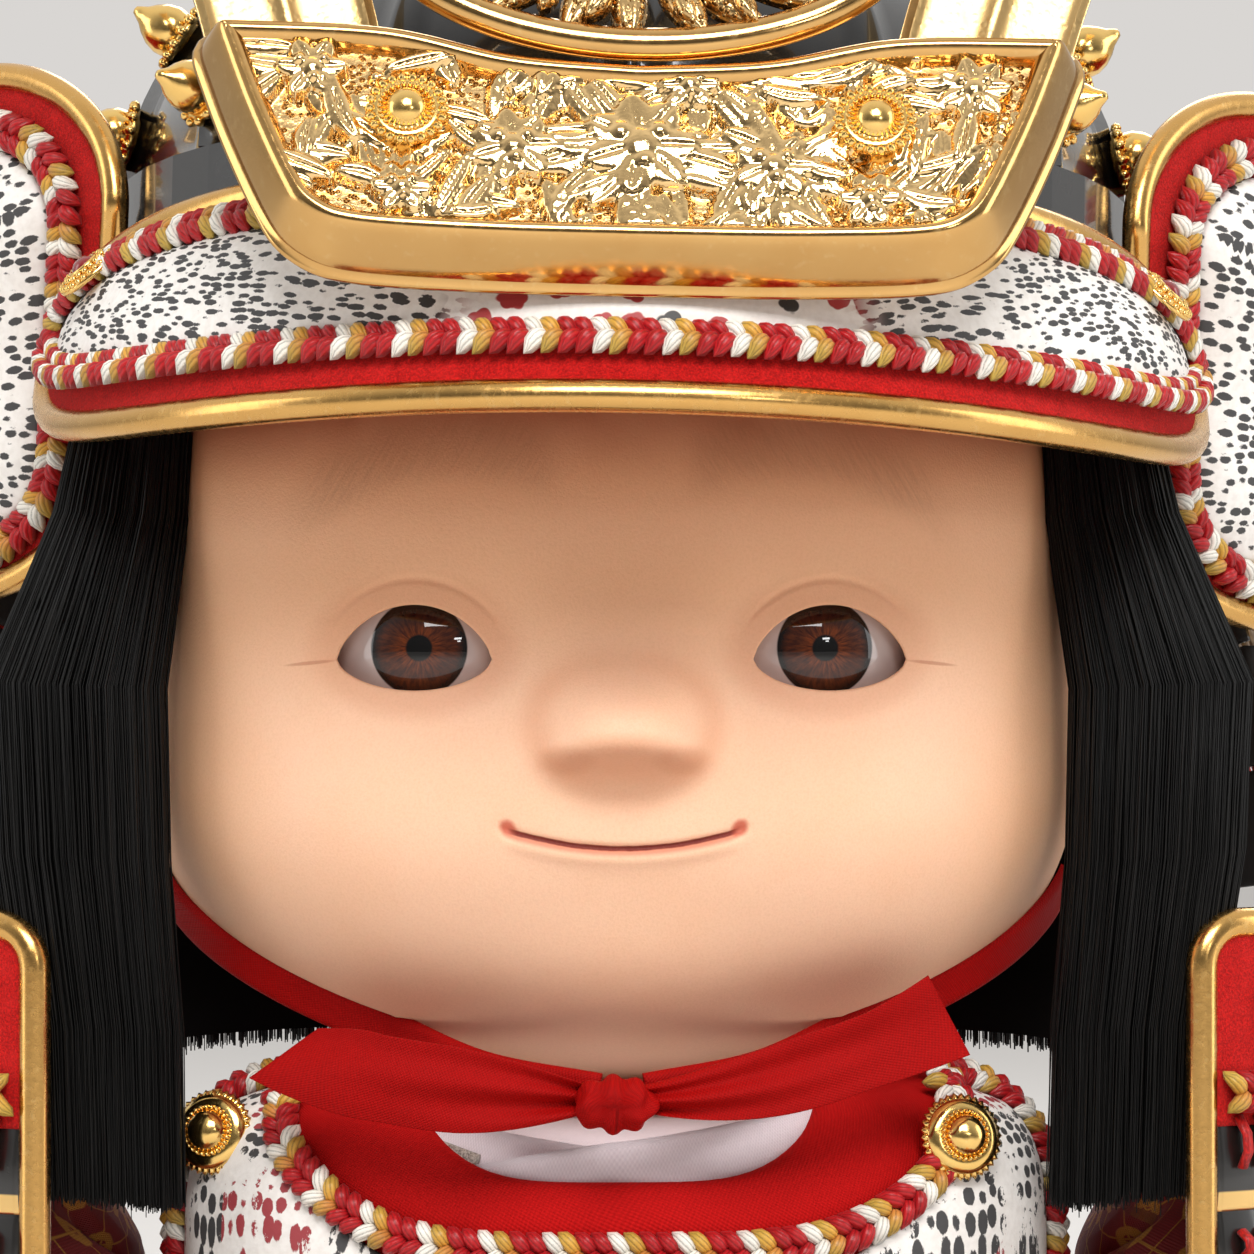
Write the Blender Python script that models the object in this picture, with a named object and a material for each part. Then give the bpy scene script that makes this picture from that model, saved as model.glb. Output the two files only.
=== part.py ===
"""A seated child samurai doll: carved head with glass eyes and a wig, a helmet with its trimmings,
and a stuffed body in robe, trousers and laced armour. Metres, +Z up. It sits on z = 0 and faces -Y."""

import math

import bmesh
import bpy
from mathutils import Matrix, Vector

# Clearance between pieces that touch, and the numeric step used to find a surface's normal
GAP = 0.0003
TINY_ANGLE = 0.001

# Head
CHIN_Z = 0.0972
CHIN_TO_CHEEK = 0.0281
CHEEK_TO_CROWN = 0.069
HEAD_HALF_WIDTH = 0.0420
FACE_DEPTH = 0.0360
HEAD_BACK_DEPTH = 0.0365
CHIN_TO_EYE = 0.0408
EYE_SPACING = 0.0348
EYEBALL_RADIUS = 0.0100
EYEBALL_INSET = 0.0012
EYEBALL_RECESS = 0.0222
EYEBALL_DROP = 0.0018
LID_DROP = 0.0028
LID_HALF_WIDTH = 0.0068
UPPER_LID_HEIGHT = 0.0049
LOWER_LID_HEIGHT = 0.0028
NOSE_HEIGHT = 0.0046
NOSE_DROP = 0.0092
MOUTH_HALF_WIDTH = 0.0098
MOUTH_DROP = 0.0188
MOUTH_CURL = 0.0015
MOUTH_GROOVE_RADIUS = 0.00045
PEG_RADIUS = 0.005
PEG_DEPTH_IN_HEAD = 0.013
PEG_DEPTH_IN_BODY = 0.014

# Hair
HAIR_THICKNESS = 0.0032
HAIR_GAP = 0.0009
HAIR_TOP_ABOVE_EYE = 0.0210
HAIR_BELOW_CHIN = 0.0087
LOCK_HALF_WIDTH = 0.0077
LOCK_HALF_DEPTH = 0.0050
LOCK_OFFSET = 0.0487

# Helmet, in its own frame: the origin is the middle of the bowl's lower edge
HELMET_ABOVE_EYE = 0.033
HELMET_PITCH = math.radians(-7.0)
HELMET_ASIDE = 0.0008
HELMET_ROLL = math.radians(1.2)
BAND_RADIUS = 0.0460
BAND_THICKNESS = 0.0022
BAND_HEIGHT = 0.0065
BAND_DROP = 0.0020
BOWL_SET_IN = 0.0014
BOWL_RADIUS = BAND_RADIUS - BOWL_SET_IN
BOWL_HEIGHT = 0.0300
BOWL_THICKNESS = 0.0013
BOWL_INNER_TILTS = (76, 52, 28, 8)
LINING_GAP = 0.0013
RIB_HEIGHT = 0.0010
RIB_COUNT = 13
STUD_RADIUS = 0.0023
STUD_LENGTH = 0.0056
STUD_ROW_ANGLES = (math.radians(9.0), math.radians(27.0))
CROWN_RADIUS = 0.0075
CROWN_HEIGHT = 0.0070

# Visor
VISOR_HALF_SPAN = math.radians(80.0)
VISOR_STAND_OFF = 0.0040
VISOR_MID_RADIUS = BAND_RADIUS + VISOR_STAND_OFF
VISOR_FRONT_REACH = 0.0042
VISOR_MID_DROP = 0.0112
VISOR_HALF_HEIGHT = 0.0105
VISOR_SIDE_FLARE = 0.0025
VISOR_FRONT_FLARE = 0.0042
VISOR_CROWN = 0.0015
VISOR_THICKNESS = 0.0010
VISOR_RIM_RADIUS = 0.0013
LEATHER_THICKNESS = 0.0008
BRAID_WIDTH = 0.0033
BRAID_HEIGHT = 0.0022

# Gilt front plate, crest and horns
PLATE_LEAN = math.radians(-21.0)
PLATE_HALF_WIDTH = 0.0350
PLATE_BASE_HALF_WIDTH = 0.0283
PLATE_EAR_HEIGHT = 0.0205
PLATE_DEPTH = 0.0055
PLATE_FLARE = 0.0020
PLATE_RIM_WIDTH = 0.0017
PLATE_FIELD_RECESS = 0.0012
PLATE_STAND_OFF = 0.0092
PLATE_FORWARD = VISOR_MID_RADIUS + VISOR_FRONT_REACH + PLATE_STAND_OFF
PLATE_DROP = 0.0098
LUG_LOW = 0.0013
LUG_HIGH = 0.0038
CREST_HALF_WIDTH = 0.0215
CREST_BOTTOM = 0.0165
CREST_HALF_HEIGHT = 0.0120
CREST_RIM_RADIUS = 0.0014
CREST_BOSS_RADIUS = 0.0046
HORN_THICKNESS = 0.0012
HORN_LEAN = math.radians(-12.0)
HORN_LENGTH = 0.100
HORN_BEHIND_PLATE = 0.0096

# Turnbacks beside the visor and the neck guard behind
TURNBACK_TOP_RADIUS = 0.0143
TURNBACK_LOW_RADIUS = 0.0120
TURNBACK_TOP_OUT = 0.0139
TURNBACK_TOP_CENTRE = (BAND_RADIUS + TURNBACK_TOP_OUT, 0.0015)
TURNBACK_LOW_OUT = 0.0162
TURNBACK_LOW_CENTRE = (BAND_RADIUS + TURNBACK_LOW_OUT, -0.0185)
TURNBACK_SWEEP = 0.0056
TURNBACK_SWEEP_DROP = 0.0190
TURNBACK_THICKNESS = 0.0011
TURNBACK_RIM_RADIUS = 0.0011
TURNBACK_PAD_HEIGHT = 0.0026
GUARD_LAMES = 5
GUARD_LAME_HEIGHT = 0.0115
GUARD_STEP = 0.0009
GUARD_THICKNESS = 0.0012
GUARD_FLARE = 0.33
GUARD_FRONT_ANGLE = math.radians(97.0)

# Body and robe
SHOULDER_Z = 0.080
WAIST_Z = 0.042
SHOULDER_RISE = 0.0195
CHEST_HALF_WIDTH = 0.0395
CHEST_HALF_DEPTH = 0.0285
WAIST_HALF_WIDTH = 0.0330
WAIST_HALF_DEPTH = 0.0250
CORE_INSET = 0.0058
LAYER_GAP = 0.0007
BODY_SIDES = 24
KIMONO_THICKNESS = 0.0012
ROBE_THICKNESS = 0.0010
ARMOUR_THICKNESS = 0.0014
PANEL_THICKNESS = 0.0008
BUTTON_RADIUS = 0.0034
BUTTON_HEIGHT = 0.0034
BUTTON_SIDE = math.radians(69.0)
BUTTON_LEVEL = 1.40
LEATHER_END_TURN = 1.22
LEATHER_FOOT_Z = 0.0772
LEATHER_TOP_Z = 0.0885
LAME_STEP = 0.0005
SASH_RADIUS = 0.0026
SASH_LEVEL = 0.15
SKIRT_DROP = 0.0080
SKIRT_FLARE = 0.0110
SKIRT_LAMES = 3
RIBBON_WIDTH = 0.0036
RIBBON_THICKNESS = 0.0009
KNOT_RADIUS = 0.0032
KNOT_CORD_RADIUS = 0.0019
BOW_REACH = 0.0262
KNOT_ABOVE_CHIN = 0.0002
BOW_WIDTH = 0.0066

# Arms, shoulder guards, legs and base
SLEEVE_SHOULDER_RADIUS = 0.0110
SLEEVE_ELBOW_RADIUS = 0.0114
CUFF_RADIUS = 0.0085
HAND_RADIUS = 0.0085
SODE_WIDTH = 0.0340
SODE_HEIGHT = 0.0490
SODE_TOP_Z = 0.1120
SODE_CENTRE = (0.0624, -0.0110)
SODE_TURN = math.radians(50.0)
SODE_BULGE = 0.0035
SODE_THICKNESS = 0.0016
SODE_RIM_RADIUS = 0.0014
SODE_LAMES = 4
BASE_THICKNESS = 0.0030
BASE_HALF_WIDTH = 0.0560
BASE_HALF_DEPTH = 0.0420
BASE_FORWARD = 0.0100
HIP_HALF_WIDTH = 0.0340
HIP_HALF_DEPTH = 0.0270
HIP_TOP_Z = 0.0370
POST_RADIUS = 0.0100
THIGH_RADIUS = 0.0150
KNEE_RADIUS = 0.0165
ANKLE_RADIUS = 0.0110
KNEE_POINT = (0.0600, -0.0270)
ANKLE_POINT = (0.0270, -0.0520)
BOOT_RADIUS = 0.0095

EYE_Z = CHIN_Z + CHIN_TO_EYE
CHEEK_Z = CHIN_Z + CHIN_TO_CHEEK
HELMET = (
    Matrix.Translation((HELMET_ASIDE, 0.0, EYE_Z + HELMET_ABOVE_EYE))
    @ Matrix.Rotation(HELMET_PITCH, 4, "X")
    @ Matrix.Rotation(HELMET_ROLL, 4, "Y")
)
BOWL_BASE = BAND_HEIGHT - BAND_DROP + GAP

FINISHES = {}
LOOKS = {
    "skin": ((0.86, 0.60, 0.43), 0.55, 0.0),
    "glass_eye": ((0.20, 0.06, 0.02), 0.08, 0.0),
    "hair": ((0.012, 0.012, 0.012), 0.45, 0.0),
    "gilt": ((0.83, 0.57, 0.22), 0.18, 1.0),
    "black_lacquer": ((0.015, 0.015, 0.017), 0.15, 0.0),
    "red_felt": ((0.62, 0.02, 0.02), 0.85, 0.0),
    "red_silk": ((0.60, 0.01, 0.01), 0.60, 0.0),
    "printed_leather": ((0.80, 0.78, 0.76), 0.65, 0.0),
    "braid": ((0.55, 0.22, 0.12), 0.60, 0.0),
    "white_cotton": ((0.75, 0.70, 0.71), 0.80, 0.0),
    "brocade": ((0.35, 0.05, 0.04), 0.70, 0.0),
    "fur": ((0.10, 0.06, 0.03), 0.90, 0.0),
    "wood": ((0.60, 0.45, 0.28), 0.70, 0.0),
    "lining": ((0.10, 0.09, 0.09), 0.90, 0.0),
}


def finish(name):
    """The material of that name, made once with a Principled shader."""
    if name not in FINISHES:
        colour, roughness, metallic = LOOKS[name]
        material = bpy.data.materials.new(name)
        material.use_nodes = True
        shader = material.node_tree.nodes["Principled BSDF"]
        shader.inputs["Base Color"].default_value = (*colour, 1.0)
        shader.inputs["Roughness"].default_value = roughness
        shader.inputs["Metallic"].default_value = metallic
        FINISHES[name] = material
    return FINISHES[name]


def make_object(name, points, faces, look, frame=None):
    """One object from points and faces, its normals turned outwards and its round parts smooth."""
    mesh = bpy.data.meshes.new(name)
    mesh.from_pydata([tuple(p) for p in points], [], faces)
    shape = bmesh.new()
    shape.from_mesh(mesh)
    bmesh.ops.recalc_face_normals(shape, faces=shape.faces)
    if shape.calc_volume(signed=True) < 0.0:
        bmesh.ops.reverse_faces(shape, faces=shape.faces)
    shape.to_mesh(mesh)
    shape.free()
    mesh.shade_smooth()
    mesh.set_sharp_from_angle(angle=math.radians(38.0))
    mesh.materials.append(finish(look))
    made = bpy.data.objects.new(name, mesh)
    bpy.context.scene.collection.objects.link(made)
    if frame is not None:
        made.matrix_world = frame
    return made


def helper(made):
    """Marks an object as a cutter or a guide that is not part of the doll."""
    made.hide_render = True
    made.display_type = "WIRE"
    return made


def boolean(target, tool, operation="DIFFERENCE", crossing=False):
    """Adds an exact Boolean with a hidden tool. crossing is for a tool whose own bodies overlap."""
    modifier = target.modifiers.new(operation.title(), "BOOLEAN")
    modifier.operation = operation
    modifier.solver = "EXACT"
    modifier.use_self = crossing
    modifier.object = helper(tool)


def loft(name, rings, look, frame=None):
    """A closed solid through rings of equal count, capped at both ends."""
    count = len(rings[0])
    points = [p for ring in rings for p in ring]
    faces = []
    for row in range(len(rings) - 1):
        low, high = row * count, (row + 1) * count
        for i in range(count):
            j = (i + 1) % count
            faces.append((low + i, low + j, high + j, high + i))
    for start in (0, (len(rings) - 1) * count):
        centre = sum((Vector(p) for p in points[start : start + count]), Vector()) / count
        points.append(centre)
        for i in range(count):
            faces.append((start + i, start + (i + 1) % count, len(points) - 1))
    return make_object(name, points, faces, look, frame)


def collar(name, rings, look, frame=None):
    """A closed solid through rings of equal count whose last ring joins the first, like a tyre."""
    count = len(rings[0])
    points = [p for ring in rings for p in ring]
    faces = []
    for row in range(len(rings)):
        low, high = row * count, (row + 1) % len(rings) * count
        for i in range(count):
            j = (i + 1) % count
            faces.append((low + i, low + j, high + j, high + i))
    return make_object(name, points, faces, look, frame)


def sheet(name, place, columns, rows, low, high, look, frame=None):
    """A curved slab: place(column, row, offset) at a lower and a higher offset, closed at its edges."""
    points = [place(u, v, high) for u in columns for v in rows]
    points += [place(u, v, low) for u in columns for v in rows]
    across, half = len(rows), len(columns) * len(rows)
    faces = []
    for i in range(len(columns) - 1):
        for j in range(across - 1):
            a, b = i * across + j, (i + 1) * across + j
            faces.append((a, b, b + 1, a + 1))
            faces.append((half + a, half + a + 1, half + b + 1, half + b))
    edge = [i * across for i in range(len(columns))]
    edge += [half - across + j for j in range(1, across)]
    edge += [i * across + across - 1 for i in range(len(columns) - 2, -1, -1)]
    edge += list(range(across - 2, 0, -1))
    for a, b in zip(edge, edge[1:] + edge[:1]):
        faces.append((a, b, half + b, half + a))
    return make_object(name, points, faces, look, frame)


def pad(name, place, outline, low, high, look, frame=None, scales=(0.5, 0.82, 1.0)):
    """A rounded slab inside an outline of (u, v) pairs: place(u, v, offset), with high(scale) as its upper skin."""
    count = len(outline)
    middle = (sum(u for u, v in outline) / count, sum(v for u, v in outline) / count)

    def skin(offset):
        found = [place(*middle, offset(0.0))]
        for scale in scales:
            for u, v in outline:
                where = (middle[0] + (u - middle[0]) * scale, middle[1] + (v - middle[1]) * scale)
                found.append(place(*where, offset(scale)))
        return found

    upper, lower = skin(high), skin(lambda scale: low)
    points, half, faces = upper + lower, len(upper), []
    for i in range(count):
        j = (i + 1) % count
        faces.append((0, 1 + i, 1 + j))
        faces.append((half, half + 1 + j, half + 1 + i))
        for ring in range(len(scales) - 1):
            a, b = 1 + ring * count, 1 + (ring + 1) * count
            faces.append((a + i, b + i, b + j, a + j))
            faces.append((half + a + i, half + a + j, half + b + j, half + b + i))
        last = 1 + (len(scales) - 1) * count
        faces.append((last + i, half + last + i, half + last + j, last + j))
    return make_object(name, points, faces, look, frame)


def sweep(name, path, normals, section, look, closed=False, frame=None, ends=1.0):
    """Carries a section of (side, up) pairs along a path. ends scales the section at open ends."""
    rings, count = [], len(path)
    for i, (point, normal) in enumerate(zip(path, normals)):
        before = path[(i - 1) % count] if closed or i else path[0]
        after = path[(i + 1) % count] if closed or i < count - 1 else path[-1]
        along = (Vector(after) - Vector(before)).normalized()
        side = along.cross(Vector(normal)).normalized()
        up = side.cross(along).normalized()
        size = ends if not closed and i in (0, count - 1) else 1.0
        rings.append([Vector(point) + (side * a + up * b) * size for a, b in section])
    return (collar if closed else loft)(name, rings, look, frame)


def circle(radius, count, flat=1.0, phase=0.0):
    """A round section, flat scales its height and phase turns it by that share of a step."""
    turns = [2.0 * math.pi * (i + phase) / count for i in range(count)]
    return [(radius * math.cos(t), radius * flat * math.sin(t)) for t in turns]


def braid_section():
    """Half-round section of a flat braid whose underside lies GAP above its carrier."""
    half = BRAID_WIDTH / 2.0
    return [
        (-half, GAP),
        (half, GAP),
        (half, GAP + BRAID_HEIGHT * 0.5),
        (half * 0.5, GAP + BRAID_HEIGHT),
        (-half * 0.5, GAP + BRAID_HEIGHT),
        (-half, GAP + BRAID_HEIGHT * 0.5),
    ]


def turned(name, profile, look, frame=None, sides=12):
    """A piece turned about its own Z from (radius, height) pairs, low to high."""
    turns = [2.0 * math.pi * i / sides for i in range(sides)]
    rings = [[Vector((r * math.cos(t), r * math.sin(t), z)) for t in turns] for r, z in profile]
    return loft(name, rings, look, frame)


def spread(low, high, count):
    """Evenly spaced values from low to high."""
    return [low + (high - low) * i / (count - 1) for i in range(count)]


def power(value, exponent):
    """A signed power, for superellipses."""
    return math.copysign(abs(value) ** exponent, value)


def with_offset(surface):
    """Turns surface(u, v) into place(u, v, offset), which moves out along the surface's normal."""

    def place(u, v, offset):
        here = surface(u, v)
        over_u = surface(u + TINY_ANGLE, v) - surface(u - TINY_ANGLE, v)
        over_v = surface(u, v + TINY_ANGLE) - surface(u, v - TINY_ANGLE)
        return here + over_u.cross(over_v).normalized() * offset

    return place


def face_at(point, outwards):
    """A frame at a point whose Z looks outwards."""
    turn = Vector(outwards).to_track_quat("Z", "Y").to_matrix().to_4x4()
    return Matrix.Translation(point) @ turn


def clear_scene():
    """Removes whatever the scene held."""
    for old in list(bpy.data.objects):
        bpy.data.objects.remove(old)


# Head and face


def face_relief(x, z):
    """How far the face stands proud of the plain head at x, with z measured from the eyes."""
    ax = abs(x)
    lift = -(z + NOSE_DROP)
    slope = 0.0026 if lift > 0.0 else 0.0044
    nose = NOSE_HEIGHT * math.exp(-((x / 0.0050) ** 2) - (lift / slope) ** 2)
    wing = 0.0016 * math.exp(-(((ax - 0.0050) / 0.0020) ** 2) - ((z + 0.0106) / 0.0019) ** 2)
    cheek = 0.0022 * math.exp(-(((ax - 0.0215) / 0.0120) ** 2) - ((z + 0.0170) / 0.0110) ** 2)
    muzzle = 0.0016 * math.exp(-((x / 0.0120) ** 2) - ((z + MOUTH_DROP) / 0.0060) ** 2)
    chin = 0.0012 * math.exp(-((x / 0.0090) ** 2) - ((z + 0.0290) / 0.0050) ** 2)
    half_eye = EYE_SPACING / 2.0
    socket = 0.0010 * math.exp(-(((ax - half_eye) / 0.0095) ** 2) - ((z - 0.0010) / 0.0065) ** 2)
    return nose + wing + cheek + muzzle + chin - socket


def head_point(theta, psi, grow=0.0, relief=True):
    """A point on the head: theta round from the front, psi up from the cheeks, grow outwards."""
    below = psi < 0.0
    sine, cosine = abs(math.sin(psi)), max(math.cos(psi), 0.0)
    if below:
        z = CHEEK_Z - (CHIN_TO_CHEEK + grow) * sine ** (2.0 / 2.15)
        width = (HEAD_HALF_WIDTH + grow) * cosine ** (2.0 / 2.15)
        front = (FACE_DEPTH + grow) * cosine ** (2.0 / 2.60)
    else:
        z = CHEEK_Z + (CHEEK_TO_CROWN + grow) * sine ** (2.0 / 3.0)
        width = (HEAD_HALF_WIDTH + grow) * cosine ** (2.0 / 2.2)
        front = (FACE_DEPTH + grow) * cosine ** (2.0 / 2.4)
    back = (HEAD_BACK_DEPTH + grow) * cosine ** (2.0 / 2.2)
    x = width * power(math.sin(theta), 2.0 / 2.25)
    cos_theta = math.cos(theta)
    y = -(front if cos_theta > 0.0 else back) * power(cos_theta, 2.0 / 2.25)
    if relief and cos_theta > 0.0:
        y -= face_relief(x, z - EYE_Z) * min(1.0, 1.6 * cos_theta)
    return Vector((x, y, z))


def lid_outline(side, count=18):
    """The eye opening's outline as (x, z), its outer corner away from the nose."""
    points = []
    for i in range(count):
        turn = 2.0 * math.pi * i / count
        along, up = math.cos(turn), math.sin(turn)
        height = UPPER_LID_HEIGHT * abs(up) ** 1.4 if up > 0.0 else -LOWER_LID_HEIGHT * abs(up) ** 1.2
        x = EYE_SPACING / 2.0 + 0.0004 + LID_HALF_WIDTH * along
        points.append((side * x, EYE_Z - LID_DROP + height))
    return points


def eyeball_centre(side):
    return Vector((side * (EYE_SPACING / 2.0 - EYEBALL_INSET), -EYEBALL_RECESS, EYE_Z - EYEBALL_DROP))


def ball(name, centre, radius, look, sides=14, rows=7):
    """A plain ball."""
    rings = []
    for i in range(rows):
        tilt = math.pi * (i + 0.5) / rows - math.pi / 2.0
        turns = [2.0 * math.pi * k / sides for k in range(sides)]
        ring = [
            centre + radius * Vector((math.cos(t) * math.cos(tilt), math.sin(t) * math.cos(tilt), math.sin(tilt)))
            for t in turns
        ]
        rings.append(ring)
    return loft(name, rings, look)


def make_head():
    """The carved head, with eye sockets open to the front, a cut mouth and a hole for the neck peg."""
    front = [math.radians(a) for a in (0, 6, 12, 18, 25, 33, 42, 52, 64, 78, 94, 114, 136, 158)]
    angles = front + [math.pi] + [-a for a in front[:0:-1]]
    levels = (-84, -72, -61, -51, -42, -34, -27, -20, -13, -6, 0, 2, 4, 7, 11, 16, 24, 36, 50, 66, 82)
    rings = [[head_point(t, math.radians(level)) for t in angles] for level in levels]
    head = loft("head", rings, "skin")
    for side, word in ((1, "left"), (-1, "right")):
        outline = lid_outline(side)
        depths = (-FACE_DEPTH * 1.4, -EYEBALL_RECESS)
        slot = loft("cut_lids_" + word, [[Vector((x, y, z)) for x, z in outline] for y in depths], "skin")
        boolean(head, slot)
        socket = ball("cut_socket_" + word, eyeball_centre(side), EYEBALL_RADIUS + GAP, "skin")
        boolean(head, socket)
        ball("eye_" + word, eyeball_centre(side), EYEBALL_RADIUS, "glass_eye")
    path = []
    for x in spread(-MOUTH_HALF_WIDTH, MOUTH_HALF_WIDTH, 9):
        z = -MOUTH_DROP + MOUTH_CURL * (x / MOUTH_HALF_WIDTH) ** 2
        path.append(Vector((x, face_surface_y(x, z), EYE_Z + z)))
    groove = sweep("cut_mouth", path, [(0, 0, 1)] * 9, circle(MOUTH_GROOVE_RADIUS, 6), "skin")
    boolean(head, groove)
    hole_top = CHIN_Z + PEG_DEPTH_IN_HEAD + GAP
    profile = ((PEG_RADIUS + GAP, CHIN_Z - PEG_DEPTH_IN_HEAD), (PEG_RADIUS + GAP, hole_top))
    boolean(head, turned("cut_peg_hole_in_head", profile, "skin"))
    return head


def face_surface_y(x, z):
    """The face's own y at x and at z from the eyes, for the mouth line."""
    height = CHEEK_Z - (EYE_Z + z)
    if height > 0.0:
        share = max(1.0 - (height / CHIN_TO_CHEEK) ** 2.6, 0.0) ** (1.0 / 2.6)
    else:
        share = (1.0 - (-height / CHEEK_TO_CROWN) ** 3.0) ** (1.0 / 2.4)
    depth = FACE_DEPTH * share * (1.0 - (abs(x) / HEAD_HALF_WIDTH) ** 2.25) ** (1.0 / 2.25)
    return -depth - face_relief(x, z)


def make_hair():
    """Fibre hair: a fall at the back and a cut lock beside each cheek."""
    top, bottom = EYE_Z + HAIR_TOP_ABOVE_EYE, CHIN_Z - HAIR_BELOW_CHIN + 0.010

    def place(turn, z, offset):
        psi = 0.0
        if z > CHEEK_Z:
            psi = math.asin(min(((z - CHEEK_Z) / CHEEK_TO_CROWN) ** 1.5, 1.0))
        point = head_point(turn, psi, offset, relief=False)
        return Vector((point.x, point.y, z))

    columns = [math.radians(a) for a in spread(262.0, 98.0, 13)]
    rows = (bottom, CHEEK_Z, EYE_Z, (EYE_Z + top) / 2.0, top)
    sheet("hair_back", place, columns, rows, HAIR_GAP, HAIR_GAP + HAIR_THICKNESS, "hair")
    for side, word in ((1, "left"), (-1, "right")):
        rings = []
        for z, shift, forward, thin in (
            (CHIN_Z - HAIR_BELOW_CHIN, -0.0035, -0.0180, 0.86),
            (CHIN_Z + 0.0170, -0.0033, -0.0182, 0.86),
            (CHIN_Z + 0.0230, 0.0, -0.0200, 0.98),
            (CHEEK_Z + 0.0060, 0.0, -0.0200, 1.0),
            (EYE_Z + 0.0015, -0.0014, -0.0188, 0.96),
            (EYE_Z + 0.0095, -0.0051, -0.0160, 0.68),
            (EYE_Z + HAIR_TOP_ABOVE_EYE, -0.0065, -0.0132, 0.60),
        ):
            centre = Vector((side * (LOCK_OFFSET + shift), forward, z))
            ring = []
            for a, b in circle(1.0, 12):
                x = power(a, 0.8) * LOCK_HALF_WIDTH * thin
                y = power(b, 0.8) * LOCK_HALF_DEPTH * thin
                ring.append(centre + Vector((x, y, 0.0)))
            rings.append(ring)
        loft("hair_lock_" + word, rings, "hair")


# Helmet


def polar(turn, radius, z):
    """A helmet point, turn measured from the front towards the doll's left."""
    return Vector((radius * math.sin(turn), -radius * math.cos(turn), z))


def bowl_point(turn, tilt, offset=0.0):
    return polar(
        turn,
        (BOWL_RADIUS + offset) * math.cos(tilt),
        BOWL_BASE + (BOWL_HEIGHT + offset) * math.sin(tilt),
    )


def make_bowl():
    """The lacquered bowl with standing ribs, a gilt crown fitting, and bullet studs behind the front plate's reach."""
    turns, raised = [], []
    for i in range(RIB_COUNT):
        middle = 2.0 * math.pi * i / RIB_COUNT
        panel = 180.0 / RIB_COUNT
        for shift, height in ((-2.2, 0.0), (-0.7, RIB_HEIGHT), (0.7, RIB_HEIGHT), (2.2, 0.0), (panel, 0.0)):
            turns.append(middle + math.radians(shift))
            raised.append(height)
    outer = [math.radians(a) for a in (0, 16, 34, 54, 76)]
    inner = [math.radians(a) for a in (*BOWL_INNER_TILTS, 0)]
    rings = [[bowl_point(t, tilt, h) for t, h in zip(turns, raised)] for tilt in outer]
    rings += [[bowl_point(t, tilt, -BOWL_THICKNESS) for t in turns] for tilt in inner]
    cap_top = bowl_point(0.0, math.pi / 2.0)
    cap_low = bowl_point(0.0, math.pi / 2.0, -BOWL_THICKNESS)
    count, points = len(turns), [p for ring in rings for p in ring]
    faces = []
    for row in list(range(len(outer) - 1)) + list(range(len(outer), len(rings) - 1)) + [len(rings) - 1]:
        low, high = row * count, (row + 1) % len(rings) * count
        for i in range(count):
            j = (i + 1) % count
            faces.append((low + i, low + j, high + j, high + i))
    for start, cap in (((len(outer) - 1) * count, cap_top), (len(outer) * count, cap_low)):
        points.append(cap)
        for i in range(count):
            faces.append((start + i, start + (i + 1) % count, len(points) - 1))
    bowl = make_object("helmet_bowl", points, faces, "black_lacquer", HELMET)
    studs = bmesh.new()
    for row, tilt in enumerate(STUD_ROW_ANGLES):
        for i in range(2, RIB_COUNT - 1):
            turn = 2.0 * math.pi * i / RIB_COUNT
            foot = bowl_point(turn, tilt, RIB_HEIGHT * 0.4)
            add_stud(studs, foot, bowl_point(turn, tilt, 1.0) - foot)
    mesh = bpy.data.meshes.new("bowl_studs")
    studs.to_mesh(mesh)
    studs.free()
    tool = bpy.data.objects.new("bowl_studs", mesh)
    bpy.context.scene.collection.objects.link(tool)
    tool.matrix_world = HELMET
    boolean(bowl, tool, "UNION")
    crown_z = BOWL_BASE + BOWL_HEIGHT + GAP
    profile = (
        (CROWN_RADIUS, crown_z),
        (CROWN_RADIUS, crown_z + CROWN_HEIGHT * 0.2),
        (CROWN_RADIUS * 0.7, crown_z + CROWN_HEIGHT * 0.35),
        (CROWN_RADIUS * 0.6, crown_z + CROWN_HEIGHT * 0.6),
        (CROWN_RADIUS * 0.45, crown_z + CROWN_HEIGHT),
    )
    turned("crown_fitting", profile, "gilt", HELMET, 16)


def add_stud(shape, foot, outwards):
    """Adds one bullet-headed stud with its washer to a bmesh."""
    frame = face_at(foot, outwards)
    profile = (
        (STUD_RADIUS, 0.0),
        (STUD_RADIUS, RIB_HEIGHT * 1.5),
        (STUD_RADIUS * 0.80, STUD_LENGTH * 0.60),
        (STUD_RADIUS * 0.25, STUD_LENGTH),
    )
    sides = 6
    rows = []
    for r, z in profile:
        turns = [2.0 * math.pi * i / sides for i in range(sides)]
        rows.append([shape.verts.new(frame @ Vector((r * math.cos(t), r * math.sin(t), z))) for t in turns])
    for low, high in zip(rows, rows[1:]):
        for i in range(sides):
            shape.faces.new((low[i], low[(i + 1) % sides], high[(i + 1) % sides], high[i]))
    shape.faces.new(rows[0][::-1])
    shape.faces.new(rows[-1])


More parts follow.
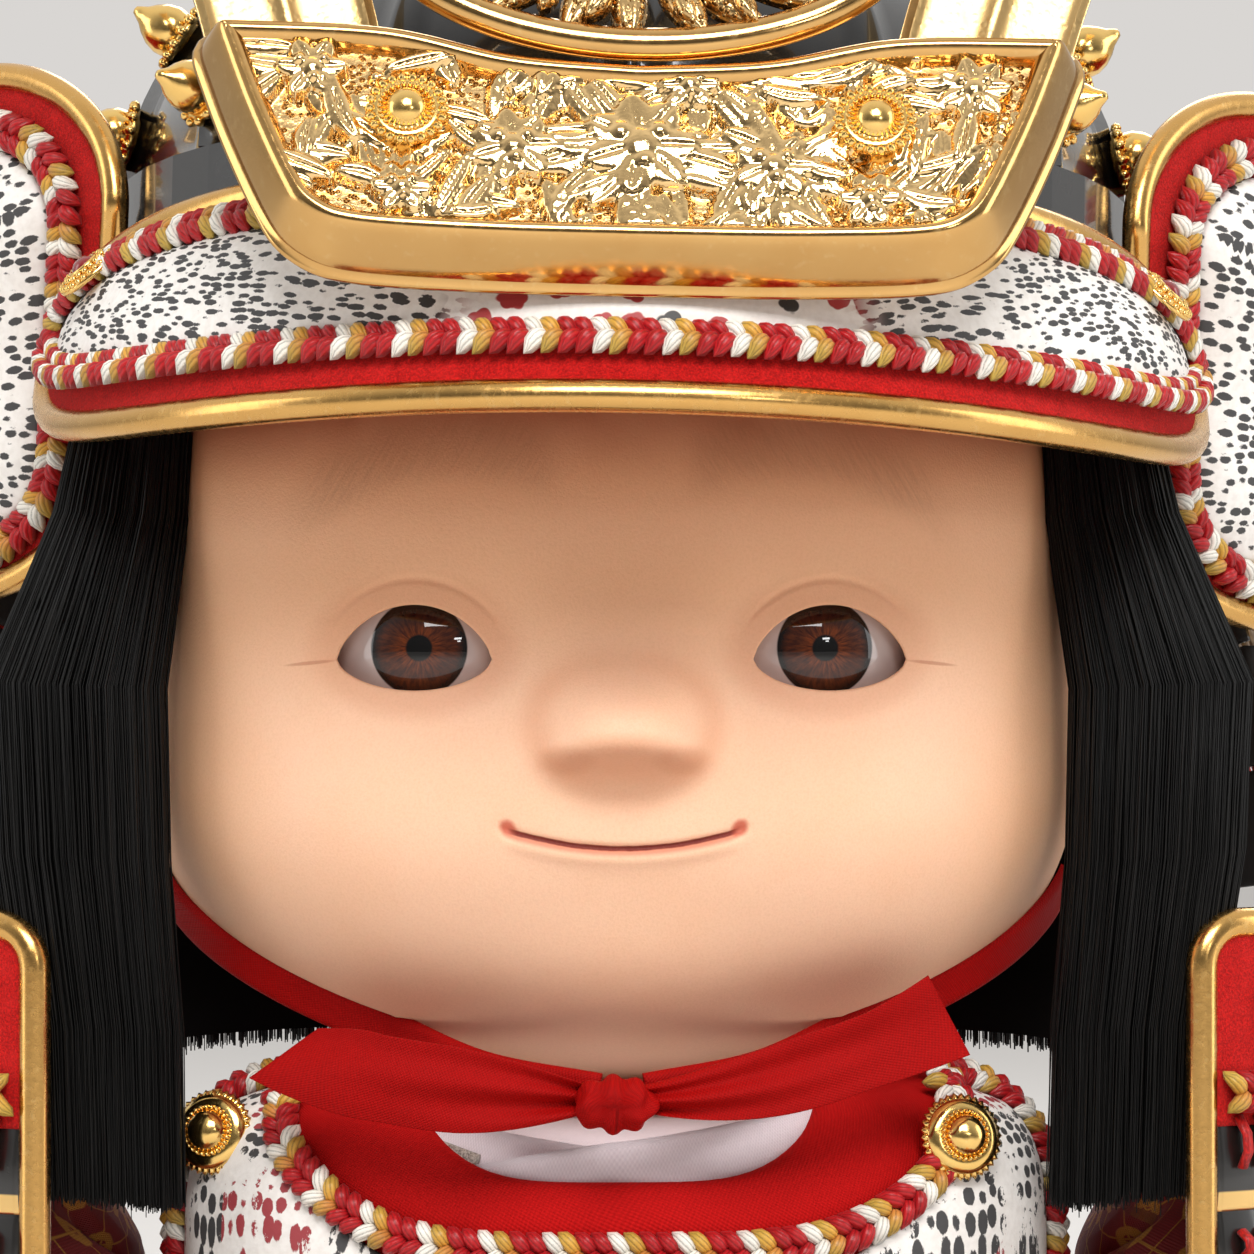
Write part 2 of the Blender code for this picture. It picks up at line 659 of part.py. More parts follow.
def make_band_and_lining():
    """The lacquered band under the bowl, and the padded lining that seats the helmet on the head."""
    turns = [2.0 * math.pi * i / 48 for i in range(48)]
    inner = BAND_RADIUS - BAND_THICKNESS
    profile = (
        (BAND_RADIUS, -BAND_DROP),
        (BAND_RADIUS, BAND_HEIGHT - BAND_DROP),
        (inner, BAND_HEIGHT - BAND_DROP),
        (inner, -BAND_DROP),
    )
    collar("helmet_band", [[polar(t, r, z) for t in turns] for r, z in profile], "black_lacquer", HELMET)
    turns = [2.0 * math.pi * i / 24 for i in range(24)]
    rings = [[head_point(t, math.radians(a), GAP * 2.5, False) for t in turns] for a in (82, 66, 50, 36)]
    for z in (-BAND_DROP, BAND_HEIGHT - BAND_DROP):
        rings.append([HELMET @ polar(t, inner - LINING_GAP, z) for t in turns])
    for tilt in BOWL_INNER_TILTS[::-1]:
        low = -BOWL_THICKNESS - LINING_GAP
        rings.append([HELMET @ bowl_point(t, math.radians(tilt), low) for t in turns])
    loft("helmet_lining", rings, "lining")


def visor_width(turn, span):
    """Share of the visor's full height that is left at an angle from the front."""
    return math.sqrt(max(1.0 - (abs(turn) / span) ** 4, 0.0))


def visor_surface(turn, level):
    """The visor's upper surface: level runs from -1 at its upper edge to 1 at its lower edge."""
    facing = math.cos(turn) ** 2 if abs(turn) < math.pi / 2.0 else 0.0
    radius = VISOR_MID_RADIUS + VISOR_FRONT_REACH * facing
    radius += level * (VISOR_SIDE_FLARE + VISOR_FRONT_FLARE * facing)
    radius += VISOR_CROWN * (1.0 - level * level)
    return polar(turn, radius, -VISOR_MID_DROP - level * VISOR_HALF_HEIGHT)


visor_place = with_offset(lambda turn, level: visor_surface(turn, level))


VISOR_SHARES = (0.0, 0.15, 0.30, 0.44, 0.57, 0.69, 0.80, 0.89, 0.955)


def visor_columns(span):
    """Angles across the visor, closer towards its ends."""
    return [-span * s for s in VISOR_SHARES[:0:-1]] + [span * s for s in VISOR_SHARES]


def visor_loop(span, high, low):
    """A closed loop of (turn, level) pairs inside the visor's outline, from its right end over the top."""
    columns = visor_columns(span)
    width = [visor_width(turn, span) for turn in columns]
    upper = [(turn, -high * w) for turn, w in zip(columns, width)]
    lower = [(turn, low * w) for turn, w in zip(columns, width)]
    return [(-span, 0.0)] + upper + [(span, 0.0)] + lower[::-1]


def make_visor():
    """The felted visor with a gilt rim, a printed leather field and a braid laid round it."""
    plate_span = VISOR_HALF_SPAN - VISOR_RIM_RADIUS * 2.0 / VISOR_MID_RADIUS

    def inner(turn, level, offset):
        return visor_place(turn, level * visor_width(turn, plate_span), offset)

    slope = math.hypot(VISOR_HALF_HEIGHT, VISOR_SIDE_FLARE + VISOR_FRONT_FLARE)
    plate_edge = 1.0 - (VISOR_RIM_RADIUS + GAP * 2.0) / VISOR_HALF_HEIGHT
    rows = spread(-plate_edge, plate_edge, 5)
    sheet("visor", inner, visor_columns(plate_span), rows, -VISOR_THICKNESS, 0.0, "red_felt", HELMET)
    loop = visor_loop(VISOR_HALF_SPAN, 1.0, 1.0)
    path = [visor_surface(*pair) for pair in loop]
    normals = [visor_place(*pair, 1.0) - visor_place(*pair, 0.0) for pair in loop]
    sweep("visor_rim", path, normals, circle(VISOR_RIM_RADIUS, 6), "gilt", True, HELMET)
    low = 1.0 - (VISOR_RIM_RADIUS + 0.0020 + BRAID_WIDTH / 2.0) / slope
    high = 1.0 - (VISOR_RIM_RADIUS + 0.0010 + BRAID_WIDTH / 2.0) / slope
    span = VISOR_HALF_SPAN - (VISOR_RIM_RADIUS + 0.0012 + BRAID_WIDTH / 2.0) / VISOR_MID_RADIUS
    loop = visor_loop(span, high, low)
    path = [visor_place(*pair, GAP) for pair in loop]
    normals = [visor_place(*pair, 1.0) - visor_place(*pair, 0.0) for pair in loop]
    braid = sweep("visor_braid", path, normals, braid_section(), "braid", True, HELMET)
    for side in (1, -1):
        turn = side * span * 0.80
        level = -high * math.sqrt(1.0 - 0.80**4)
        foot = visor_place(turn, level, GAP + BRAID_HEIGHT * 0.6)
        outwards = visor_place(turn, level, 1.0) - foot
        profile = ((0.0027, 0.0), (0.0027, 0.0014), (0.0018, 0.0022), (0.0006, 0.0028))
        tool = turned("visor_rivet", profile, "gilt", HELMET @ face_at(foot, outwards), 10)
        boolean(braid, tool, "UNION")
    inset = (BRAID_WIDTH / 2.0 + GAP * 2.0) / slope
    leather_span = span - (BRAID_WIDTH * 1.1) / VISOR_MID_RADIUS

    def leather(turn, share, offset):
        width = visor_width(turn, leather_span)
        edge = (low - inset) if share > 0.0 else (high - inset)
        return visor_place(turn, share * width * edge, offset)

    rows = (-1.0, -0.5, 0.0, 0.5, 1.0)
    columns = visor_columns(leather_span)
    sheet("visor_leather", leather, columns, rows, GAP, GAP + LEATHER_THICKNESS, "printed_leather", HELMET)


# Front plate, crest and horns

PLATE_FRAME = (
    HELMET @ Matrix.Translation((0.0, -PLATE_FORWARD, -PLATE_DROP)) @ Matrix.Rotation(PLATE_LEAN, 4, "X")
)


def grown(outline, distance):
    """An outline moved outwards by a distance, its corners mitred. The outline runs anticlockwise."""
    moved, count = [], len(outline)
    for i, point in enumerate(outline):
        here = Vector(point)
        before = (here - Vector(outline[i - 1])).normalized()
        after = (Vector(outline[(i + 1) % count]) - here).normalized()
        middle = Vector((before.y + after.y, -before.x - after.x)).normalized()
        share = max(middle.dot(Vector((before.y, -before.x))), 0.5)
        moved.append(tuple(here + middle * (distance / share)))
    return moved


def plate_outline(grow):
    """The front plate's outline as (x, up) in its own plane, from the middle of its foot round."""
    half, base, top = PLATE_HALF_WIDTH, PLATE_BASE_HALF_WIDTH, PLATE_EAR_HEIGHT
    right = [
        (0.0, 0.0),
        (base * 0.45, 0.0002),
        (base * 0.82, 0.0009),
        (base * 0.95, 0.0024),
        (base * 1.02, 0.0050),
        (half * 0.92, 0.0125),
        (half, top),
        (half * 0.60, top - 0.0004),
        (half * 0.30, CREST_BOTTOM + 0.0012),
    ]
    whole = right + [(0.0, CREST_BOTTOM + 0.0004)] + [(-x, z) for x, z in right[:0:-1]]
    return grown(whole, grow)


def leaf(name, centre, turn, length, width, height, depth):
    """A pointed leaf in relief on the front plate, rising to a rib."""
    points, faces, steps = [], [], 2
    for i in range(steps + 1):
        share = i / steps
        half = width / 2.0 * math.sin(math.pi * (0.08 + 0.84 * share))
        for side, rise in ((-1, 0.0), (0, 1.0), (1, 0.0)):
            x, z = (share - 0.5) * length, side * half
            points.append((x, z, rise * height * math.sin(math.pi * (0.15 + 0.7 * share))))
    for i in range(steps):
        a, b = i * 3, (i + 1) * 3
        faces += [(a, a + 1, b + 1, b), (a + 1, a + 2, b + 2, b + 1)]
    upper = len(points)
    points += [(x, z, -depth) for x, z, rise in points]
    for i in range(steps):
        a, b = upper + i * 3, upper + (i + 1) * 3
        faces += [(a, b, b + 1, a + 1), (a + 1, b + 1, b + 2, a + 2)]
    rim = [i * 3 for i in range(steps + 1)] + [steps * 3 + 1, steps * 3 + 2]
    rim += [i * 3 + 2 for i in range(steps - 1, -1, -1)] + [1]
    for a, b in zip(rim, rim[1:] + rim[:1]):
        faces.append((a, b, upper + b, upper + a))
    cosine, sine = math.cos(turn), math.sin(turn)
    placed = []
    for x, z, rise in points:
        placed.append((centre[0] + x * cosine - z * sine, -rise, centre[1] + x * sine + z * cosine))
    return make_object(name, placed, faces, "gilt", PLATE_FRAME)


def make_front_plate():
    """The pressed gilt plate: a dished tray with foliage in relief, two studs and a lug to the helmet band."""
    inner = -PLATE_RIM_WIDTH
    rings = [
        [Vector((x, PLATE_DEPTH, z)) for x, z in plate_outline(PLATE_FLARE)],
        [Vector((x, 0.0, z)) for x, z in plate_outline(0.0)],
        [Vector((x, 0.0, z)) for x, z in plate_outline(inner)],
        [Vector((x, PLATE_FIELD_RECESS, z)) for x, z in plate_outline(inner - 0.0004)],
    ]
    plate = loft("front_plate", rings, "gilt", PLATE_FRAME)
    sprays = [(0.0, 0.0082, 0.5 * math.pi, 0.0085, 0.0060)]
    for i in range(6):
        x = 0.0055 + i * 0.0042
        sprays.append((x, 0.0060 + 0.0012 * (i % 2) + 0.0004 * i, 0.35 + 0.9 * (i % 3), 0.0080, 0.0030))
        sprays.append((x + 0.0012, 0.0118 + 0.0005 * i, 2.3 - 0.8 * (i % 3), 0.0068, 0.0028))
    bodies = []
    for i, (x, z, turn, length, width) in enumerate(sprays):
        for side in (1, -1) if x > 0.0 else (1,):
            if abs(x) > PLATE_HALF_WIDTH - 0.0060:
                continue
            angle = turn if side > 0 else math.pi - turn
            depth = PLATE_FIELD_RECESS * 1.4 + 0.00002 * len(bodies)
            bodies.append(leaf(f"relief_{i}", (side * x, z), angle, length, width, 0.0008, depth))
    merged = bmesh.new()
    for body in bodies:
        merged.from_mesh(body.data)
    mesh = bpy.data.meshes.new("plate_relief")
    merged.to_mesh(mesh)
    merged.free()
    for body in bodies:
        bpy.data.objects.remove(body)
    relief = bpy.data.objects.new("plate_relief", mesh)
    bpy.context.scene.collection.objects.link(relief)
    relief.matrix_world = PLATE_FRAME
    boolean(plate, relief, "UNION", True)
    reach = -PLATE_FORWARD + PLATE_DEPTH
    ends = (-BAND_RADIUS - GAP * 2.0, reach)
    lug = [
        [Vector((x, y, z)) for x, z in ((-0.004, LUG_LOW), (0.004, LUG_LOW), (0.004, LUG_HIGH), (-0.004, LUG_HIGH))]
        for y in ends
    ]
    boolean(plate, loft("plate_lug", lug, "gilt", HELMET), "UNION")
    for side in (1, -1):
        frame = PLATE_FRAME @ face_at((side * 0.0190, PLATE_FIELD_RECESS * 1.5, 0.0115), (0, -1, 0))
        profile = ((0.0030, 0.0), (0.0032, 0.0018), (0.0026, 0.0026), (0.0017, 0.0026), (0.0006, 0.0040))
        boolean(plate, turned("plate_stud", profile, "gilt", frame, 12), "UNION")


def make_crest():
    """The openwork crest that stands on the front plate between the horns: an oval rim round a flower."""
    centre_z = CREST_BOTTOM + CREST_HALF_HEIGHT + CREST_RIM_RADIUS + GAP * 3.0
    steps = 24
    path = []
    for i in range(steps):
        a = 2.0 * math.pi * i / steps
        path.append(Vector((CREST_HALF_WIDTH * math.cos(a), 0.0, centre_z + CREST_HALF_HEIGHT * math.sin(a))))
    section = circle(CREST_RIM_RADIUS, 6, 1.0, 0.5)
    crest = sweep("front_crest", path, [(0, -1, 0)] * steps, section, "gilt", True, PLATE_FRAME)
    petals = 8
    for i in range(petals):
        a = 2.0 * math.pi * (i + 0.5) / petals
        tip = Vector((CREST_HALF_WIDTH * math.cos(a), CREST_HALF_HEIGHT * math.sin(a)))
        root = tip.normalized() * CREST_BOSS_RADIUS * 0.7
        middle = (tip + root) / 2.0
        centre = (middle.x, centre_z + middle.y)
        along = math.atan2(tip.y - root.y, tip.x - root.x)
        petal = leaf(f"petal_{i}", centre, along, (tip - root).length, 0.0050, 0.0009, 0.0006)
        boolean(crest, petal, "UNION")
    frame = PLATE_FRAME @ face_at((0.0, 0.0010, centre_z), (0, -1, 0))
    boss = CREST_BOSS_RADIUS
    profile = ((boss, 0.0), (boss, 0.0022), (boss * 0.65, 0.0034), (boss * 0.17, 0.0040))
    boolean(crest, turned("crest_boss", profile, "gilt", frame, 12), "UNION")


def make_horns():
    """Two flat gilt horns that rise behind the front plate and spread outwards."""
    frame = (
        HELMET
        @ Matrix.Translation((0.0, -PLATE_FORWARD + HORN_BEHIND_PLATE, -PLATE_DROP))
        @ Matrix.Rotation(HORN_LEAN, 4, "X")
    )
    rows = (
        (0.120, 0.0205, 0.0345),
        (0.200, 0.0215, 0.0362),
        (0.300, 0.0245, 0.0395),
        (0.420, 0.0300, 0.0445),
        (0.560, 0.0375, 0.0520),
        (0.700, 0.0435, 0.0600),
        (0.840, 0.0455, 0.0665),
        (0.930, 0.0445, 0.0690),
    )
    for side, word in ((1, "left"), (-1, "right")):
        inner = [(side * a, share * HORN_LENGTH) for share, a, b in rows]
        outer = [(side * b, share * HORN_LENGTH) for share, a, b in rows]
        tip_in = (side * rows[-1][1] * 0.97, HORN_LENGTH)
        tip_out = (side * rows[-1][2] * 1.02, HORN_LENGTH)
        notch = (side * (rows[-1][1] + rows[-1][2]) / 2.0, HORN_LENGTH * 0.90)
        outline = inner + [tip_in, notch, tip_out] + outer[::-1]
        points = [(x, 0.0, z) for x, z in outline] + [(x, HORN_THICKNESS, z) for x, z in outline]
        count = len(outline)
        faces = [tuple(range(count)), tuple(range(2 * count - 1, count - 1, -1))]
        faces += [(i, (i + 1) % count, count + (i + 1) % count, count + i) for i in range(count)]
        horn = make_object("horn_" + word, points, faces, "gilt", frame)
        bevel = horn.modifiers.new("Edge", "BEVEL")
        bevel.width = HORN_THICKNESS * 0.25
        bevel.segments = 1


# Turnbacks and neck guard


def egg_outline(shrink, count=20):
    """The turnback's outline as (out, up): a large round top drawn down to a small round foot."""
    (x1, z1), (x2, z2) = TURNBACK_TOP_CENTRE, TURNBACK_LOW_CENTRE
    r1, r2 = TURNBACK_TOP_RADIUS - shrink, TURNBACK_LOW_RADIUS - shrink
    away = math.atan2(z1 - z2, x1 - x2)
    lean = math.acos((r1 - r2) / math.hypot(x1 - x2, z1 - z2))
    pairs = []
    half = count // 2
    for i in range(half):
        a = away - (math.pi - lean) + 2.0 * (math.pi - lean) * i / (half - 1)
        pairs.append((x1 + r1 * math.cos(a), z1 + r1 * math.sin(a)))
    for i in range(half):
        a = away + (math.pi - lean) + 2.0 * lean * i / (half - 1)
        pairs.append((x2 + r2 * math.cos(a), z2 + r2 * math.sin(a)))
    return pairs


def turnback_surface(side):
    """place(out, up, offset) on the curled turnback of one side, offset towards the front."""

    def surface(out, up):
        near = TURNBACK_TOP_CENTRE[0] - TURNBACK_TOP_RADIUS
        curl = -0.0151 + 1.05 * (out - near) + 9.0 * max(out - near - 0.012, 0.0) ** 2
        fallen = min(max(TURNBACK_TOP_CENTRE[1] - up, 0.0) / TURNBACK_SWEEP_DROP, 1.0)
        sweep_back = TURNBACK_SWEEP * math.sin(fallen * math.pi / 2.0)
        return Vector((side * out, curl + sweep_back, up))

    raw = with_offset(surface)
    return lambda out, up, offset: raw(out, up, offset * side)


def make_turnbacks():
    """Each turnback: a felted ear with a raised gilt edge, a braid and a padded leather field."""
    for side, word in ((1, "left"), (-1, "right")):
        place = turnback_surface(side)
        edge = egg_outline(0.0)
        board = pad(
            "turnback_" + word, place, edge, -TURNBACK_THICKNESS, lambda scale: 0.0, "red_felt", HELMET
        )
        path = [place(*pair, -TURNBACK_THICKNESS / 2.0) for pair in edge]
        normals = [place(*pair, 1.0) - place(*pair, 0.0) for pair in edge]
        rim = sweep("turnback_rim", path, normals, circle(TURNBACK_RIM_RADIUS, 6), "gilt", True, HELMET)
        boolean(board, rim, "UNION")
        braid_inset = TURNBACK_RIM_RADIUS + BRAID_WIDTH / 2.0 + 0.0008
        loop = egg_outline(braid_inset)
        loop = [(out, up - 0.0010) for out, up in loop]
        path = [place(*pair, 0.0) for pair in loop]
        normals = [place(*pair, 1.0) - place(*pair, 0.0) for pair in loop]
        sweep("turnback_braid_" + word, path, normals, braid_section(), "braid", True, HELMET)
        field = egg_outline(braid_inset + BRAID_WIDTH / 2.0 + GAP * 2.0)
        field = [(out, up - 0.0010) for out, up in field]
        pad(
            "turnback_leather_" + word,
            place,
            field,
            GAP,
            lambda scale: GAP + LEATHER_THICKNESS + TURNBACK_PAD_HEIGHT * (1.0 - scale**2.5),
            "printed_leather",
            HELMET,
        )


def make_neck_guard():
    """Laced lames that flare round the back of the neck, stepping outwards as they go down."""
    start = BAND_RADIUS + GAP
    profile_out, profile_in = [], []
    for i in range(GUARD_LAMES):
        top, bottom = -i * GUARD_LAME_HEIGHT, -(i + 1) * GUARD_LAME_HEIGHT
        base = start + GUARD_THICKNESS + i * GUARD_STEP
        profile_out.append((base - top * GUARD_FLARE, top))
        profile_out.append((base - bottom * GUARD_FLARE, bottom))
    for i in range(GUARD_LAMES + 1):
        z = -i * GUARD_LAME_HEIGHT
        step = min(i, GUARD_LAMES - 1) * GUARD_STEP
        profile_in.append((start - z * GUARD_FLARE + step * 0.8, z))
    profile = profile_out + profile_in[::-1]
    columns = spread(GUARD_FRONT_ANGLE, 2.0 * math.pi - GUARD_FRONT_ANGLE, 17)
    rings = [[polar(turn, r, z) for r, z in profile] for turn in columns]
    loft("neck_guard", rings, "black_lacquer", HELMET)


# Body


def torso_point(turn, level, offset):
    """The body's surface: level 0 at the waist, 1 at the shoulders, 2 at the neck."""
    if level <= 1.0:
        z = WAIST_Z + (SHOULDER_Z - WAIST_Z) * level
        ease = math.sin(level * math.pi / 2.0)
        width = WAIST_HALF_WIDTH + (CHEST_HALF_WIDTH - WAIST_HALF_WIDTH) * ease + offset
        depth = WAIST_HALF_DEPTH + (CHEST_HALF_DEPTH - WAIST_HALF_DEPTH) * ease + offset
    else:
        psi = (level - 1.0) * math.pi / 2.0
        z = SHOULDER_Z + (SHOULDER_RISE + offset) * math.sin(psi) ** 0.5
        shrink = max(math.cos(psi), 0.0) ** 0.5
        width, depth = (CHEST_HALF_WIDTH + offset) * shrink, (CHEST_HALF_DEPTH + offset) * shrink
    x = width * power(math.sin(turn), 2.0 / 2.3)
    return Vector((x, -depth * power(math.cos(turn), 2.0 / 2.3), z))


def body_turns():
    """The angles that every layer of the body shares, so that nested layers stay clear of one another."""
    return [2.0 * math.pi * i / BODY_SIDES for i in range(BODY_SIDES)]


def layer_rows(bottom, top, turn):
    """Levels of a garment's rows at one angle: few below the shoulders, closer over them."""
    rows = [bottom, (bottom + 1.0) / 2.0] if bottom < 0.95 else []
    return rows + [1.0 + (top(turn) - 1.0) * share for share in (0.0, 0.4, 0.75, 1.0)]


def torso_height(level):
    """Height of a body level."""
    if level <= 1.0:
        return WAIST_Z + (SHOULDER_Z - WAIST_Z) * level
    return SHOULDER_Z + SHOULDER_RISE * math.sin((level - 1.0) * math.pi / 2.0) ** 0.5


def torso_level(z):
    """The body level at a height."""
    if z <= SHOULDER_Z:
        return (z - WAIST_Z) / (SHOULDER_Z - WAIST_Z)
    return 1.0 + math.asin(((z - SHOULDER_Z) / SHOULDER_RISE) ** 2) * 2.0 / math.pi


def shell_layer(name, low, high, bottom, top, look):
    """A garment layer round the body between two offsets, its upper edge given by top(turn)."""
    turns = body_turns()
    rows = [layer_rows(bottom, top, t) for t in turns]
    count = len(rows[0])
    rings = [[torso_point(t, row[i], high) for t, row in zip(turns, rows)] for i in range(count)]
    rings += [[torso_point(t, row[i], low) for t, row in zip(turns, rows)] for i in reversed(range(count))]
    return collar(name, rings, look)


def neckline(depth, side, narrow=0.55):
    """An upper edge that is low at the front and rises to the shoulders."""

    def top(turn):
        facing = max(math.cos(turn), 0.0) ** (1.0 / narrow)
        return side - (side - depth) * facing

    return top


def make_body():
    """The stuffed core on its peg, the white collar, the red robe and the armour over them."""
    inside = -CORE_INSET
    turns = body_turns()
    levels = (0.0, 0.5, 1.0, 1.36, 1.68, 1.9)
    rings = [[torso_point(t, level, inside - GAP) for t in turns] for level in levels]
    for z in (WAIST_Z - GAP, HIP_TOP_Z + GAP):
        rings.insert(0, [Vector((POST_RADIUS * math.sin(t), -POST_RADIUS * math.cos(t), z)) for t in turns])
    core = loft("torso_core", rings, "wood")
    hole = ((PEG_RADIUS + GAP, CHIN_Z - PEG_DEPTH_IN_BODY - GAP), (PEG_RADIUS + GAP, CHIN_Z + 0.010))
    boolean(core, turned("cut_peg_hole_in_body", hole, "wood"))
    profile = ((PEG_RADIUS, CHIN_Z - PEG_DEPTH_IN_BODY), (PEG_RADIUS, CHIN_Z + PEG_DEPTH_IN_HEAD))
    turned("neck_peg", profile, "wood")
    kimono_in = inside + LAYER_GAP
    robe_in = kimono_in + KIMONO_THICKNESS + LAYER_GAP
    armour_in = robe_in + ROBE_THICKNESS + LAYER_GAP
    shell_layer("white_kimono", kimono_in, kimono_in + KIMONO_THICKNESS, 1.0, neckline(1.80, 1.93), "white_cotton")
    shell_layer("red_robe", robe_in, robe_in + ROBE_THICKNESS, 0.80, neckline(1.06, 1.80), "red_silk")
    armour_out = armour_in + ARMOUR_THICKNESS
    make_cuirass(armour_in, armour_out)
    make_chest(armour_in, armour_out)
    make_sash_and_skirt(armour_out)


def make_cuirass(low, high):
    """The laced lower armour: rows of lames round the waist, each standing a little over the next."""
    turns = body_turns()
    first, last, lames = 0.06, 0.86, 4
    rings = []
    for i in range(lames):
        a = first + (last - first) * i / lames
        b = first + (last - first) * (i + 0.95) / lames
        rings.append([torso_point(t, a, high + LAME_STEP) for t in turns])
        rings.append([torso_point(t, b, high) for t in turns])
    rings += [[torso_point(t, level, low) for t in turns] for level in (last, (first + last) / 2.0, first)]
    collar("cuirass", rings, "black_lacquer")


def chest_edge(turn):
    """Upper edge of the breast and back plates as a body level: a dipped neckline, high shoulders."""
    turn = turn if turn <= math.pi else turn - 2.0 * math.pi
    front = math.exp(-((turn / 0.50) ** 4))
    return 1.70 - 0.52 * front


def make_chest(low, high):
    """Breast and back plates joined over the shoulders, with leather fields, a braid and two buttons."""
    shell_layer("chest_plate", low, high, 0.90, chest_edge, "red_felt")
    path, normals = [], []
    for t in spread(-0.98, 0.98, 19):
        level = braid_level(t)
        path.append(torso_point(t, level, high + GAP * 1.5))
        normals.append(torso_point(t, level, high + 0.01) - path[-1])
    sweep("chest_braid", path, normals, braid_section(), "braid")
    for side, word in ((1, "left"), (-1, "right")):

        def place(along, share, offset, side=side):
            near_turn = 0.06 + 0.92 * along
            near = torso_height(braid_level(near_turn)) - BRAID_WIDTH * (0.9 - 0.3 * along)
            near_turn += 0.075 * along**3
            far_turn = min(0.06 + 1.9 * along, LEATHER_END_TURN)
            far = LEATHER_FOOT_Z + (LEATHER_TOP_Z - LEATHER_FOOT_Z) * max(along - 0.6, 0.0) / 0.4
            turn = near_turn + (far_turn - near_turn) * share
            return torso_point(side * turn, torso_level(near + (far - near) * share), offset)

        columns = spread(0.0, 1.0, 9)
        skin = (high + GAP * 3.0, high + GAP * 3.0 + LEATHER_THICKNESS)
        sheet("chest_leather_" + word, place, columns, (0.0, 0.5, 1.0), *skin, "printed_leather")
        base = high + GAP * 2.0
        foot = torso_point(side * BUTTON_SIDE, BUTTON_LEVEL, base)
        outwards = torso_point(side * BUTTON_SIDE, BUTTON_LEVEL, base + 0.01) - foot
        profile = (
            (BUTTON_RADIUS * 0.80, 0.0),
            (BUTTON_RADIUS, BUTTON_HEIGHT * 0.40),
            (BUTTON_RADIUS * 0.62, BUTTON_HEIGHT * 0.50),
            (BUTTON_RADIUS * 0.55, BUTTON_HEIGHT * 0.75),
            (BUTTON_RADIUS * 0.20, BUTTON_HEIGHT),
        )
        turned("chest_button_" + word, profile, "gilt", face_at(foot, outwards), 14)


def braid_level(turn):
    """Where the chest braid runs, as a body level: a wide U under the neckline."""
    return 1.025 + 0.53 * (abs(turn) / 0.98) ** 4.2


def make_sash_and_skirt(high):
    """The waist sash and four laced skirt panels that hang from the armour."""
    path = []
    for t in body_turns():
        p = torso_point(t, SASH_LEVEL, high + LAME_STEP + SASH_RADIUS + GAP)
        path.append(Vector((p.x, p.y, WAIST_Z + SASH_RADIUS)))
    sweep("waist_sash", path, [(0, 0, 1)] * BODY_SIDES, circle(SASH_RADIUS, 6), "white_cotton", True)
    start = high + LAME_STEP + GAP

    def place(turn, share, offset):
        p = torso_point(turn, 0.0, start + SKIRT_FLARE * share + offset)
        step = 0.0007 * math.floor(share * SKIRT_LAMES * 0.999)
        return Vector((p.x * (1.0 + step), p.y, WAIST_Z - GAP - SKIRT_DROP * share + step))

    rows = spread(0.0, 1.0, SKIRT_LAMES * 2)
    spans = (("front", -34, 34), ("left", 38, 142), ("back", 146, 214), ("right", 218, 322))
    for word, first, last in spans:
        columns = [math.radians(a) for a in spread(first, last, 8)]
        sheet("skirt_" + word, place, columns, rows, 0.0, ARMOUR_THICKNESS, "black_lacquer")


def make_back_bow():
    """The red tasselled knot that hangs from a ring on the back plate."""
    high = -CORE_INSET + LAYER_GAP * 3.0 + KIMONO_THICKNESS + ROBE_THICKNESS + ARMOUR_THICKNESS
    top = torso_point(math.pi, 1.0, high)
    y = top.y + GAP * 2.0 + KNOT_CORD_RADIUS
    centre = Vector((0.0, y, SHOULDER_Z - 0.004))
    path, normals = [], []
    steps = 27
    for i in range(steps):
        a = 2.0 * math.pi * i / steps
        reach = 0.0052 + 0.0082 * abs(math.sin(1.5 * a)) ** 0.7
        path.append(centre + Vector((reach * math.sin(a), 0.0, reach * math.cos(a))))
        normals.append((0, 1, 0))
    knot = sweep("back_knot", path, normals, circle(KNOT_CORD_RADIUS, 6), "red_silk", True)
    for side in (1, -1):
        foot = centre + Vector((side * 0.0060, 0.0, -0.0095))
        profile = ((0.0033, -0.0165), (0.0031, -0.0100), (0.0022, -0.0050), (0.0018, 0.0))
        boolean(knot, turned("tassel", profile, "red_silk", Matrix.Translation(foot), 10), "UNION")


# Chin cord and bow


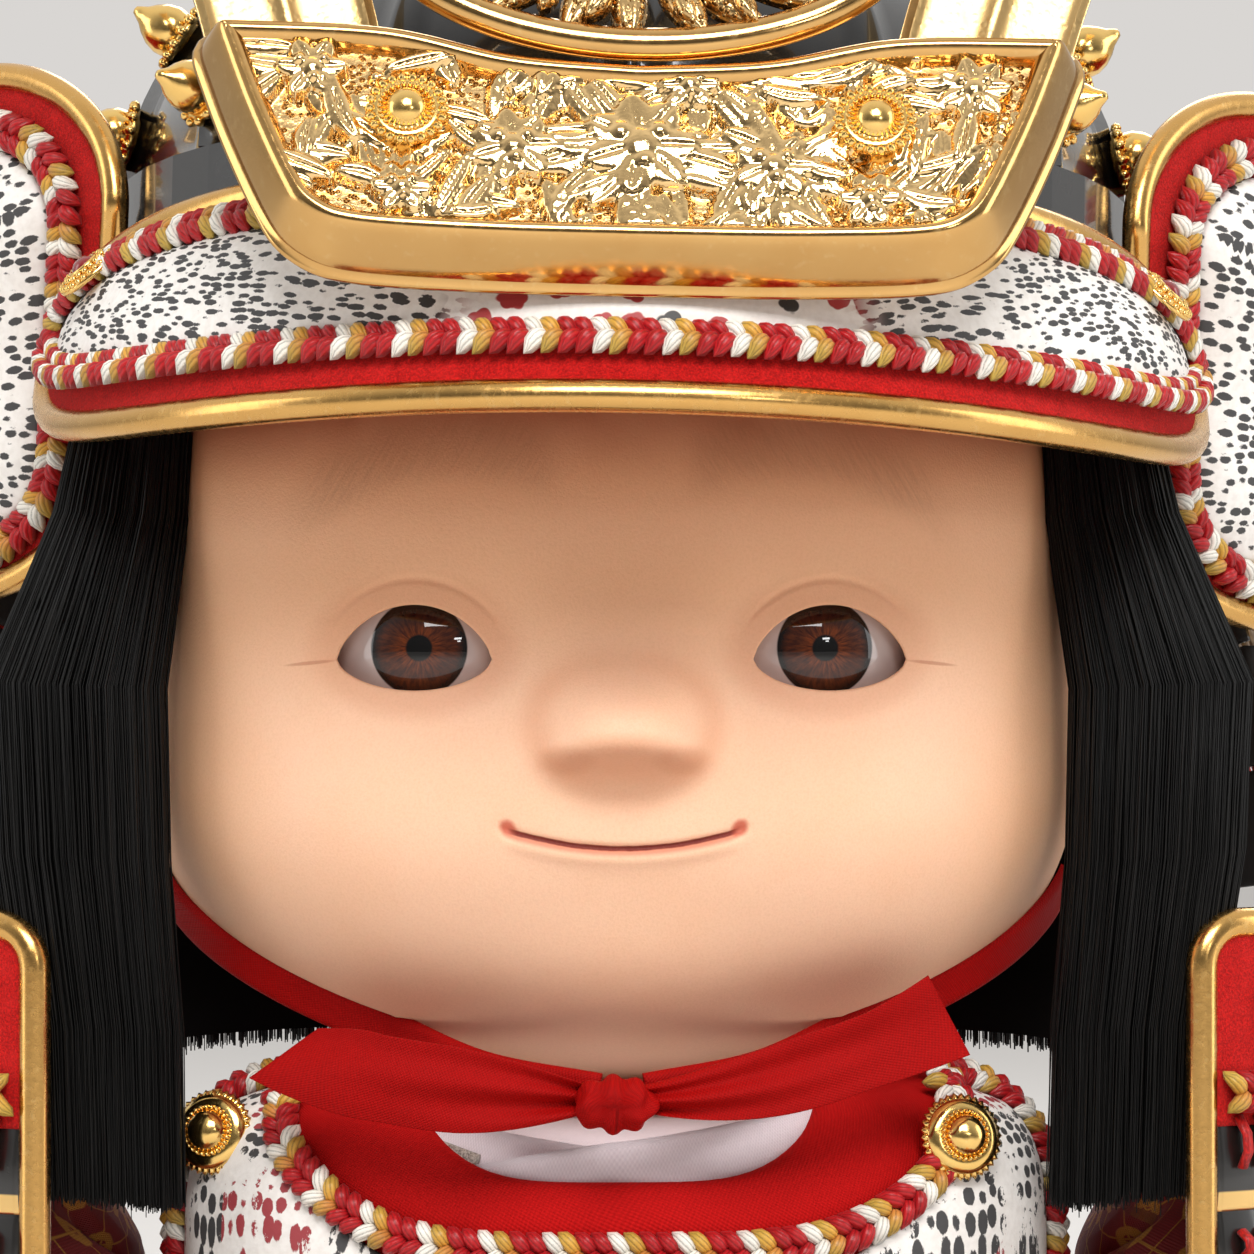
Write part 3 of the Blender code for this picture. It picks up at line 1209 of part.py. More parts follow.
def make_chin_cord():
    """The helmet's woven red cord under the jaw, tied in a flat bow below the chin."""
    knot = Vector((0.0, -0.0318, CHIN_Z + KNOT_ABOVE_CHIN))
    for side, word in ((1, "left"), (-1, "right")):
        path, normals = [], []
        for i in range(9):
            share = i / 8
            theta = math.radians(86.0 - 44.0 * share) * side
            psi = math.radians(-20.0 - 33.0 * share)
            lift = GAP * 2.0 + RIBBON_THICKNESS / 2.0
            path.append(head_point(theta, psi, lift))
            normals.append(head_point(theta, psi, lift + 0.004) - path[-1])
        last = path[-1]
        end = knot + Vector((side * (KNOT_RADIUS + GAP * 4.0), 0.0, 0.0))
        for share in (0.35, 0.70, 1.0):
            path.append(last.lerp(end, share) + Vector((0.0, 0.0, -0.0012 * math.sin(math.pi * share))))
            normals.append(normals[8])
        section = [(a * RIBBON_WIDTH / 2.0, b * RIBBON_THICKNESS / 2.0) for a, b in circle(1.0, 8)]
        sweep("chin_cord_" + word, path, normals, section, "red_silk", ends=0.8)
    rings = []
    for share in (-1.0, -0.6, 0.0, 0.6, 1.0):
        radius = KNOT_RADIUS * (1.0 - 0.45 * share * share)
        ring = [knot + Vector((share * KNOT_RADIUS, radius * a, radius * 1.1 * b)) for a, b in circle(1.0, 10)]
        rings.append(ring)
    loft("bow_knot", rings, "red_silk")
    for side, word in ((1, "left"), (-1, "right")):
        make_bow_loop(side, word, knot)


def make_bow_loop(side, word, knot):
    """One loop of the bow, a folded flat ribbon that stands out sideways and rises."""
    start = KNOT_RADIUS + GAP

    def surface(along, across):
        x = start + BOW_REACH * along
        half = BOW_WIDTH / 2.0 * (0.42 + 0.58 * math.sin(min(along * 1.5, 1.0) * math.pi / 2.0))
        rise = 0.0005 + 0.0030 * max(along, 0.0) ** 1.6
        slant = 0.0022 * max(along - 0.8, 0.0) / 0.2
        y = -0.0022 * math.sin(math.pi * along) + 0.0042 * along**2
        return knot + Vector((side * (x + across * slant), y - 0.0016 - across * 0.0010, rise + across * half))

    place = with_offset(surface)
    columns = spread(0.0, 1.0, 8)
    rows = (-1.0, -0.4, 0.4, 1.0)
    half = RIBBON_THICKNESS * 0.8
    sheet("bow_loop_" + word, place, columns, rows, -half, half, "red_silk")


# Arms and shoulder guards


def limb(name, centres, radii, look, sides=12, floor=None, squash=1.0):
    """A stuffed limb: round rings across a bent line, flattened where it meets a floor."""
    rings = []
    for i, (centre, radius) in enumerate(zip(centres, radii)):
        before, after = centres[max(i - 1, 0)], centres[min(i + 1, len(centres) - 1)]
        along = (Vector(after) - Vector(before)).normalized()
        side = along.cross(Vector((0.0, 0.0, 1.0)))
        side = side.normalized() if side.length > 0.05 else Vector((1.0, 0.0, 0.0))
        up = side.cross(along).normalized()
        ring = [Vector(centre) + side * a + up * b * squash for a, b in circle(radius, sides)]
        if floor is not None:
            ring = [Vector((p.x, p.y, max(p.z, floor))) for p in ring]
        rings.append(ring)
    return loft(name, rings, look)


def make_arms():
    """Brocade sleeves bent forward to the lap, with closed hands resting on the thighs."""
    for side, word in ((1, "left"), (-1, "right")):
        shoulder = Vector((side * 0.0500, 0.0020, 0.0820))
        elbow = Vector((side * 0.0600, -0.0050, 0.0495))
        wrist = Vector((side * 0.0460, -0.0420, 0.0430))
        centres = [
            shoulder + Vector((-side * 0.0042, 0.0, 0.0040)),
            shoulder,
            shoulder.lerp(elbow, 0.55),
            elbow,
            elbow.lerp(wrist, 0.40),
            wrist,
        ]
        radii = [
            SLEEVE_SHOULDER_RADIUS * 0.6,
            SLEEVE_SHOULDER_RADIUS,
            SLEEVE_ELBOW_RADIUS,
            SLEEVE_ELBOW_RADIUS,
            SLEEVE_ELBOW_RADIUS * 0.95,
            CUFF_RADIUS,
        ]
        limb("sleeve_" + word, centres, radii, "brocade")
        forward = (wrist - elbow.lerp(wrist, 0.4)).normalized()
        start = wrist + forward * GAP * 2.0
        hand = [start + forward * d for d in (0.0, 0.0040, 0.0090, 0.0135, 0.0160)]
        sizes = [HAND_RADIUS * s for s in (0.62, 0.86, 1.0, 0.84, 0.45)]
        limb("hand_" + word, hand, sizes, "skin", 12, None, 0.86)


def sode_frame(side):
    """The shoulder guard's own frame: X along its width outwards, Y inwards, Z up."""
    cosine, sine = math.cos(SODE_TURN), math.sin(SODE_TURN)
    out = Vector((side * cosine, sine, 0.0))
    back = Vector((-side * sine, cosine, 0.0))
    frame = Matrix.Identity(4)
    frame.col[0].xyz, frame.col[1].xyz, frame.col[2].xyz = out, back, (0.0, 0.0, 1.0)
    return Matrix.Translation((side * SODE_CENTRE[0], SODE_CENTRE[1], SODE_TOP_Z)) @ frame


def sode_surface(frame, mirrored):
    """place(across, down, offset) on the shoulder guard's bulged face, offset outwards."""

    def place(across, down, offset):
        share = across / (SODE_WIDTH / 2.0)
        y = -SODE_BULGE * (1.0 - share * share) - offset
        return frame @ Vector((across, y, -down))

    return place


def make_shoulder_guards():
    """Large laced shoulder guards: a felted top board and lames below it, in a raised gilt edge."""
    half = SODE_WIDTH / 2.0
    for side, word in ((1, "left"), (-1, "right")):
        place = sode_surface(sode_frame(side), side < 0)
        rows, offsets = [], []
        top_board = SODE_HEIGHT * 0.36
        pitch = (SODE_HEIGHT - top_board) / SODE_LAMES
        marks = [(0.0, 0.0), (0.0022, 0.0), (top_board, 0.0)]
        for i in range(SODE_LAMES):
            low = top_board + pitch * (i + 1)
            marks += [(low - pitch * 0.96, 0.0009), (low, 0.0001)]
        columns = spread(-half, half, 7)
        corner = SODE_RIM_RADIUS * 2.5

        def board(across, index, offset, marks=marks, place=place, corner=corner):
            down, step = marks[int(index)]
            inset = corner * max(abs(across) / half - 0.70, 0.0) / 0.30
            down = max(down, inset * inset / corner)
            return place(across, down, offset + (step if offset > -SODE_THICKNESS * 0.5 else 0.0))

        made = sheet(
            "shoulder_guard_" + word, board, columns, list(range(len(marks))), -SODE_THICKNESS, 0.0, "red_felt"
        )
        border = [(x, 0.0) for x in spread(-half + corner, half - corner, 7)]
        border += [(half - corner * 0.3, corner * 0.3), (half, corner)]
        border += [(half, d) for d in spread(SODE_HEIGHT * 0.25, SODE_HEIGHT, 5)]
        border += [(x, SODE_HEIGHT) for x in spread(half * 0.7, -half * 0.7, 6)]
        border += [(-half, d) for d in spread(SODE_HEIGHT, SODE_HEIGHT * 0.25, 5)]
        border += [(-half, corner), (-half + corner * 0.3, corner * 0.3)]
        path = [place(x, d, -SODE_THICKNESS / 2.0) for x, d in border]
        normals = [place(x, d, 0.01) - place(x, d, 0.0) for x, d in border]
        rim = sweep("shoulder_rim", path, normals, circle(SODE_RIM_RADIUS, 6), "gilt", True)
        boolean(made, rim, "UNION")


# Legs and base


def make_legs():
    """Trousers over crossed legs: a seat, two padded legs, and fur boots that meet in front."""
    floor = BASE_THICKNESS + GAP
    hip_rings = []
    for z, grow in ((floor, -0.002), (floor + 0.006, 0.0), (HIP_TOP_Z - 0.006, 0.0), (HIP_TOP_Z, -0.003)):
        ring = []
        for a, b in circle(1.0, 24):
            ring.append(Vector(((HIP_HALF_WIDTH + grow) * a, (HIP_HALF_DEPTH + grow) * b, z)))
        hip_rings.append(ring)
    loft("trouser_seat", hip_rings, "brocade")
    for side, word in ((1, "left"), (-1, "right")):
        knee = Vector((side * KNEE_POINT[0], KNEE_POINT[1], floor + KNEE_RADIUS * 0.86))
        ankle = Vector((side * ANKLE_POINT[0], ANKLE_POINT[1], floor + ANKLE_RADIUS * 0.86))
        hip = Vector((side * 0.0200, -0.0020, floor + THIGH_RADIUS * 0.80))
        centres = [
            hip,
            hip.lerp(knee, 0.5),
            knee + Vector((-side * 0.006, 0.002, 0.0)),
            knee + Vector((side * 0.003, -0.006, 0.0)),
            knee.lerp(ankle, 0.35) + Vector((0.0, -0.004, 0.0)),
            knee.lerp(ankle, 0.75),
            ankle,
        ]
        radii = [
            THIGH_RADIUS * 0.8,
            THIGH_RADIUS,
            KNEE_RADIUS,
            KNEE_RADIUS * 0.94,
            KNEE_RADIUS * 0.88,
            ANKLE_RADIUS * 1.15,
            ANKLE_RADIUS * 0.95,
        ]
        leg = limb("trouser_leg_" + word, centres, radii, "brocade", 14, floor)
        cutter_rings = []
        for z in (-0.01, HIP_TOP_Z + 0.02):
            ring = []
            for a, b in circle(1.0, 24):
                ring.append(Vector(((HIP_HALF_WIDTH + GAP * 3) * a, (HIP_HALF_DEPTH + GAP * 3) * b, z)))
            cutter_rings.append(ring)
        boolean(leg, loft("cut_seat_" + word, cutter_rings, "brocade"))
        toe = Vector((side * (GAP * 2.0 + 0.0035), ANKLE_POINT[1] - 0.0075, floor + BOOT_RADIUS * 0.80))
        along = (centres[-1] - centres[-2]).normalized()
        heel = ankle + along * GAP * 2.0
        bend = ankle + along * 0.0050
        centres = [heel, bend, bend.lerp(toe, 0.40), bend.lerp(toe, 0.80), toe]
        radii = [BOOT_RADIUS * s for s in (0.90, 1.05, 1.0, 0.86, 0.50)]
        boot = limb("boot_" + word, centres, radii, "fur", 12, floor)
        wall = [
            [Vector((side * x, y, z)) for y, z in ((-0.09, -0.01), (-0.03, -0.01), (-0.03, 0.05), (-0.09, 0.05))]
            for x in (-0.03, GAP * 0.6)
        ]
        boolean(boot, loft("cut_middle_" + word, wall, "fur"))


def make_base():
    """The thin wooden board that closes the doll underneath and keeps it upright."""
    rings = []
    for z in (0.0, BASE_THICKNESS):
        ring = []
        for a, b in circle(1.0, 40):
            ring.append(Vector((BASE_HALF_WIDTH * a, BASE_HALF_DEPTH * b - BASE_FORWARD, z)))
        rings.append(ring)
    loft("base_board", rings, "wood")


clear_scene()
make_base()
make_legs()
make_body()
make_back_bow()
make_arms()
make_shoulder_guards()
make_head()
make_hair()
make_chin_cord()
make_band_and_lining()
make_bowl()
make_visor()
make_front_plate()
make_crest()
make_horns()
make_turnbacks()
make_neck_guard()
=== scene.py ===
"""A seated child samurai doll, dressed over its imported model. Metres, +Z up, the doll faces -Y."""
import math
import bpy
import numpy as np
from mathutils import Matrix, Vector


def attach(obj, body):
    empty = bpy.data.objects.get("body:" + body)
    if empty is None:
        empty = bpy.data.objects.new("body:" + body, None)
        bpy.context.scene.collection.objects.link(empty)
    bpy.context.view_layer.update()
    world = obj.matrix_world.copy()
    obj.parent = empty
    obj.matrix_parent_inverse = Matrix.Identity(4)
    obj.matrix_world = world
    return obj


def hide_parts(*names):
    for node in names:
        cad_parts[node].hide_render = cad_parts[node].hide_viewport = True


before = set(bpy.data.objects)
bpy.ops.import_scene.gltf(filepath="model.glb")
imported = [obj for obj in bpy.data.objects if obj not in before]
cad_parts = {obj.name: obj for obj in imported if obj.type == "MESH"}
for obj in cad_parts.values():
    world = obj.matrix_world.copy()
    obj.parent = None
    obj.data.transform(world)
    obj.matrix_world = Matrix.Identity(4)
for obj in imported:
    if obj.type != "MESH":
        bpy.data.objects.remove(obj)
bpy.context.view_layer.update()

# Camera and studio. The photograph is taken from half a metre, level with the eyes and a little to
# the doll's right. One large soft lamp hangs above the front, weaker ones fill the sides and the back, and
# two small ones show as windows in the eyes.
scene = bpy.context.scene
scene.view_settings.view_transform = "Standard"
WALL_GREY = (0.694, 0.672, 0.651)


def aim(thing, eye, target):
    thing.location = eye
    thing.rotation_euler = (Vector(target) - Vector(eye)).to_track_quat("-Z", "Y").to_euler()


LOOK_AT = (0.0003, -0.036, 0.138)
CAMERA_AWAY, CAMERA_TURN, HALF_FIELD = 0.500, math.radians(-1.5), 0.0533
camera = bpy.data.objects.new("camera", bpy.data.cameras.new("camera"))
scene.collection.objects.link(camera)
camera.data.sensor_width = 36
camera.data.lens = 18 * CAMERA_AWAY / HALF_FIELD
camera.data.clip_start = 0.01
aim(camera, (LOOK_AT[0] + CAMERA_AWAY * math.sin(CAMERA_TURN),
             LOOK_AT[1] - CAMERA_AWAY * math.cos(CAMERA_TURN), LOOK_AT[2]), LOOK_AT)
scene.camera = camera


def softbox(name, place, size, watts, colour=(1, 1, 1)):
    lamp = bpy.data.objects.new(name, bpy.data.lights.new(name, "AREA"))
    lamp.data.shape = "RECTANGLE"
    lamp.data.size, lamp.data.size_y = size
    lamp.data.energy = watts
    lamp.data.color = colour
    scene.collection.objects.link(lamp)
    aim(lamp, place, (0, -0.02, 0.13))


softbox("lamp_top", (0.04, -0.80, 0.80), (0.62, 0.42), 10.0, (1, 0.985, 0.965))
softbox("lamp_left", (-1.05, -0.12, 0.34), (0.40, 0.80), 2.2)
softbox("lamp_right", (1.05, -0.12, 0.38), (0.40, 0.80), 2.6)
softbox("lamp_back", (0.25, 0.95, 0.85), (0.70, 0.40), 4.0)
softbox("lamp_window", (0.40, -0.86, 0.36), (0.14, 0.035), 0.35)
softbox("lamp_sill", (0.42, -0.86, 0.31), (0.06, 0.02), 0.10)

world = bpy.data.worlds.new("studio")
scene.world = world
world.use_nodes = True


class Shade:
    """One value or colour inside a finish. A sum written on it adds the finish's nodes."""

    def __init__(self, finish, socket):
        self.finish = finish
        self.socket = socket

    def _sum(self, operation, *terms):
        return self.finish.node("Math", {"operation": operation}, dict(enumerate(terms)))

    def __add__(self, other):
        return self._sum("ADD", self, other)

    def __radd__(self, other):
        return self._sum("ADD", other, self)

    def __sub__(self, other):
        return self._sum("SUBTRACT", self, other)

    def __rsub__(self, other):
        return self._sum("SUBTRACT", other, self)

    def __mul__(self, other):
        return self._sum("MULTIPLY", self, other)

    def __rmul__(self, other):
        return self._sum("MULTIPLY", other, self)

    def __truediv__(self, other):
        return self._sum("DIVIDE", self, other)

    def __pow__(self, other):
        return self._sum("POWER", self, other)

    def __abs__(self):
        return self._sum("ABSOLUTE", self)

    def sine(self):
        return self._sum("SINE", self)

    def larger(self, other):
        return self._sum("MAXIMUM", self, other)

    def rise(self, low, high):
        """0 below low, 1 above high and smooth between."""
        return self.finish.node("MapRange", {"interpolation_type": "SMOOTHSTEP"},
                                {"Value": self, "From Min": low, "From Max": high})

    def fall(self, low, high):
        return 1 - self.rise(low, high)


class Finish:
    """A material of the doll: plain values on its shader, and nodes where the surface changes."""

    def __init__(self, name, colour=(0.8, 0.8, 0.8), tree=None, **plain):
        if tree is None:
            self.material = bpy.data.materials.new(name)
            self.material.use_nodes = True
            tree = self.material.node_tree
            self.shader = tree.nodes["Principled BSDF"]
            self.shader.inputs["Base Color"].default_value = (*colour, 1)
            for socket, value in plain.items():
                self.shader.inputs[socket.replace("_", " ")].default_value = value
        self.tree = tree

    def node(self, kind, settings=None, inputs=None, output=0):
        made = self.tree.nodes.new("ShaderNode" + kind)
        for key, value in (settings or {}).items():
            setattr(made, key, value)
        for key, value in (inputs or {}).items():
            socket = made.inputs[key]
            if isinstance(value, Shade):
                self.tree.links.new(value.socket, socket)
            elif socket.type == "RGBA" and len(value) == 3:
                socket.default_value = (*value, 1)
            else:
                socket.default_value = value
        return Shade(self, made.outputs[output])

    def mix(self, share, low, high, way="MIX"):
        """From colour low to colour high by share."""
        return self.node("Mix", {"data_type": "RGBA", "blend_type": way}, {0: share, 6: low, 7: high}, 2)

    def place(self):
        return self.node("TexCoord", output=3)

    def axes(self, vector=None):
        vector = vector or self.place()
        return [self.node("SeparateXYZ", None, {0: vector}, axis) for axis in range(3)]

    def cloth_axes(self):
        """The piece's own flat measure, in centimetres."""
        return self.axes(self.node("UVMap", {"uv_map": "cut"}))[:2]

    def at(self, x, y, z=0.0):
        return self.node("CombineXYZ", None, {0: x, 1: y, 2: z})

    def noise(self, size, vector=None, detail=2.0, rough=0.5, output=0):
        return self.node("TexNoise", None, {"Vector": vector or self.place(), "Scale": 1 / size,
                                            "Detail": detail, "Roughness": rough}, output)

    def cells(self, size, vector=None, spread=1.0, feature="F1", output=0):
        return self.node("TexVoronoi", {"feature": feature},
                         {"Vector": vector or self.place(), "Scale": 1 / size, "Randomness": spread}, output)

    def show(self, socket, shade):
        self.tree.links.new(shade.socket, self.shader.inputs[socket])
        return self

    def relief(self, height, depth, strength=1.0):
        bump = self.node("Bump", None, {"Strength": strength, "Distance": depth, "Height": height})
        return self.show("Normal", bump)


studio = Finish("studio", tree=world.node_tree)
backdrop = world.node_tree.nodes["Background"]
outward = studio.axes(studio.node("TexCoord", output=0))
seen = studio.node("LightPath", output=0)
room = 0.30 + 0.62 * outward[2].rise(-0.35, 0.75)
room = room * (0.22 + 0.78 * outward[1].rise(-0.90, 0.15))
lit = studio.mix(1.0, (1.0, 0.985, 0.965), studio.at(room, room, room), "MULTIPLY")
studio.tree.links.new(studio.mix(seen, lit, WALL_GREY).socket, backdrop.inputs["Color"])


# Head. A carved and polished head in flesh-coloured gofun over wood, matt, with cut lids, a soft nose,
# a thin painted mouth and faint brushed eyebrows. Its neck peg stays hidden in the collar.
def paint(red, green, blue):
    """A colour read from 0 to 255 as a shader wants it."""
    return tuple(((c / 255 + 0.055) / 1.055) ** 2.4 if c > 10 else c / 3294.6 for c in (red, green, blue))


def net(rows, columns, around=False, start=0):
    """The faces between rows of points, each row joined to the next."""
    r, c = np.meshgrid(np.arange(rows - 1), np.arange(columns if around else columns - 1), indexing="ij")
    r, c = r.ravel(), c.ravel()
    d = (c + 1) % columns
    corners = [r * columns + c, r * columns + d, (r + 1) * columns + d, (r + 1) * columns + c]
    return start + np.stack(corners, 1)


def wear(node, finish):
    """Gives a node that the scene keeps its material."""
    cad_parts[node].data.materials.clear()
    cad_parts[node].data.materials.append(finish.material)


def volume(points, faces):
    """Six times the signed volume inside some faces: below zero where they are inside out."""
    total = 0.0
    for run in faces:
        a = points[run[:, 0]]
        for k in range(1, run.shape[1] - 1):
            total += np.einsum("ij,ij->", a, np.cross(points[run[:, k]], points[run[:, k + 1]]))
    return total


def lay(name, points, faces, finish, stands_for=(), cut=None, tint=None, slot=None):
    """Makes one piece of the doll that rides on its root. cut is its flat measure, tint its own colours."""
    points = np.asarray(points, float).reshape(-1, 3)
    faces = [np.asarray(run) for run in (faces if isinstance(faces, list) else [faces])]
    if volume(points - points.mean(0), faces) < 0:
        faces = [run[:, ::-1] for run in faces]
    sizes = np.concatenate([np.full(len(run), run.shape[1]) for run in faces])
    corners = np.concatenate([run.ravel() for run in faces])
    mesh = bpy.data.meshes.new(name)
    mesh.vertices.add(len(points))
    mesh.vertices.foreach_set("co", points.astype(np.float32).ravel())
    mesh.loops.add(len(corners))
    mesh.loops.foreach_set("vertex_index", corners.astype(np.int32))
    mesh.polygons.add(len(sizes))
    mesh.polygons.foreach_set("loop_start", (np.cumsum(sizes) - sizes).astype(np.int32))
    mesh.polygons.foreach_set("loop_total", sizes.astype(np.int32))
    mesh.polygons.foreach_set("use_smooth", np.ones(len(sizes), bool))
    mesh.update(calc_edges=True)
    mesh.validate()
    if cut is not None:
        spread = np.asarray(cut, np.float32).reshape(-1, 2)[corners]
        mesh.uv_layers.new(name="cut").data.foreach_set("uv", spread.ravel())
    if tint is not None:
        dyed = np.ones((len(points), 4), np.float32)
        dyed[:, :3] = tint
        mesh.color_attributes.new("tint", "FLOAT_COLOR", "POINT").data.foreach_set("color", dyed.ravel())
    piece = bpy.data.objects.new(name, mesh)
    scene.collection.objects.link(piece)
    mesh.materials.append(finish.material)
    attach(piece, "root")
    if stands_for:
        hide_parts(*stands_for)
        slot = slot or stands_for[0]
    return piece


def swell(value, power):
    return np.sign(value) * np.abs(value) ** power


EYE_Z, CHEEK_Z, CHIN_DROP, CROWN_RISE = 0.138, 0.1253, 0.0281, 0.069
HEAD_HALF_WIDTH, FACE_DEPTH, HEAD_BACK = 0.0420, 0.0360, 0.0365
LID_X, LID_HALF, SLIT_Z = 0.0178, 0.0068, EYE_Z - 0.0028
LID_UP, LID_DOWN = 0.0049, 0.0028
MOUTH_HALF, MOUTH_Z, MOUTH_CURVE = 0.0098, EYE_Z - 0.0188, 0.0015


def head_section(z, grow=0.0):
    """Half width, front depth and back depth of the head at a height."""
    z = np.asarray(z, float)
    down = np.clip((CHEEK_Z - z) / (CHIN_DROP + grow), 0, 1) ** (2.15 / 2)
    up = np.clip((z - CHEEK_Z) / (CROWN_RISE + grow), 0, 1) ** 1.5
    low, high = np.sqrt(1 - down ** 2), np.sqrt(1 - up ** 2)
    below = z < CHEEK_Z
    width = (HEAD_HALF_WIDTH + grow) * np.where(below, low ** (2 / 2.15), high ** (2 / 2.2))
    front = (FACE_DEPTH + grow) * np.where(below, low ** (2 / 2.60), high ** (2 / 2.4))
    back = (HEAD_BACK + grow) * np.where(below, low, high) ** (2 / 2.2)
    return width, front, back


def face_relief(x, z):
    """How far the carving stands out at a point of the face."""
    def bump(height, cx, cz, sx, sz):
        return height * np.exp(-((np.abs(x) - cx) / sx) ** 2 - ((z - EYE_Z - cz) / sz) ** 2)
    lift = -(z - EYE_Z + 0.0092)
    slope = np.where(lift > 0, 0.0032, 0.0052)
    out = 0.0072 * np.exp(-np.abs(x / 0.0064) ** 2.7 - np.abs(lift / slope) ** 2.4)
    out = out + bump(0.0009, 0.0054, -0.0108, 0.0022, 0.0020) + bump(0.0022, 0.0215, -0.0170, 0.0120, 0.0110)
    out = out + bump(0.0016, 0.0, -0.0188, 0.0120, 0.0060) + bump(0.0012, 0.0, -0.0290, 0.0090, 0.0050)
    out = out + bump(-0.0010, 0.0174, -0.0004, 0.0095, 0.0065) + bump(-0.0011, 0.0108, -0.0014, 0.0044,
                                                                      0.0050)
    along = (np.abs(x) - LID_X) / LID_HALF
    crease = SLIT_Z + 0.0021 + LID_UP * 0.98 * np.maximum(1 - (along * 0.90) ** 2, 0) ** 0.7
    out = out - 0.00016 * np.exp(-((z - crease) / 0.00032) ** 2) * np.exp(-(along * 0.85) ** 6)
    line = z - MOUTH_Z - MOUTH_CURVE * (x / MOUTH_HALF) ** 2
    within = np.exp(-(x / MOUTH_HALF) ** 12)
    out = out - 0.00050 * within * np.exp(-(line / 0.00030) ** 2)
    out = out - 0.00050 * np.exp(-((np.abs(x) - MOUTH_HALF) / 0.0007) ** 2 - (line / 0.0006) ** 2)
    return out + 0.00035 * within * np.exp(-((line + 0.0010) / 0.0007) ** 2)


def head_points(turn, z, grow=0.0, carved=False):
    width, front, back = head_section(z, grow)
    x = width * swell(np.sin(turn), 2 / 2.25)
    facing = np.cos(turn)
    y = -np.where(facing > 0, front, back) * swell(facing, 2 / 2.25)
    if carved:
        y = y - face_relief(x, z) * np.clip(1.6 * facing, 0, 1)
    return np.stack(np.broadcast_arrays(x, y, z), -1)


def down_to(z, count):
    """Heights from z to the chin's lowest point, closer together as the skin turns under."""
    start = math.asin(((CHEEK_Z - z) / CHIN_DROP) ** (2.15 / 2))
    return CHEEK_Z - CHIN_DROP * np.sin(np.linspace(start, math.pi / 2, count)) ** (2 / 2.15)


steps = [down_to(0.105, 12)[::-1], np.arange(0.1056, 0.1176, 0.0009), np.arange(0.1178, 0.1215, 0.00016),
         np.arange(0.1217, 0.1298, 0.0005), np.linspace(0.1302, SLIT_Z, 24)]
low_rows = np.concatenate(steps)
start = math.asin(((0.171 - CHEEK_Z) / CROWN_RISE) ** 1.5)
high_rows = np.concatenate([np.linspace(SLIT_Z, 0.1460, 36), np.arange(0.1468, 0.171, 0.0012),
                            CHEEK_Z + CROWN_RISE * np.sin(np.linspace(start, math.pi / 2, 14)) ** (2 / 3)])
slit_width = float(head_section(SLIT_Z)[0])
corner_in, corner_out = (math.asin(((LID_X + s * LID_HALF) / slit_width) ** (2.25 / 2)) for s in (-1, 1))
half = np.concatenate([np.linspace(0, corner_in, 30)[:-1], np.linspace(corner_in, corner_out, 44)[:-1],
                       np.linspace(corner_out, math.pi / 2, 26)[:-1], np.linspace(math.pi / 2, math.pi, 12)])
turns = np.concatenate([-half[:0:-1], half[:-1]])
slit_x = head_points(turns, np.full(len(turns), SLIT_Z))[:, 0]
facing_front = np.abs(turns) < math.pi / 2
along = np.clip((np.abs(slit_x) - LID_X) / LID_HALF, -1, 1)
open_column = facing_front & (np.abs(along) < 0.9999)
round_off = np.where(facing_front, 1 - along ** 2, 0)
lid_up, lid_down = LID_UP * round_off ** 0.70, LID_DOWN * round_off ** 0.60


def opened(rows, lid, sign):
    """Rows of skin pushed away from the slit, so that it opens to the lid's edge."""
    z = np.repeat(rows[:, None], len(turns), 1)
    away = np.clip(np.abs(z - SLIT_Z) / 0.0125, 0, 1)
    moved = z + sign * lid[None, :] * (1 - away) ** 2.2
    x = head_points(turns[None, :], z)[..., 0]
    width, front, back = head_section(moved)
    x = np.clip(x, -width * 0.999999, width * 0.999999)
    shape = (1 - (np.abs(x) / np.maximum(width, 1e-9)) ** 2.25) ** (1 / 2.25)
    facing = np.cos(turns)[None, :]
    y = np.where(facing > 0, -front * shape - face_relief(x, moved) * np.clip(1.6 * facing, 0, 1),
                 back * shape)
    return np.stack([x, y, moved], -1)


low_skin, high_skin = opened(low_rows, lid_down, -1), opened(high_rows, lid_up, 1)
columns, low_count = len(turns), len(low_rows)
skin = np.concatenate([low_skin.reshape(-1, 3), high_skin.reshape(-1, 3)])
order = np.arange(len(skin))
first_high = low_count * columns
order[first_high:first_high + columns] = np.where(
    open_column, order[first_high:first_high + columns], order[first_high - columns:first_high])
skin_faces = [net(low_count, columns, True), net(len(high_rows), columns, True, first_high)]
skin_faces = [order[run] for run in skin_faces]
for side in (-1, 1):
    shown = np.where(open_column & (slit_x * side > 0))[0]
    ends = [shown[0] - 1, shown[-1] + 1]
    rim = np.concatenate([[first_high - columns + ends[0]], first_high - columns + shown,
                          [first_high - columns + ends[1]], (first_high + shown)[::-1]])
    middle = skin[rim].mean(0)
    last, start = rim, len(skin)
    for inward, deep in ((0.05, 0.00010), (0.00, 0.0006), (-0.02, 0.0030), (-0.3, 0.0045)):
        inner = skin[rim] + (middle - skin[rim]) * [inward * 0.5, 0, inward] + [0, deep, 0]
        new = np.arange(len(skin), len(skin) + len(rim))
        skin = np.concatenate([skin, inner])
        skin_faces.append(np.stack([last, np.roll(last, -1), np.roll(new, -1), new], 1))
        last = new

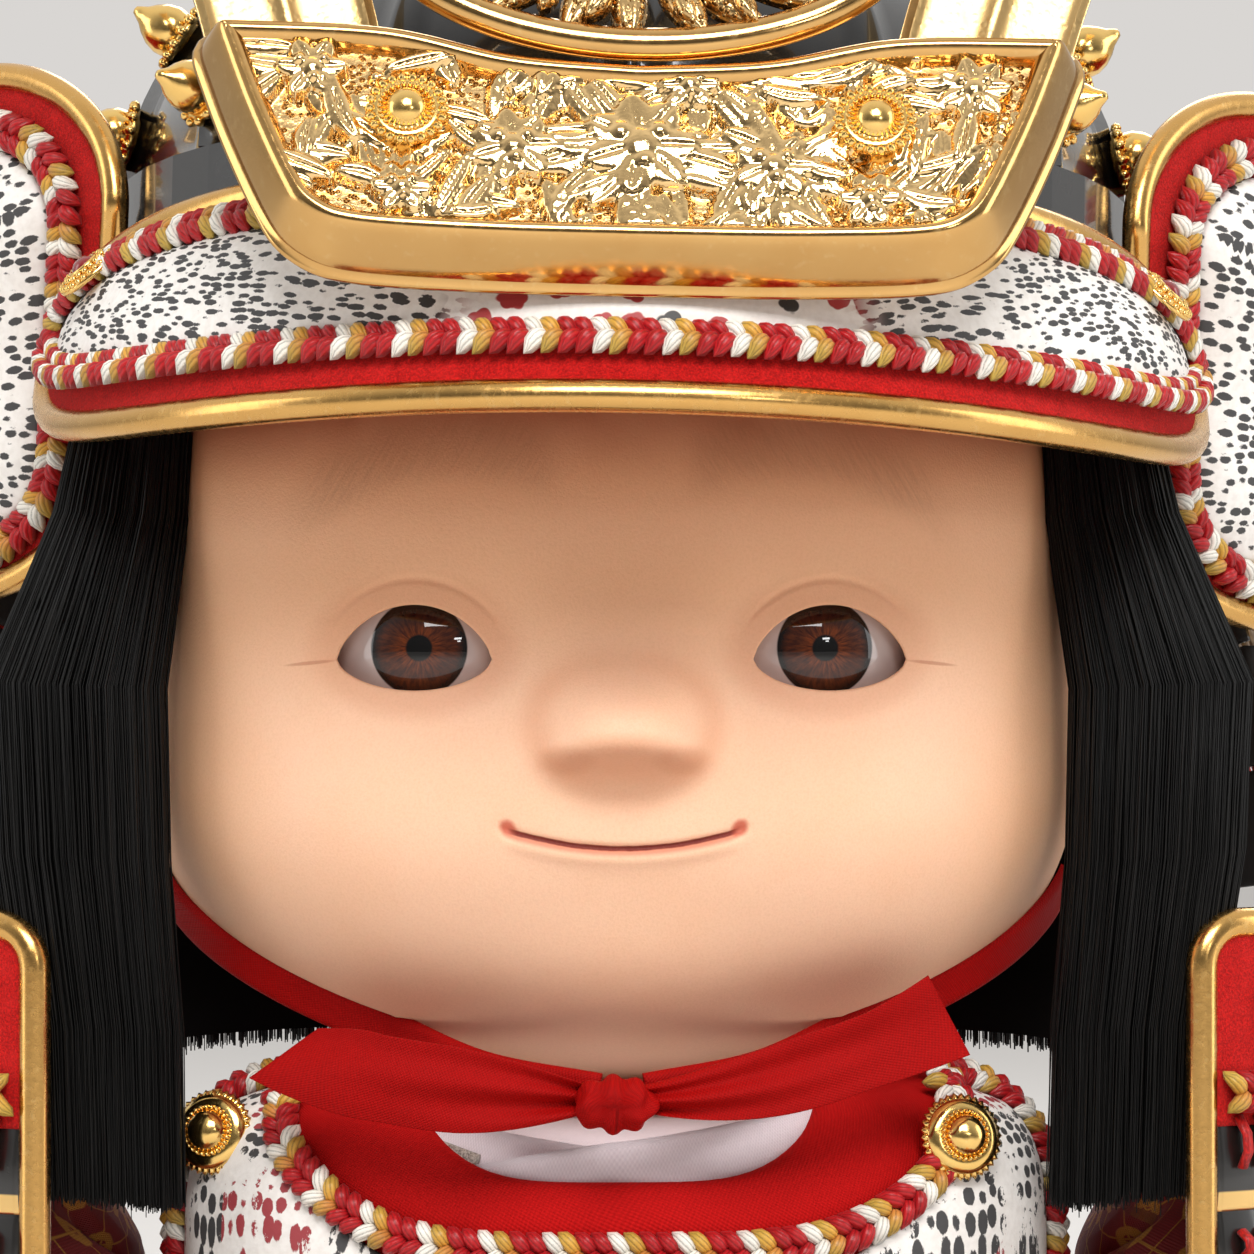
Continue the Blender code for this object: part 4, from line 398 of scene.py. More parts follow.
SKIN, MOUTH_RED = paint(238, 184, 143), paint(112, 16, 10)
flesh = Finish("gofun_skin", SKIN, Roughness=0.56, Subsurface_Weight=0.10, Subsurface_Scale=0.004,
               Specular_IOR_Level=0.32)
x, y, z = flesh.axes()
across = abs(x)
line = z - (MOUTH_Z + MOUTH_CURVE / MOUTH_HALF ** 2 * x * x)
wobble = flesh.noise(0.0012, detail=3) - 0.5
within = across.fall(0.0090, 0.0100)
dark_line = abs(line + wobble * 0.00016).fall(0.00014, 0.00030) * within
glow = abs(line + 0.00026).fall(0.00016, 0.00062) * within
corner = ((across - MOUTH_HALF) ** 2 + (line - 0.0002) ** 2) ** 0.5
corner = (corner + wobble * 0.0006).fall(0.00035, 0.0010)
brow_line = z - (0.1535 - 27.0 * (across - 0.0140) * (across - 0.0140))
brush = flesh.noise(0.00030, flesh.at(across + (z * 0.55), z * 0.10, 0.0), detail=4, rough=0.7)
brush = brush.rise(0.30, 0.75) * 0.6 + 0.35
brow = abs(brow_line).fall(0.0008, 0.0042) * across.rise(0.0045, 0.0080) * across.fall(0.0240, 0.0300) * brush
# Painted shade under the nose: the nostrils and a soft patch below the nose ball are painted darker.
nostril_shade = ((across - 0.0049) / 0.0021) ** 2 + ((z - (EYE_Z - 0.0113)) / 0.0011) ** 2
nostril_shade = nostril_shade.fall(0.0, 2.2)
under_nose_shade = ((x / 0.0062) ** 2 + ((z - (EYE_Z - 0.0112)) / 0.0021) ** 2).fall(0.0, 1.6)
# Painted shade of a small crease: a thin darker line at the outer corner of each eye.
eye_crease_shade = ((across - 0.0268) / 0.0021) ** 2 + ((z - (EYE_Z - 0.0031) + (across - 0.0268) * 0.10)
                                              / 0.00016) ** 2
eye_crease_shade = eye_crease_shade.fall(0.3, 1.6)
lid_edge = ((across - LID_X) / 0.0078) ** 2 + ((z - SLIT_Z - 0.0010) / 0.0053) ** 2
lid_edge = lid_edge.fall(0.8, 1.75)
cloud = flesh.noise(0.014, detail=3)
# Painted light: the face below the eyes and away from its sides is painted paler, where the lamp falls fullest.
lit = z.fall(EYE_Z - 0.0080, EYE_Z + 0.0050) * across.fall(0.0270, 0.0400)
tone = flesh.mix(lit * 0.80, SKIN, paint(246, 202, 172))
# Painted shadow of the visor: the forehead is painted darker and browner towards the top.
tone = flesh.mix(z.rise(EYE_Z + 0.0070, EYE_Z + 0.0150) * 0.55, tone, paint(212, 142, 92))
tone = flesh.mix(z.rise(EYE_Z + 0.0115, EYE_Z + 0.0195) * 0.95, tone, paint(138, 62, 28))
tone = flesh.mix(cloud.rise(0.35, 0.7) * 0.20, tone, paint(232, 172, 128))
tone = flesh.mix(lid_edge * 0.30, tone, paint(206, 130, 92))
# Painted shade: a darker ring round the sides and the underside of the nose ball.
socket = ((x / 0.0076) ** 2 + ((z - (EYE_Z - 0.0082)) / 0.0060) ** 2) ** 0.5
socket = abs(socket - 1.0).fall(0.0, 0.30) * z.fall(EYE_Z - 0.0060, EYE_Z - 0.0010)
tone = flesh.mix(socket * 0.30, tone, paint(206, 128, 82))
tone = flesh.mix(under_nose_shade * 0.42, tone, paint(190, 108, 60))
tone = flesh.mix(nostril_shade * 0.22, tone, paint(168, 88, 40))
tone = flesh.mix(brow * 0.34, tone, paint(112, 72, 42))
tone = flesh.mix(eye_crease_shade * 0.45, tone, paint(170, 84, 54))
tone = flesh.mix(glow * 0.60, tone, paint(222, 104, 80))
tone = flesh.mix(corner * 0.75, tone, paint(196, 62, 40))
tone = flesh.mix(dark_line * 0.95, tone, MOUTH_RED)
grain = flesh.noise(0.00022, detail=2, rough=0.6)
flesh.show("Base Color", flesh.mix((grain.rise(0.35, 0.75)) * 0.10, tone, paint(180, 110, 70)))
flesh.relief(grain, 0.00004, 0.8)
lay("face_skin", skin, skin_faces, flesh, ("head",))
wear("neck_peg", flesh)

# Eyes. Blown glass eyes set behind the lids: a grey-white ball and a deep brown iris with a dark edge,
# fine spokes and a small pupil, under one clear glossy skin of glass.
SIDES = ((1, "left"), (-1, "right"))
EYE_CENTRE, EYE_RADIUS = (0.0154, -0.0206, 0.1359), 0.0116
IRIS_X, IRIS_Z, IRIS_RADIUS, PUPIL_RADIUS = 0.0174, EYE_Z - 0.0018, 0.00412, 0.00112


def circle(count):
    """Angles once round, evenly spread."""
    return np.linspace(0, 2 * math.pi, count, endpoint=False)


def ball(rows=24, columns=40, depth=1.0):
    tilt = np.linspace(-math.pi / 2, math.pi / 2, rows)[:, None]
    turn = circle(columns)[None, :]
    points = np.stack(np.broadcast_arrays(np.cos(tilt) * np.cos(turn), np.cos(tilt) * np.sin(turn),
                                          np.sin(tilt) * depth), -1)
    return points.reshape(-1, 3), net(rows, columns, True)


for side, word in SIDES:
    glass = Finish("glass_eye_" + word, paint(186, 168, 164), Roughness=0.45, Specular_IOR_Level=0.1,
                   Coat_Weight=0.85,
                   Coat_Roughness=0.015, Coat_IOR=1.55)
    x, y, z = glass.axes()
    from_x, from_z = x - side * IRIS_X, z - IRIS_Z
    reach = (from_x ** 2 + from_z ** 2) ** 0.5
    spokes = glass.node("Math", {"operation": "ARCTAN2"}, {0: from_z, 1: from_x})
    rays = glass.noise(1.0, glass.at(spokes * 9.0, reach * 900.0), detail=3, rough=0.65)
    amber = glass.mix(rays.rise(0.30, 0.75), paint(54, 16, 3), paint(132, 62, 18))
    amber = glass.mix(reach.rise(IRIS_RADIUS * 0.28, IRIS_RADIUS * 0.62) * 0.55, amber, paint(44, 14, 3))
    amber = glass.mix(reach.rise(IRIS_RADIUS * 0.74, IRIS_RADIUS * 0.97), amber, paint(7, 3, 2))
    # Painted shadow of the upper lid: the top of the iris is painted darker.
    amber = glass.mix(from_z.rise(0.0012, 0.0034) * 0.85, amber, paint(9, 4, 2))
    amber = glass.mix(reach.fall(PUPIL_RADIUS * 0.92, PUPIL_RADIUS * 1.12), amber, paint(3, 2, 2))
    ball_tone = glass.mix(glass.noise(0.004, detail=3).rise(0.3, 0.8) * 0.5, paint(198, 184, 180),
                          paint(172, 154, 152))
    edge = reach.fall(IRIS_RADIUS - 0.00006, IRIS_RADIUS + 0.00010)
    glass.show("Base Color", glass.mix(edge, ball_tone, amber))
    points, faces = ball(64, 96)
    centre = np.array([side * EYE_CENTRE[0], EYE_CENTRE[1], EYE_CENTRE[2]])
    points = points[:, [0, 2, 1]] * EYE_RADIUS + centre
    bulge = np.hypot(points[:, 0] - side * IRIS_X, points[:, 2] - IRIS_Z)
    cornea = 0.0004 * np.clip(1 - (bulge / (IRIS_RADIUS * 1.15)) ** 2, 0, 1) * (points[:, 1] < centre[1])
    points[:, 1] -= cornea
    lay("glass_eye_" + word, points, faces, glass, ("eye_" + word,))

# Hair. Straight black fibre glued in bundles: a fall behind the head and a lock beside each cheek,
# all cut blunt, with a few fibres that stray.
LOCK_RINGS = ((0.0880, -0.0035, -0.0180, 0.88), (0.1010, -0.0033, -0.0182, 0.89),
              (0.1130, -0.0021, -0.0190, 0.94),
              (0.1240, -0.0008, -0.0198, 1.0), (0.1350, -0.0010, -0.0194, 0.99),
              (0.1410, -0.0022, -0.0182, 0.92),
              (0.1475, -0.0048, -0.0160, 0.74), (0.1630, -0.0068, -0.0125, 0.58))
LOCK_OFFSET, LOCK_HALF_WIDTH, LOCK_HALF_DEPTH, FIBRE = 0.0487, 0.0078, 0.0053, 0.000068
LOCK_FIBRES, LOCK_TOP, LOCK_CUT = 2450, 0.1630, 0.0879
FALL_FIBRES, FALL_TOP, FALL_CUT = 1500, 0.1625, 0.0984
core_black = Finish("hair_core", paint(6, 6, 6), Roughness=0.95, Specular_IOR_Level=0.05)
clump_tone = core_black.noise(0.0006, core_black.place(), detail=3)
core_black.show("Base Color", core_black.mix(clump_tone, paint(4, 4, 4), paint(11, 10, 10)))
hair = Finish("black_fibre", paint(10, 9, 9), Roughness=0.40, Specular_IOR_Level=0.28)
x, y, z = hair.axes()
streak = hair.noise(0.0010, hair.at(x, y, z * 0.03), detail=4, rough=0.7)
hair.show("Base Color", hair.mix(streak.rise(0.35, 0.75), paint(4, 4, 4), paint(15, 14, 13)))
hair.show("Roughness", 0.36 + streak * 0.22)


def capped(rows, columns):
    """The faces of a tube of rows of points, closed at both ends."""
    start_cap, end_cap = np.arange(columns)[None, ::-1], (np.arange(columns) + (rows - 1) * columns)[None]
    return [net(rows, columns, True), start_cap, end_cap]


def fibres(centres, size, chance):
    """Three-sided fibres along (fibre, step, 3) centrelines, thinning to the tip."""
    count, steps = centres.shape[:2]
    turn = chance.uniform(0, 2 * math.pi, (count, 1, 1)) + np.arange(3)[None, None, :] * (2 * math.pi / 3)
    width = (size * chance.uniform(0.75, 1.3, (count, 1, 1))) * np.linspace(1, 0.55, steps)[None, :, None]
    ring = np.stack([np.cos(turn) * width, np.sin(turn) * width, np.zeros((count, steps, 3))], -1)
    points = (centres[:, :, None, :] + ring).reshape(-1, 3)
    one = net(steps, 3, True)
    faces = (one[None] + (np.arange(count) * steps * 3)[:, None, None]).reshape(-1, 4)
    return points, faces


def lock_place(z, a, b, thin_by=1.0):
    """A point of a lock from its place a, b in the bundle."""
    heights, shifts, forwards, thins = (np.array(column) for column in zip(*LOCK_RINGS))
    x = LOCK_OFFSET + np.interp(z, heights, shifts)
    y = np.interp(z, heights, forwards)
    thin = np.interp(z, heights, thins) * thin_by
    return x + a * LOCK_HALF_WIDTH * thin, y + b * LOCK_HALF_DEPTH * thin


CORE_ROWS, CORE_SIDES = 14, 36
chance = np.random.default_rng(7)
for side, word in SIDES:
    count, steps = LOCK_FIBRES, 6
    round_turn = chance.uniform(0, 2 * math.pi, count)
    inside = np.clip(chance.uniform(0.50, 1.06, count), 0, 1.04) ** 0.6
    a, b = swell(np.cos(round_turn), 0.8) * inside, swell(np.sin(round_turn), 0.8) * inside
    low = LOCK_CUT + chance.normal(0, 0.00028, count) + 0.0007 * a
    low = low - (chance.uniform(0, 1, count) > 0.985) * chance.uniform(0, 0.0012, count)
    share = np.linspace(0, 1, steps)[None, :]
    z = LOCK_TOP + (low[:, None] - LOCK_TOP) * share
    x, y = lock_place(z, a[:, None], b[:, None])
    phase = chance.uniform(0, 6.28, (count, 1))
    stray = (chance.uniform(0, 1, (count, 1)) > 0.97) * chance.uniform(0.0003, 0.0016, (count, 1)) * share ** 2
    x = x + 0.00016 * np.sin(share * 5 + phase) + stray * np.cos(phase)
    y = y + 0.00016 * np.cos(share * 4 + phase) + stray * np.sin(phase)
    clump = 0.00022 * np.sin(round_turn[:, None] * 17 + 1.3 * side) * share
    x = x + clump * np.cos(round_turn)[:, None]
    points, faces = fibres(np.stack([x * side, y, z], -1), FIBRE * 1.45, chance)
    lay("hair_lock_fibres_" + word, points, faces, hair, ("hair_lock_" + word,))
    ring_turn = circle(CORE_SIDES)
    z = np.linspace(0.0889, 0.1625, CORE_ROWS)[:, None]
    x, y = lock_place(z, swell(np.cos(ring_turn), 0.8)[None], swell(np.sin(ring_turn), 0.8)[None], 0.80)
    core = np.stack(np.broadcast_arrays(x * side, y, z), -1).reshape(-1, 3)
    lay("hair_lock_core_" + word, core, capped(CORE_ROWS, CORE_SIDES), core_black, slot="hair_lock_" + word)

count, steps = FALL_FIBRES, 4
turn = np.radians(chance.uniform(97, 263, count))
deep = chance.uniform(0.0016, 0.0044, count)
low = FALL_CUT + chance.normal(0, 0.0003, count)
share = np.linspace(0, 1, steps)[None, :]
z = FALL_TOP + (low[:, None] - FALL_TOP) * share
fall = head_points(turn[:, None], np.maximum(z, CHEEK_Z), 0.0)
reach = deep[:, None] * (1 + 0 * share) + 0.0003 * np.sin(turn[:, None] * 60) * share
flat_way = np.stack([np.sin(turn), -np.cos(turn)], -1)[:, None, :]
xy = fall[..., :2] + flat_way * reach[..., None]
points, faces = fibres(np.concatenate([xy, z[..., None]], -1), FIBRE * 1.9, chance)
lay("hair_back_fibres", points, faces, hair, ("hair_back",))
turn = np.radians(np.linspace(262, 98, 90))[None, :]
z = np.linspace(0.0995, 0.1620, 12)[:, None]
sheets = []
for deep in (0.0010, 0.0026):
    fall = head_points(turn, np.maximum(z, CHEEK_Z) + 0 * turn, 0.0)
    way = np.stack([np.sin(turn), -np.cos(turn)], -1)
    sheets.append(np.concatenate([fall[..., :2] + way * deep, (z + 0 * turn)[..., None]], -1))


def slab(outer, inner):
    """A closed sheet from its two faces, each rows by columns of points."""
    rows, columns = outer.shape[:2]
    points = np.concatenate([outer.reshape(-1, 3), inner.reshape(-1, 3)])
    index = np.arange(rows * columns).reshape(rows, columns)
    edge = np.concatenate([index[0], index[1:, -1], index[-1, -2::-1], index[-2:0:-1, 0]])
    side = np.stack([edge, np.roll(edge, -1), np.roll(edge, -1) + rows * columns, edge + rows * columns], 1)
    return points, [net(rows, columns), net(rows, columns, start=rows * columns)[:, ::-1], side[:, ::-1]]


points, faces = slab(sheets[1], sheets[0])
lay("hair_back_core", points, faces, core_black, slot="hair_back")

# Helmet bowl. Thirteen lacquered plates meet in standing ribs. Gilt bullet studs on beaded washers are
# riveted through the ribs behind the front plate's reach, and a gilt petalled fitting closes the crown.
HELMET = (Matrix.Translation((0.0008, 0, 0.171)) @ Matrix.Rotation(math.radians(-7), 4, "X")
          @ Matrix.Rotation(math.radians(1.2), 4, "Y"))


def put(points, place):
    """Points moved by a Blender matrix."""
    place = np.array(place)
    return np.asarray(points) @ place[:3, :3].T + place[:3, 3]


def polar(turn, radius, z):
    turn, radius, z = np.broadcast_arrays(turn, radius, z)
    return np.stack([radius * np.sin(turn), -radius * np.cos(turn), z], -1)


def smooth(knots, count, closed=False):
    """A smooth line through a few points, with count points along it."""
    knots = np.asarray(knots, float)
    if closed:
        padded = np.concatenate([knots[-1:], knots, knots[:2]])
    else:
        padded = np.concatenate([2 * knots[:1] - knots[1:2], knots, 2 * knots[-1:] - knots[-2:-1]])
    spans = len(padded) - 3
    t = np.linspace(0, spans, count, endpoint=not closed)
    k = np.minimum(t.astype(int), spans - 1)
    f = (t - k)[:, None]
    a, b, c, d = (padded[k + i] for i in range(4))
    return 0.5 * (2 * b + (c - a) * f + (2 * a - 5 * b + 4 * c - d) * f ** 2 + (3 * b - a - 3 * c + d)
                  * f ** 3)


def distances(path):
    """How far along a line each of its points is."""
    return np.concatenate([[0], np.cumsum(np.linalg.norm(np.diff(path, axis=0), axis=1))])


def even(path, count, closed=False):
    """The same line with its points spread evenly."""
    path = np.asarray(path, float)
    if closed:
        path = np.concatenate([path, path[:1]])
    gone = distances(path)
    wanted = np.linspace(0, gone[-1], count, endpoint=not closed)
    return np.stack([np.interp(wanted, gone, path[:, k]) for k in range(path.shape[1])], 1)


def unit(vectors):
    return vectors / np.maximum(np.linalg.norm(vectors, axis=-1, keepdims=True), 1e-12)


def frames_along(path, ups, closed=False):
    """Along, aside and up at each point of a line whose rough up is given."""
    if closed:
        along = np.roll(path, -1, 0) - np.roll(path, 1, 0)
    else:
        along = np.gradient(path, axis=0)
    along = unit(along)
    ups = np.broadcast_to(ups, path.shape)
    aside = unit(np.cross(along, ups))
    return along, aside, np.cross(aside, along)


def run(path, ups, section, closed=False, scale=None):
    """A bar that follows a line: section gives its (aside, up) corners."""
    path, section = np.asarray(path, float), np.asarray(section, float)
    _, aside, up = frames_along(path, ups, closed)
    scale = np.ones(len(path)) if scale is None else np.asarray(scale)
    points = path[:, None] + scale[:, None, None] * (
        section[None, :, :1] * aside[:, None] + section[None, :, 1:] * up[:, None])
    count = len(section)
    faces = capped(len(path), count)
    if closed:
        low, high = np.arange(count) + (len(path) - 1) * count, np.arange(count)
        faces = [faces[0], np.stack([low, np.roll(low, -1), np.roll(high, -1), high], 1)]
    return points.reshape(-1, 3), faces


def rod(radius, sides=12, flat=1.0):
    turn = circle(sides)
    return np.stack([np.cos(turn) * radius, np.sin(turn) * radius * flat], 1)


def turned(profile, sides=32):
    """A turned shape about its own axis from (radius, height) steps."""
    profile = np.asarray(profile, float)
    turn = circle(sides)
    radius, height = np.maximum(profile[:, :1], 1e-6), profile[:, 1:]
    points = np.stack([radius * np.cos(turn), radius * np.sin(turn), height + 0 * turn], -1)
    return points.reshape(-1, 3), capped(len(profile), sides)


class Heap:
    """Many small shapes gathered into one piece."""

    def __init__(self):
        self.points, self.faces, self.tints, self.cuts, self.count = [], [], [], [], 0

    def add(self, points, faces, tint=(1, 1, 1), cut=None):
        points = np.asarray(points, float)
        faces = [np.asarray(f) for f in (faces if isinstance(faces, list) else [faces])]
        if volume(points - points.mean(0), faces) < 0:
            faces = [f[:, ::-1] for f in faces]
        self.points.append(points)
        self.faces += [f + self.count for f in faces]
        self.tints.append(np.broadcast_to(tint, points.shape))
        self.cuts.append(np.zeros((len(points), 2)) if cut is None else np.asarray(cut))
        self.count += len(points)
        return self

    def set_in(self, shape, place):
        """Adds one shape, its points and faces, at a place."""
        return self.add(put(shape[0], place), shape[1])

    def lay(self, name, finish, stands_for=(), **more):
        grouped = {}
        for run_of in self.faces:
            grouped.setdefault(run_of.shape[1], []).append(run_of)
        faces = [np.concatenate(group) for group in grouped.values()]
        return lay(name, np.concatenate(self.points), faces, finish, stands_for,
                   tint=np.concatenate(self.tints), cut=np.concatenate(self.cuts), **more)


def stand(origin, axis):
    """The place of a shape that stands at origin along axis."""
    turned_to = Vector(axis).to_track_quat("Z", "Y").to_matrix().to_4x4()
    return Matrix.Translation(Vector(origin)) @ turned_to


def ring(radius, thick, sides=40, around=10, lift=0.0):
    turn = circle(sides)
    path = np.stack([np.cos(turn) * radius, np.sin(turn) * radius, 0 * turn + lift], 1)
    return run(path, (0, 0, 1), rod(thick, around), True)


def beads(heap, place, radius, size, count, lift, long=1.0):
    """A round of beads, each a small ball that may be long outwards."""
    points, faces = ball(5, 7)
    for k in range(count):
        turn = 2 * math.pi * k / count
        spot = (Matrix.Translation((radius * math.cos(turn), radius * math.sin(turn), lift))
                @ Matrix.Rotation(turn, 4, "Z") @ Matrix.Diagonal((size * long, size, size, 1)))
        heap.add(put(put(points, spot), place), faces)


def gilt(name, colour=(0.86, 0.58, 0.22), rough=0.14, worn=0.0004, depth=0.000008):
    """Gold plate or leaf: bright, a little uneven, duller and browner in the hollows."""
    gold = Finish(name, colour, Metallic=1.0, Roughness=rough)
    cloud = gold.noise(0.006, detail=3)
    fine = gold.noise(worn, detail=3, rough=0.6)
    tone = gold.mix(cloud.rise(0.35, 0.75) * 0.30, colour,
                    tuple(c * s for c, s in zip(colour, (0.82, 0.70, 0.55))))
    gold.show("Base Color", gold.mix(fine.rise(0.55, 0.85) * 0.25, tone, (0.95, 0.78, 0.42)))
    gold.show("Roughness", rough + fine.rise(0.4, 0.8) * 0.10 + cloud * 0.06)
    return gold.relief(fine, depth, 0.6)


LACQUER = paint(14, 13, 13)
lacquer = Finish("black_lacquer", LACQUER, Roughness=0.22, Coat_Weight=1.0, Coat_Roughness=0.05)
speck = lacquer.noise(0.0009, detail=3)
lacquer.show("Base Color", lacquer.mix(speck.rise(0.5, 0.8), LACQUER, paint(26, 23, 21)))
lacquer.show("Roughness", 0.18 + lacquer.noise(0.006, detail=3) * 0.14)
lacquer.relief(lacquer.noise(0.004, detail=2), 0.00003, 0.5)

RIBS, BOWL_BASE, BOWL_RADIUS, BOWL_HEIGHT, RIB_HEIGHT = 13, 0.0048, 0.0446, 0.030, 0.0010
turn = circle(RIBS * 14)[None, :]
tilt = np.radians(np.concatenate([np.linspace(0, 78, 26), [83, 87, 89.6]]))[:, None]
panel = np.abs((turn * RIBS / (2 * math.pi) + 0.5) % 1 - 0.5) * 2 * math.pi / RIBS
hollow = np.cos(math.pi / RIBS) / np.cos(math.pi / RIBS - panel)
proud = RIB_HEIGHT * np.exp(-(panel * BOWL_RADIUS * np.cos(tilt)
                              / 0.00062) ** 4) * np.clip(np.cos(tilt) * 3, 0, 1)
radius = BOWL_RADIUS * (0.45 + 0.55 * hollow)
shell = polar(turn, (radius + proud) * np.cos(tilt), BOWL_BASE + (BOWL_HEIGHT + proud) * np.sin(tilt))
inner = polar(turn, (BOWL_RADIUS - 0.0018) * np.cos(tilt), BOWL_BASE + (BOWL_HEIGHT - 0.0016) * np.sin(tilt))
wall = np.concatenate([shell, inner[::-1]])
rows, columns = wall.shape[:2]
faces = net(rows, columns, True)
closing = np.stack([np.arange(columns), np.roll(np.arange(columns), -1)], 1)
faces = np.concatenate([faces,
                        np.concatenate([closing[:, ::-1], closing + (rows - 1) * columns],
                                       1)[:, [1, 0, 2, 3]]])
lay("bowl_plates", put(wall.reshape(-1, 3), HELMET), faces, lacquer, ("helmet_bowl",))

bright_gold = gilt("bright_gilt", (0.90, 0.60, 0.20), 0.13)
stud = turned([(0, 0), (.0019, 0), (.0021, .0007), (.00235, .0015), (.0024, .0022), (.0021, .0032),
               (.0015, .0041),
               (.0009, .0047), (.0006, .0052), (.00035, .0056), (0, .0057)], 16)
studs = Heap()
for i in range(2, 12):
    for lean in (9, 27):
        turn_at, lean_at = 2 * math.pi * i / RIBS, math.radians(lean)
        foot = polar(turn_at, BOWL_RADIUS * math.cos(lean_at), BOWL_BASE + BOWL_HEIGHT * math.sin(lean_at))
        way = polar(turn_at, math.cos(lean_at), math.sin(lean_at) * 1.15)
        place = HELMET @ stand(foot + way * 0.0004, way)
        studs.set_in(stud, place)
        washer = ring(0.0024, 0.00045, 18, 6, 0.0006)
        studs.set_in(washer, place)
        beads(studs, place, 0.00285, 0.00052, 13, 0.0008)
studs.lay("bowl_studs", bright_gold, slot="helmet_bowl")
crown = HELMET @ Matrix.Translation((0, 0, BOWL_BASE + BOWL_HEIGHT - 0.0012))
fitting = Heap()
body = turned([(0, 0), (.0066, 0), (.0070, .0008), (.0066, .0015), (.0050, .0020), (.0036, .0028),
               (.0034, .0036),
               (.0044, .0042), (.0046, .0048), (.0038, .0053), (.0024, .0056), (.0021, .0064), (.0022, .0078),
               (.0018, .0082), (0, .0082)], 40)
fitting.set_in(body, crown)
beads(fitting, crown, 0.0058, 0.0007, 24, 0.0018)
beads(fitting, crown, 0.0046, 0.0006, 20, 0.0048)
fitting.lay("crown_fitting_gilt", bright_gold, ("crown_fitting",))
wear("helmet_band", lacquer)
lining = Finish("lining_cloth", paint(96, 16, 14), Roughness=0.9)
fleck = lining.noise(0.0006, detail=3)
lining.show("Base Color", lining.mix(fleck, paint(70, 10, 10), paint(120, 22, 18))).relief(fleck, 0.0002)
wear("helmet_lining", lining)

# Neck guard. Five curved lacquered lames hang one under the other on close-set silk lacing; each has a
# gilt lower edge.
NECK_LAMES, LAME_DROP, GUARD_RADIUS, GUARD_FLARE, LAME_STEP = 5, 0.0115, 0.0463, 0.33, 0.0009


def silk(name, colour, deep, rough=0.42, thread=0.00022):
    """Twisted silk: a soft sheen and fine threads that run along the cord."""
    cord = Finish(name, colour, Roughness=rough, Sheen_Weight=0.06, Specular_IOR_Level=0.35)
    x, y, z = cord.axes()
    twist = cord.noise(thread, cord.at(x, y, z * 0.35 + x * 0.4), detail=2)
    cord.show("Base Color", cord.mix(twist.rise(0.3, 0.7), deep, colour))
    return cord.relief(twist, 0.00006, 0.9)


red_silk = silk("red_silk", paint(196, 22, 18), paint(132, 8, 8))
white_silk = silk("white_silk", paint(232, 226, 214), paint(190, 180, 164))


def cord_row(heap, top, low, out, width):
    """A row of short flat cords from each top point to the low point under it."""
    for a, b, n in zip(top, low, out):
        path = smooth([a - n * 0.0002, a * 0.75 + b * 0.25 + n * 0.0005, (a + b) / 2 + n * 0.0006,
                       a * 0.25 + b * 0.75 + n * 0.0005, b - n * 0.0002], 7)
        points, faces = run(path[::2], n, rod(width / 2, 6, 0.55))
        heap.add(points, faces)


def lame_finish(name, low, high):
    """Lacquer with a gilt line along the lower edge, from the piece's own flat measure."""
    coat = Finish(name, LACQUER, Roughness=0.22, Coat_Weight=0.8, Coat_Roughness=0.06)
    u, v = coat.cloth_axes()
    edge = v.fall(low, high)
    coat.show("Base Color",
              coat.mix(edge, coat.mix(coat.noise(0.002), LACQUER, paint(28, 25, 22)), (0.86, 0.56, 0.2)))
    coat.show("Metallic", edge)
    inside = v.rise(5, 6)
    coat.show("Roughness", 0.24 + coat.noise(0.0012, detail=3) * 0.12 + inside * 0.6)
    coat.show("Coat Weight", 0.8 - inside * 0.8)
    return coat.relief(coat.noise(0.0035), 0.00003, 0.4)


lame_coat = lame_finish("lame_lacquer", 0.16, 0.18)


def measured(along, across):
    """A flat measure in centimetres from two arrays that spread over each other."""
    return np.stack(np.broadcast_arrays(along, across), -1).reshape(-1, 2)


def curved_plate(heap, spot, across, drop, thick, place=Matrix.Identity(4), bulge=0.00035):
    """One lame: spot(u, v, offset) gives its surface for u across and v from its top down to drop."""
    u = np.linspace(across[0], across[1], 56)[None, :]
    v = np.array([0, 0.04, 0.2, 0.5, 0.8, 0.96, 1.0])[:, None]
    round_edge = bulge * np.sin(np.clip(v, 0, 1) * math.pi)
    outer, inner = spot(u, v * drop, thick / 2 + round_edge), spot(u, v * drop, -thick / 2 + 0 * v)
    points, faces = slab(outer, inner)
    measure = measured(u * 5.0, (1 - v) * drop * 100)
    heap.add(put(points, place), faces, cut=np.concatenate([measure, measure + [0, 30]]))


guard, red_lacing, white_lacing = Heap(), Heap(), Heap()
for k in range(NECK_LAMES):
    def guard_spot(turn, drop, offset, k=k):
        down = k * (LAME_DROP - LAME_STEP * 0.3) + drop
        return polar(turn, GUARD_RADIUS + 0.0006 + GUARD_FLARE * down + k * 0.0003 + offset,
                     -0.0012 - down * 0.94)
    curved_plate(guard, guard_spot, np.radians((97, 263)), LAME_DROP * 0.93, 0.0011, HELMET)
    if k < NECK_LAMES - 1:
        turns = np.radians(np.linspace(99, 261, 74))
        top = put(guard_spot(turns, LAME_DROP * 0.42, 0.0008), HELMET)
        low = put(guard_spot(turns, LAME_DROP * 1.22, 0.0010), HELMET)
        near, far = (put(guard_spot(turns, LAME_DROP * 0.5, offset), HELMET) for offset in (0.0008, 0.0108))
        out = unit(far - near)
        edge = np.zeros(len(turns), bool)
        edge[[0, 1, 2, -1, -2, -3]] = True
        cord_row(red_lacing, top[~edge], low[~edge], out[~edge], 0.0016)
        cord_row(white_lacing, top[edge], low[edge], out[edge], 0.0016)
guard.lay("neck_guard_lames", lame_coat, ("neck_guard",))
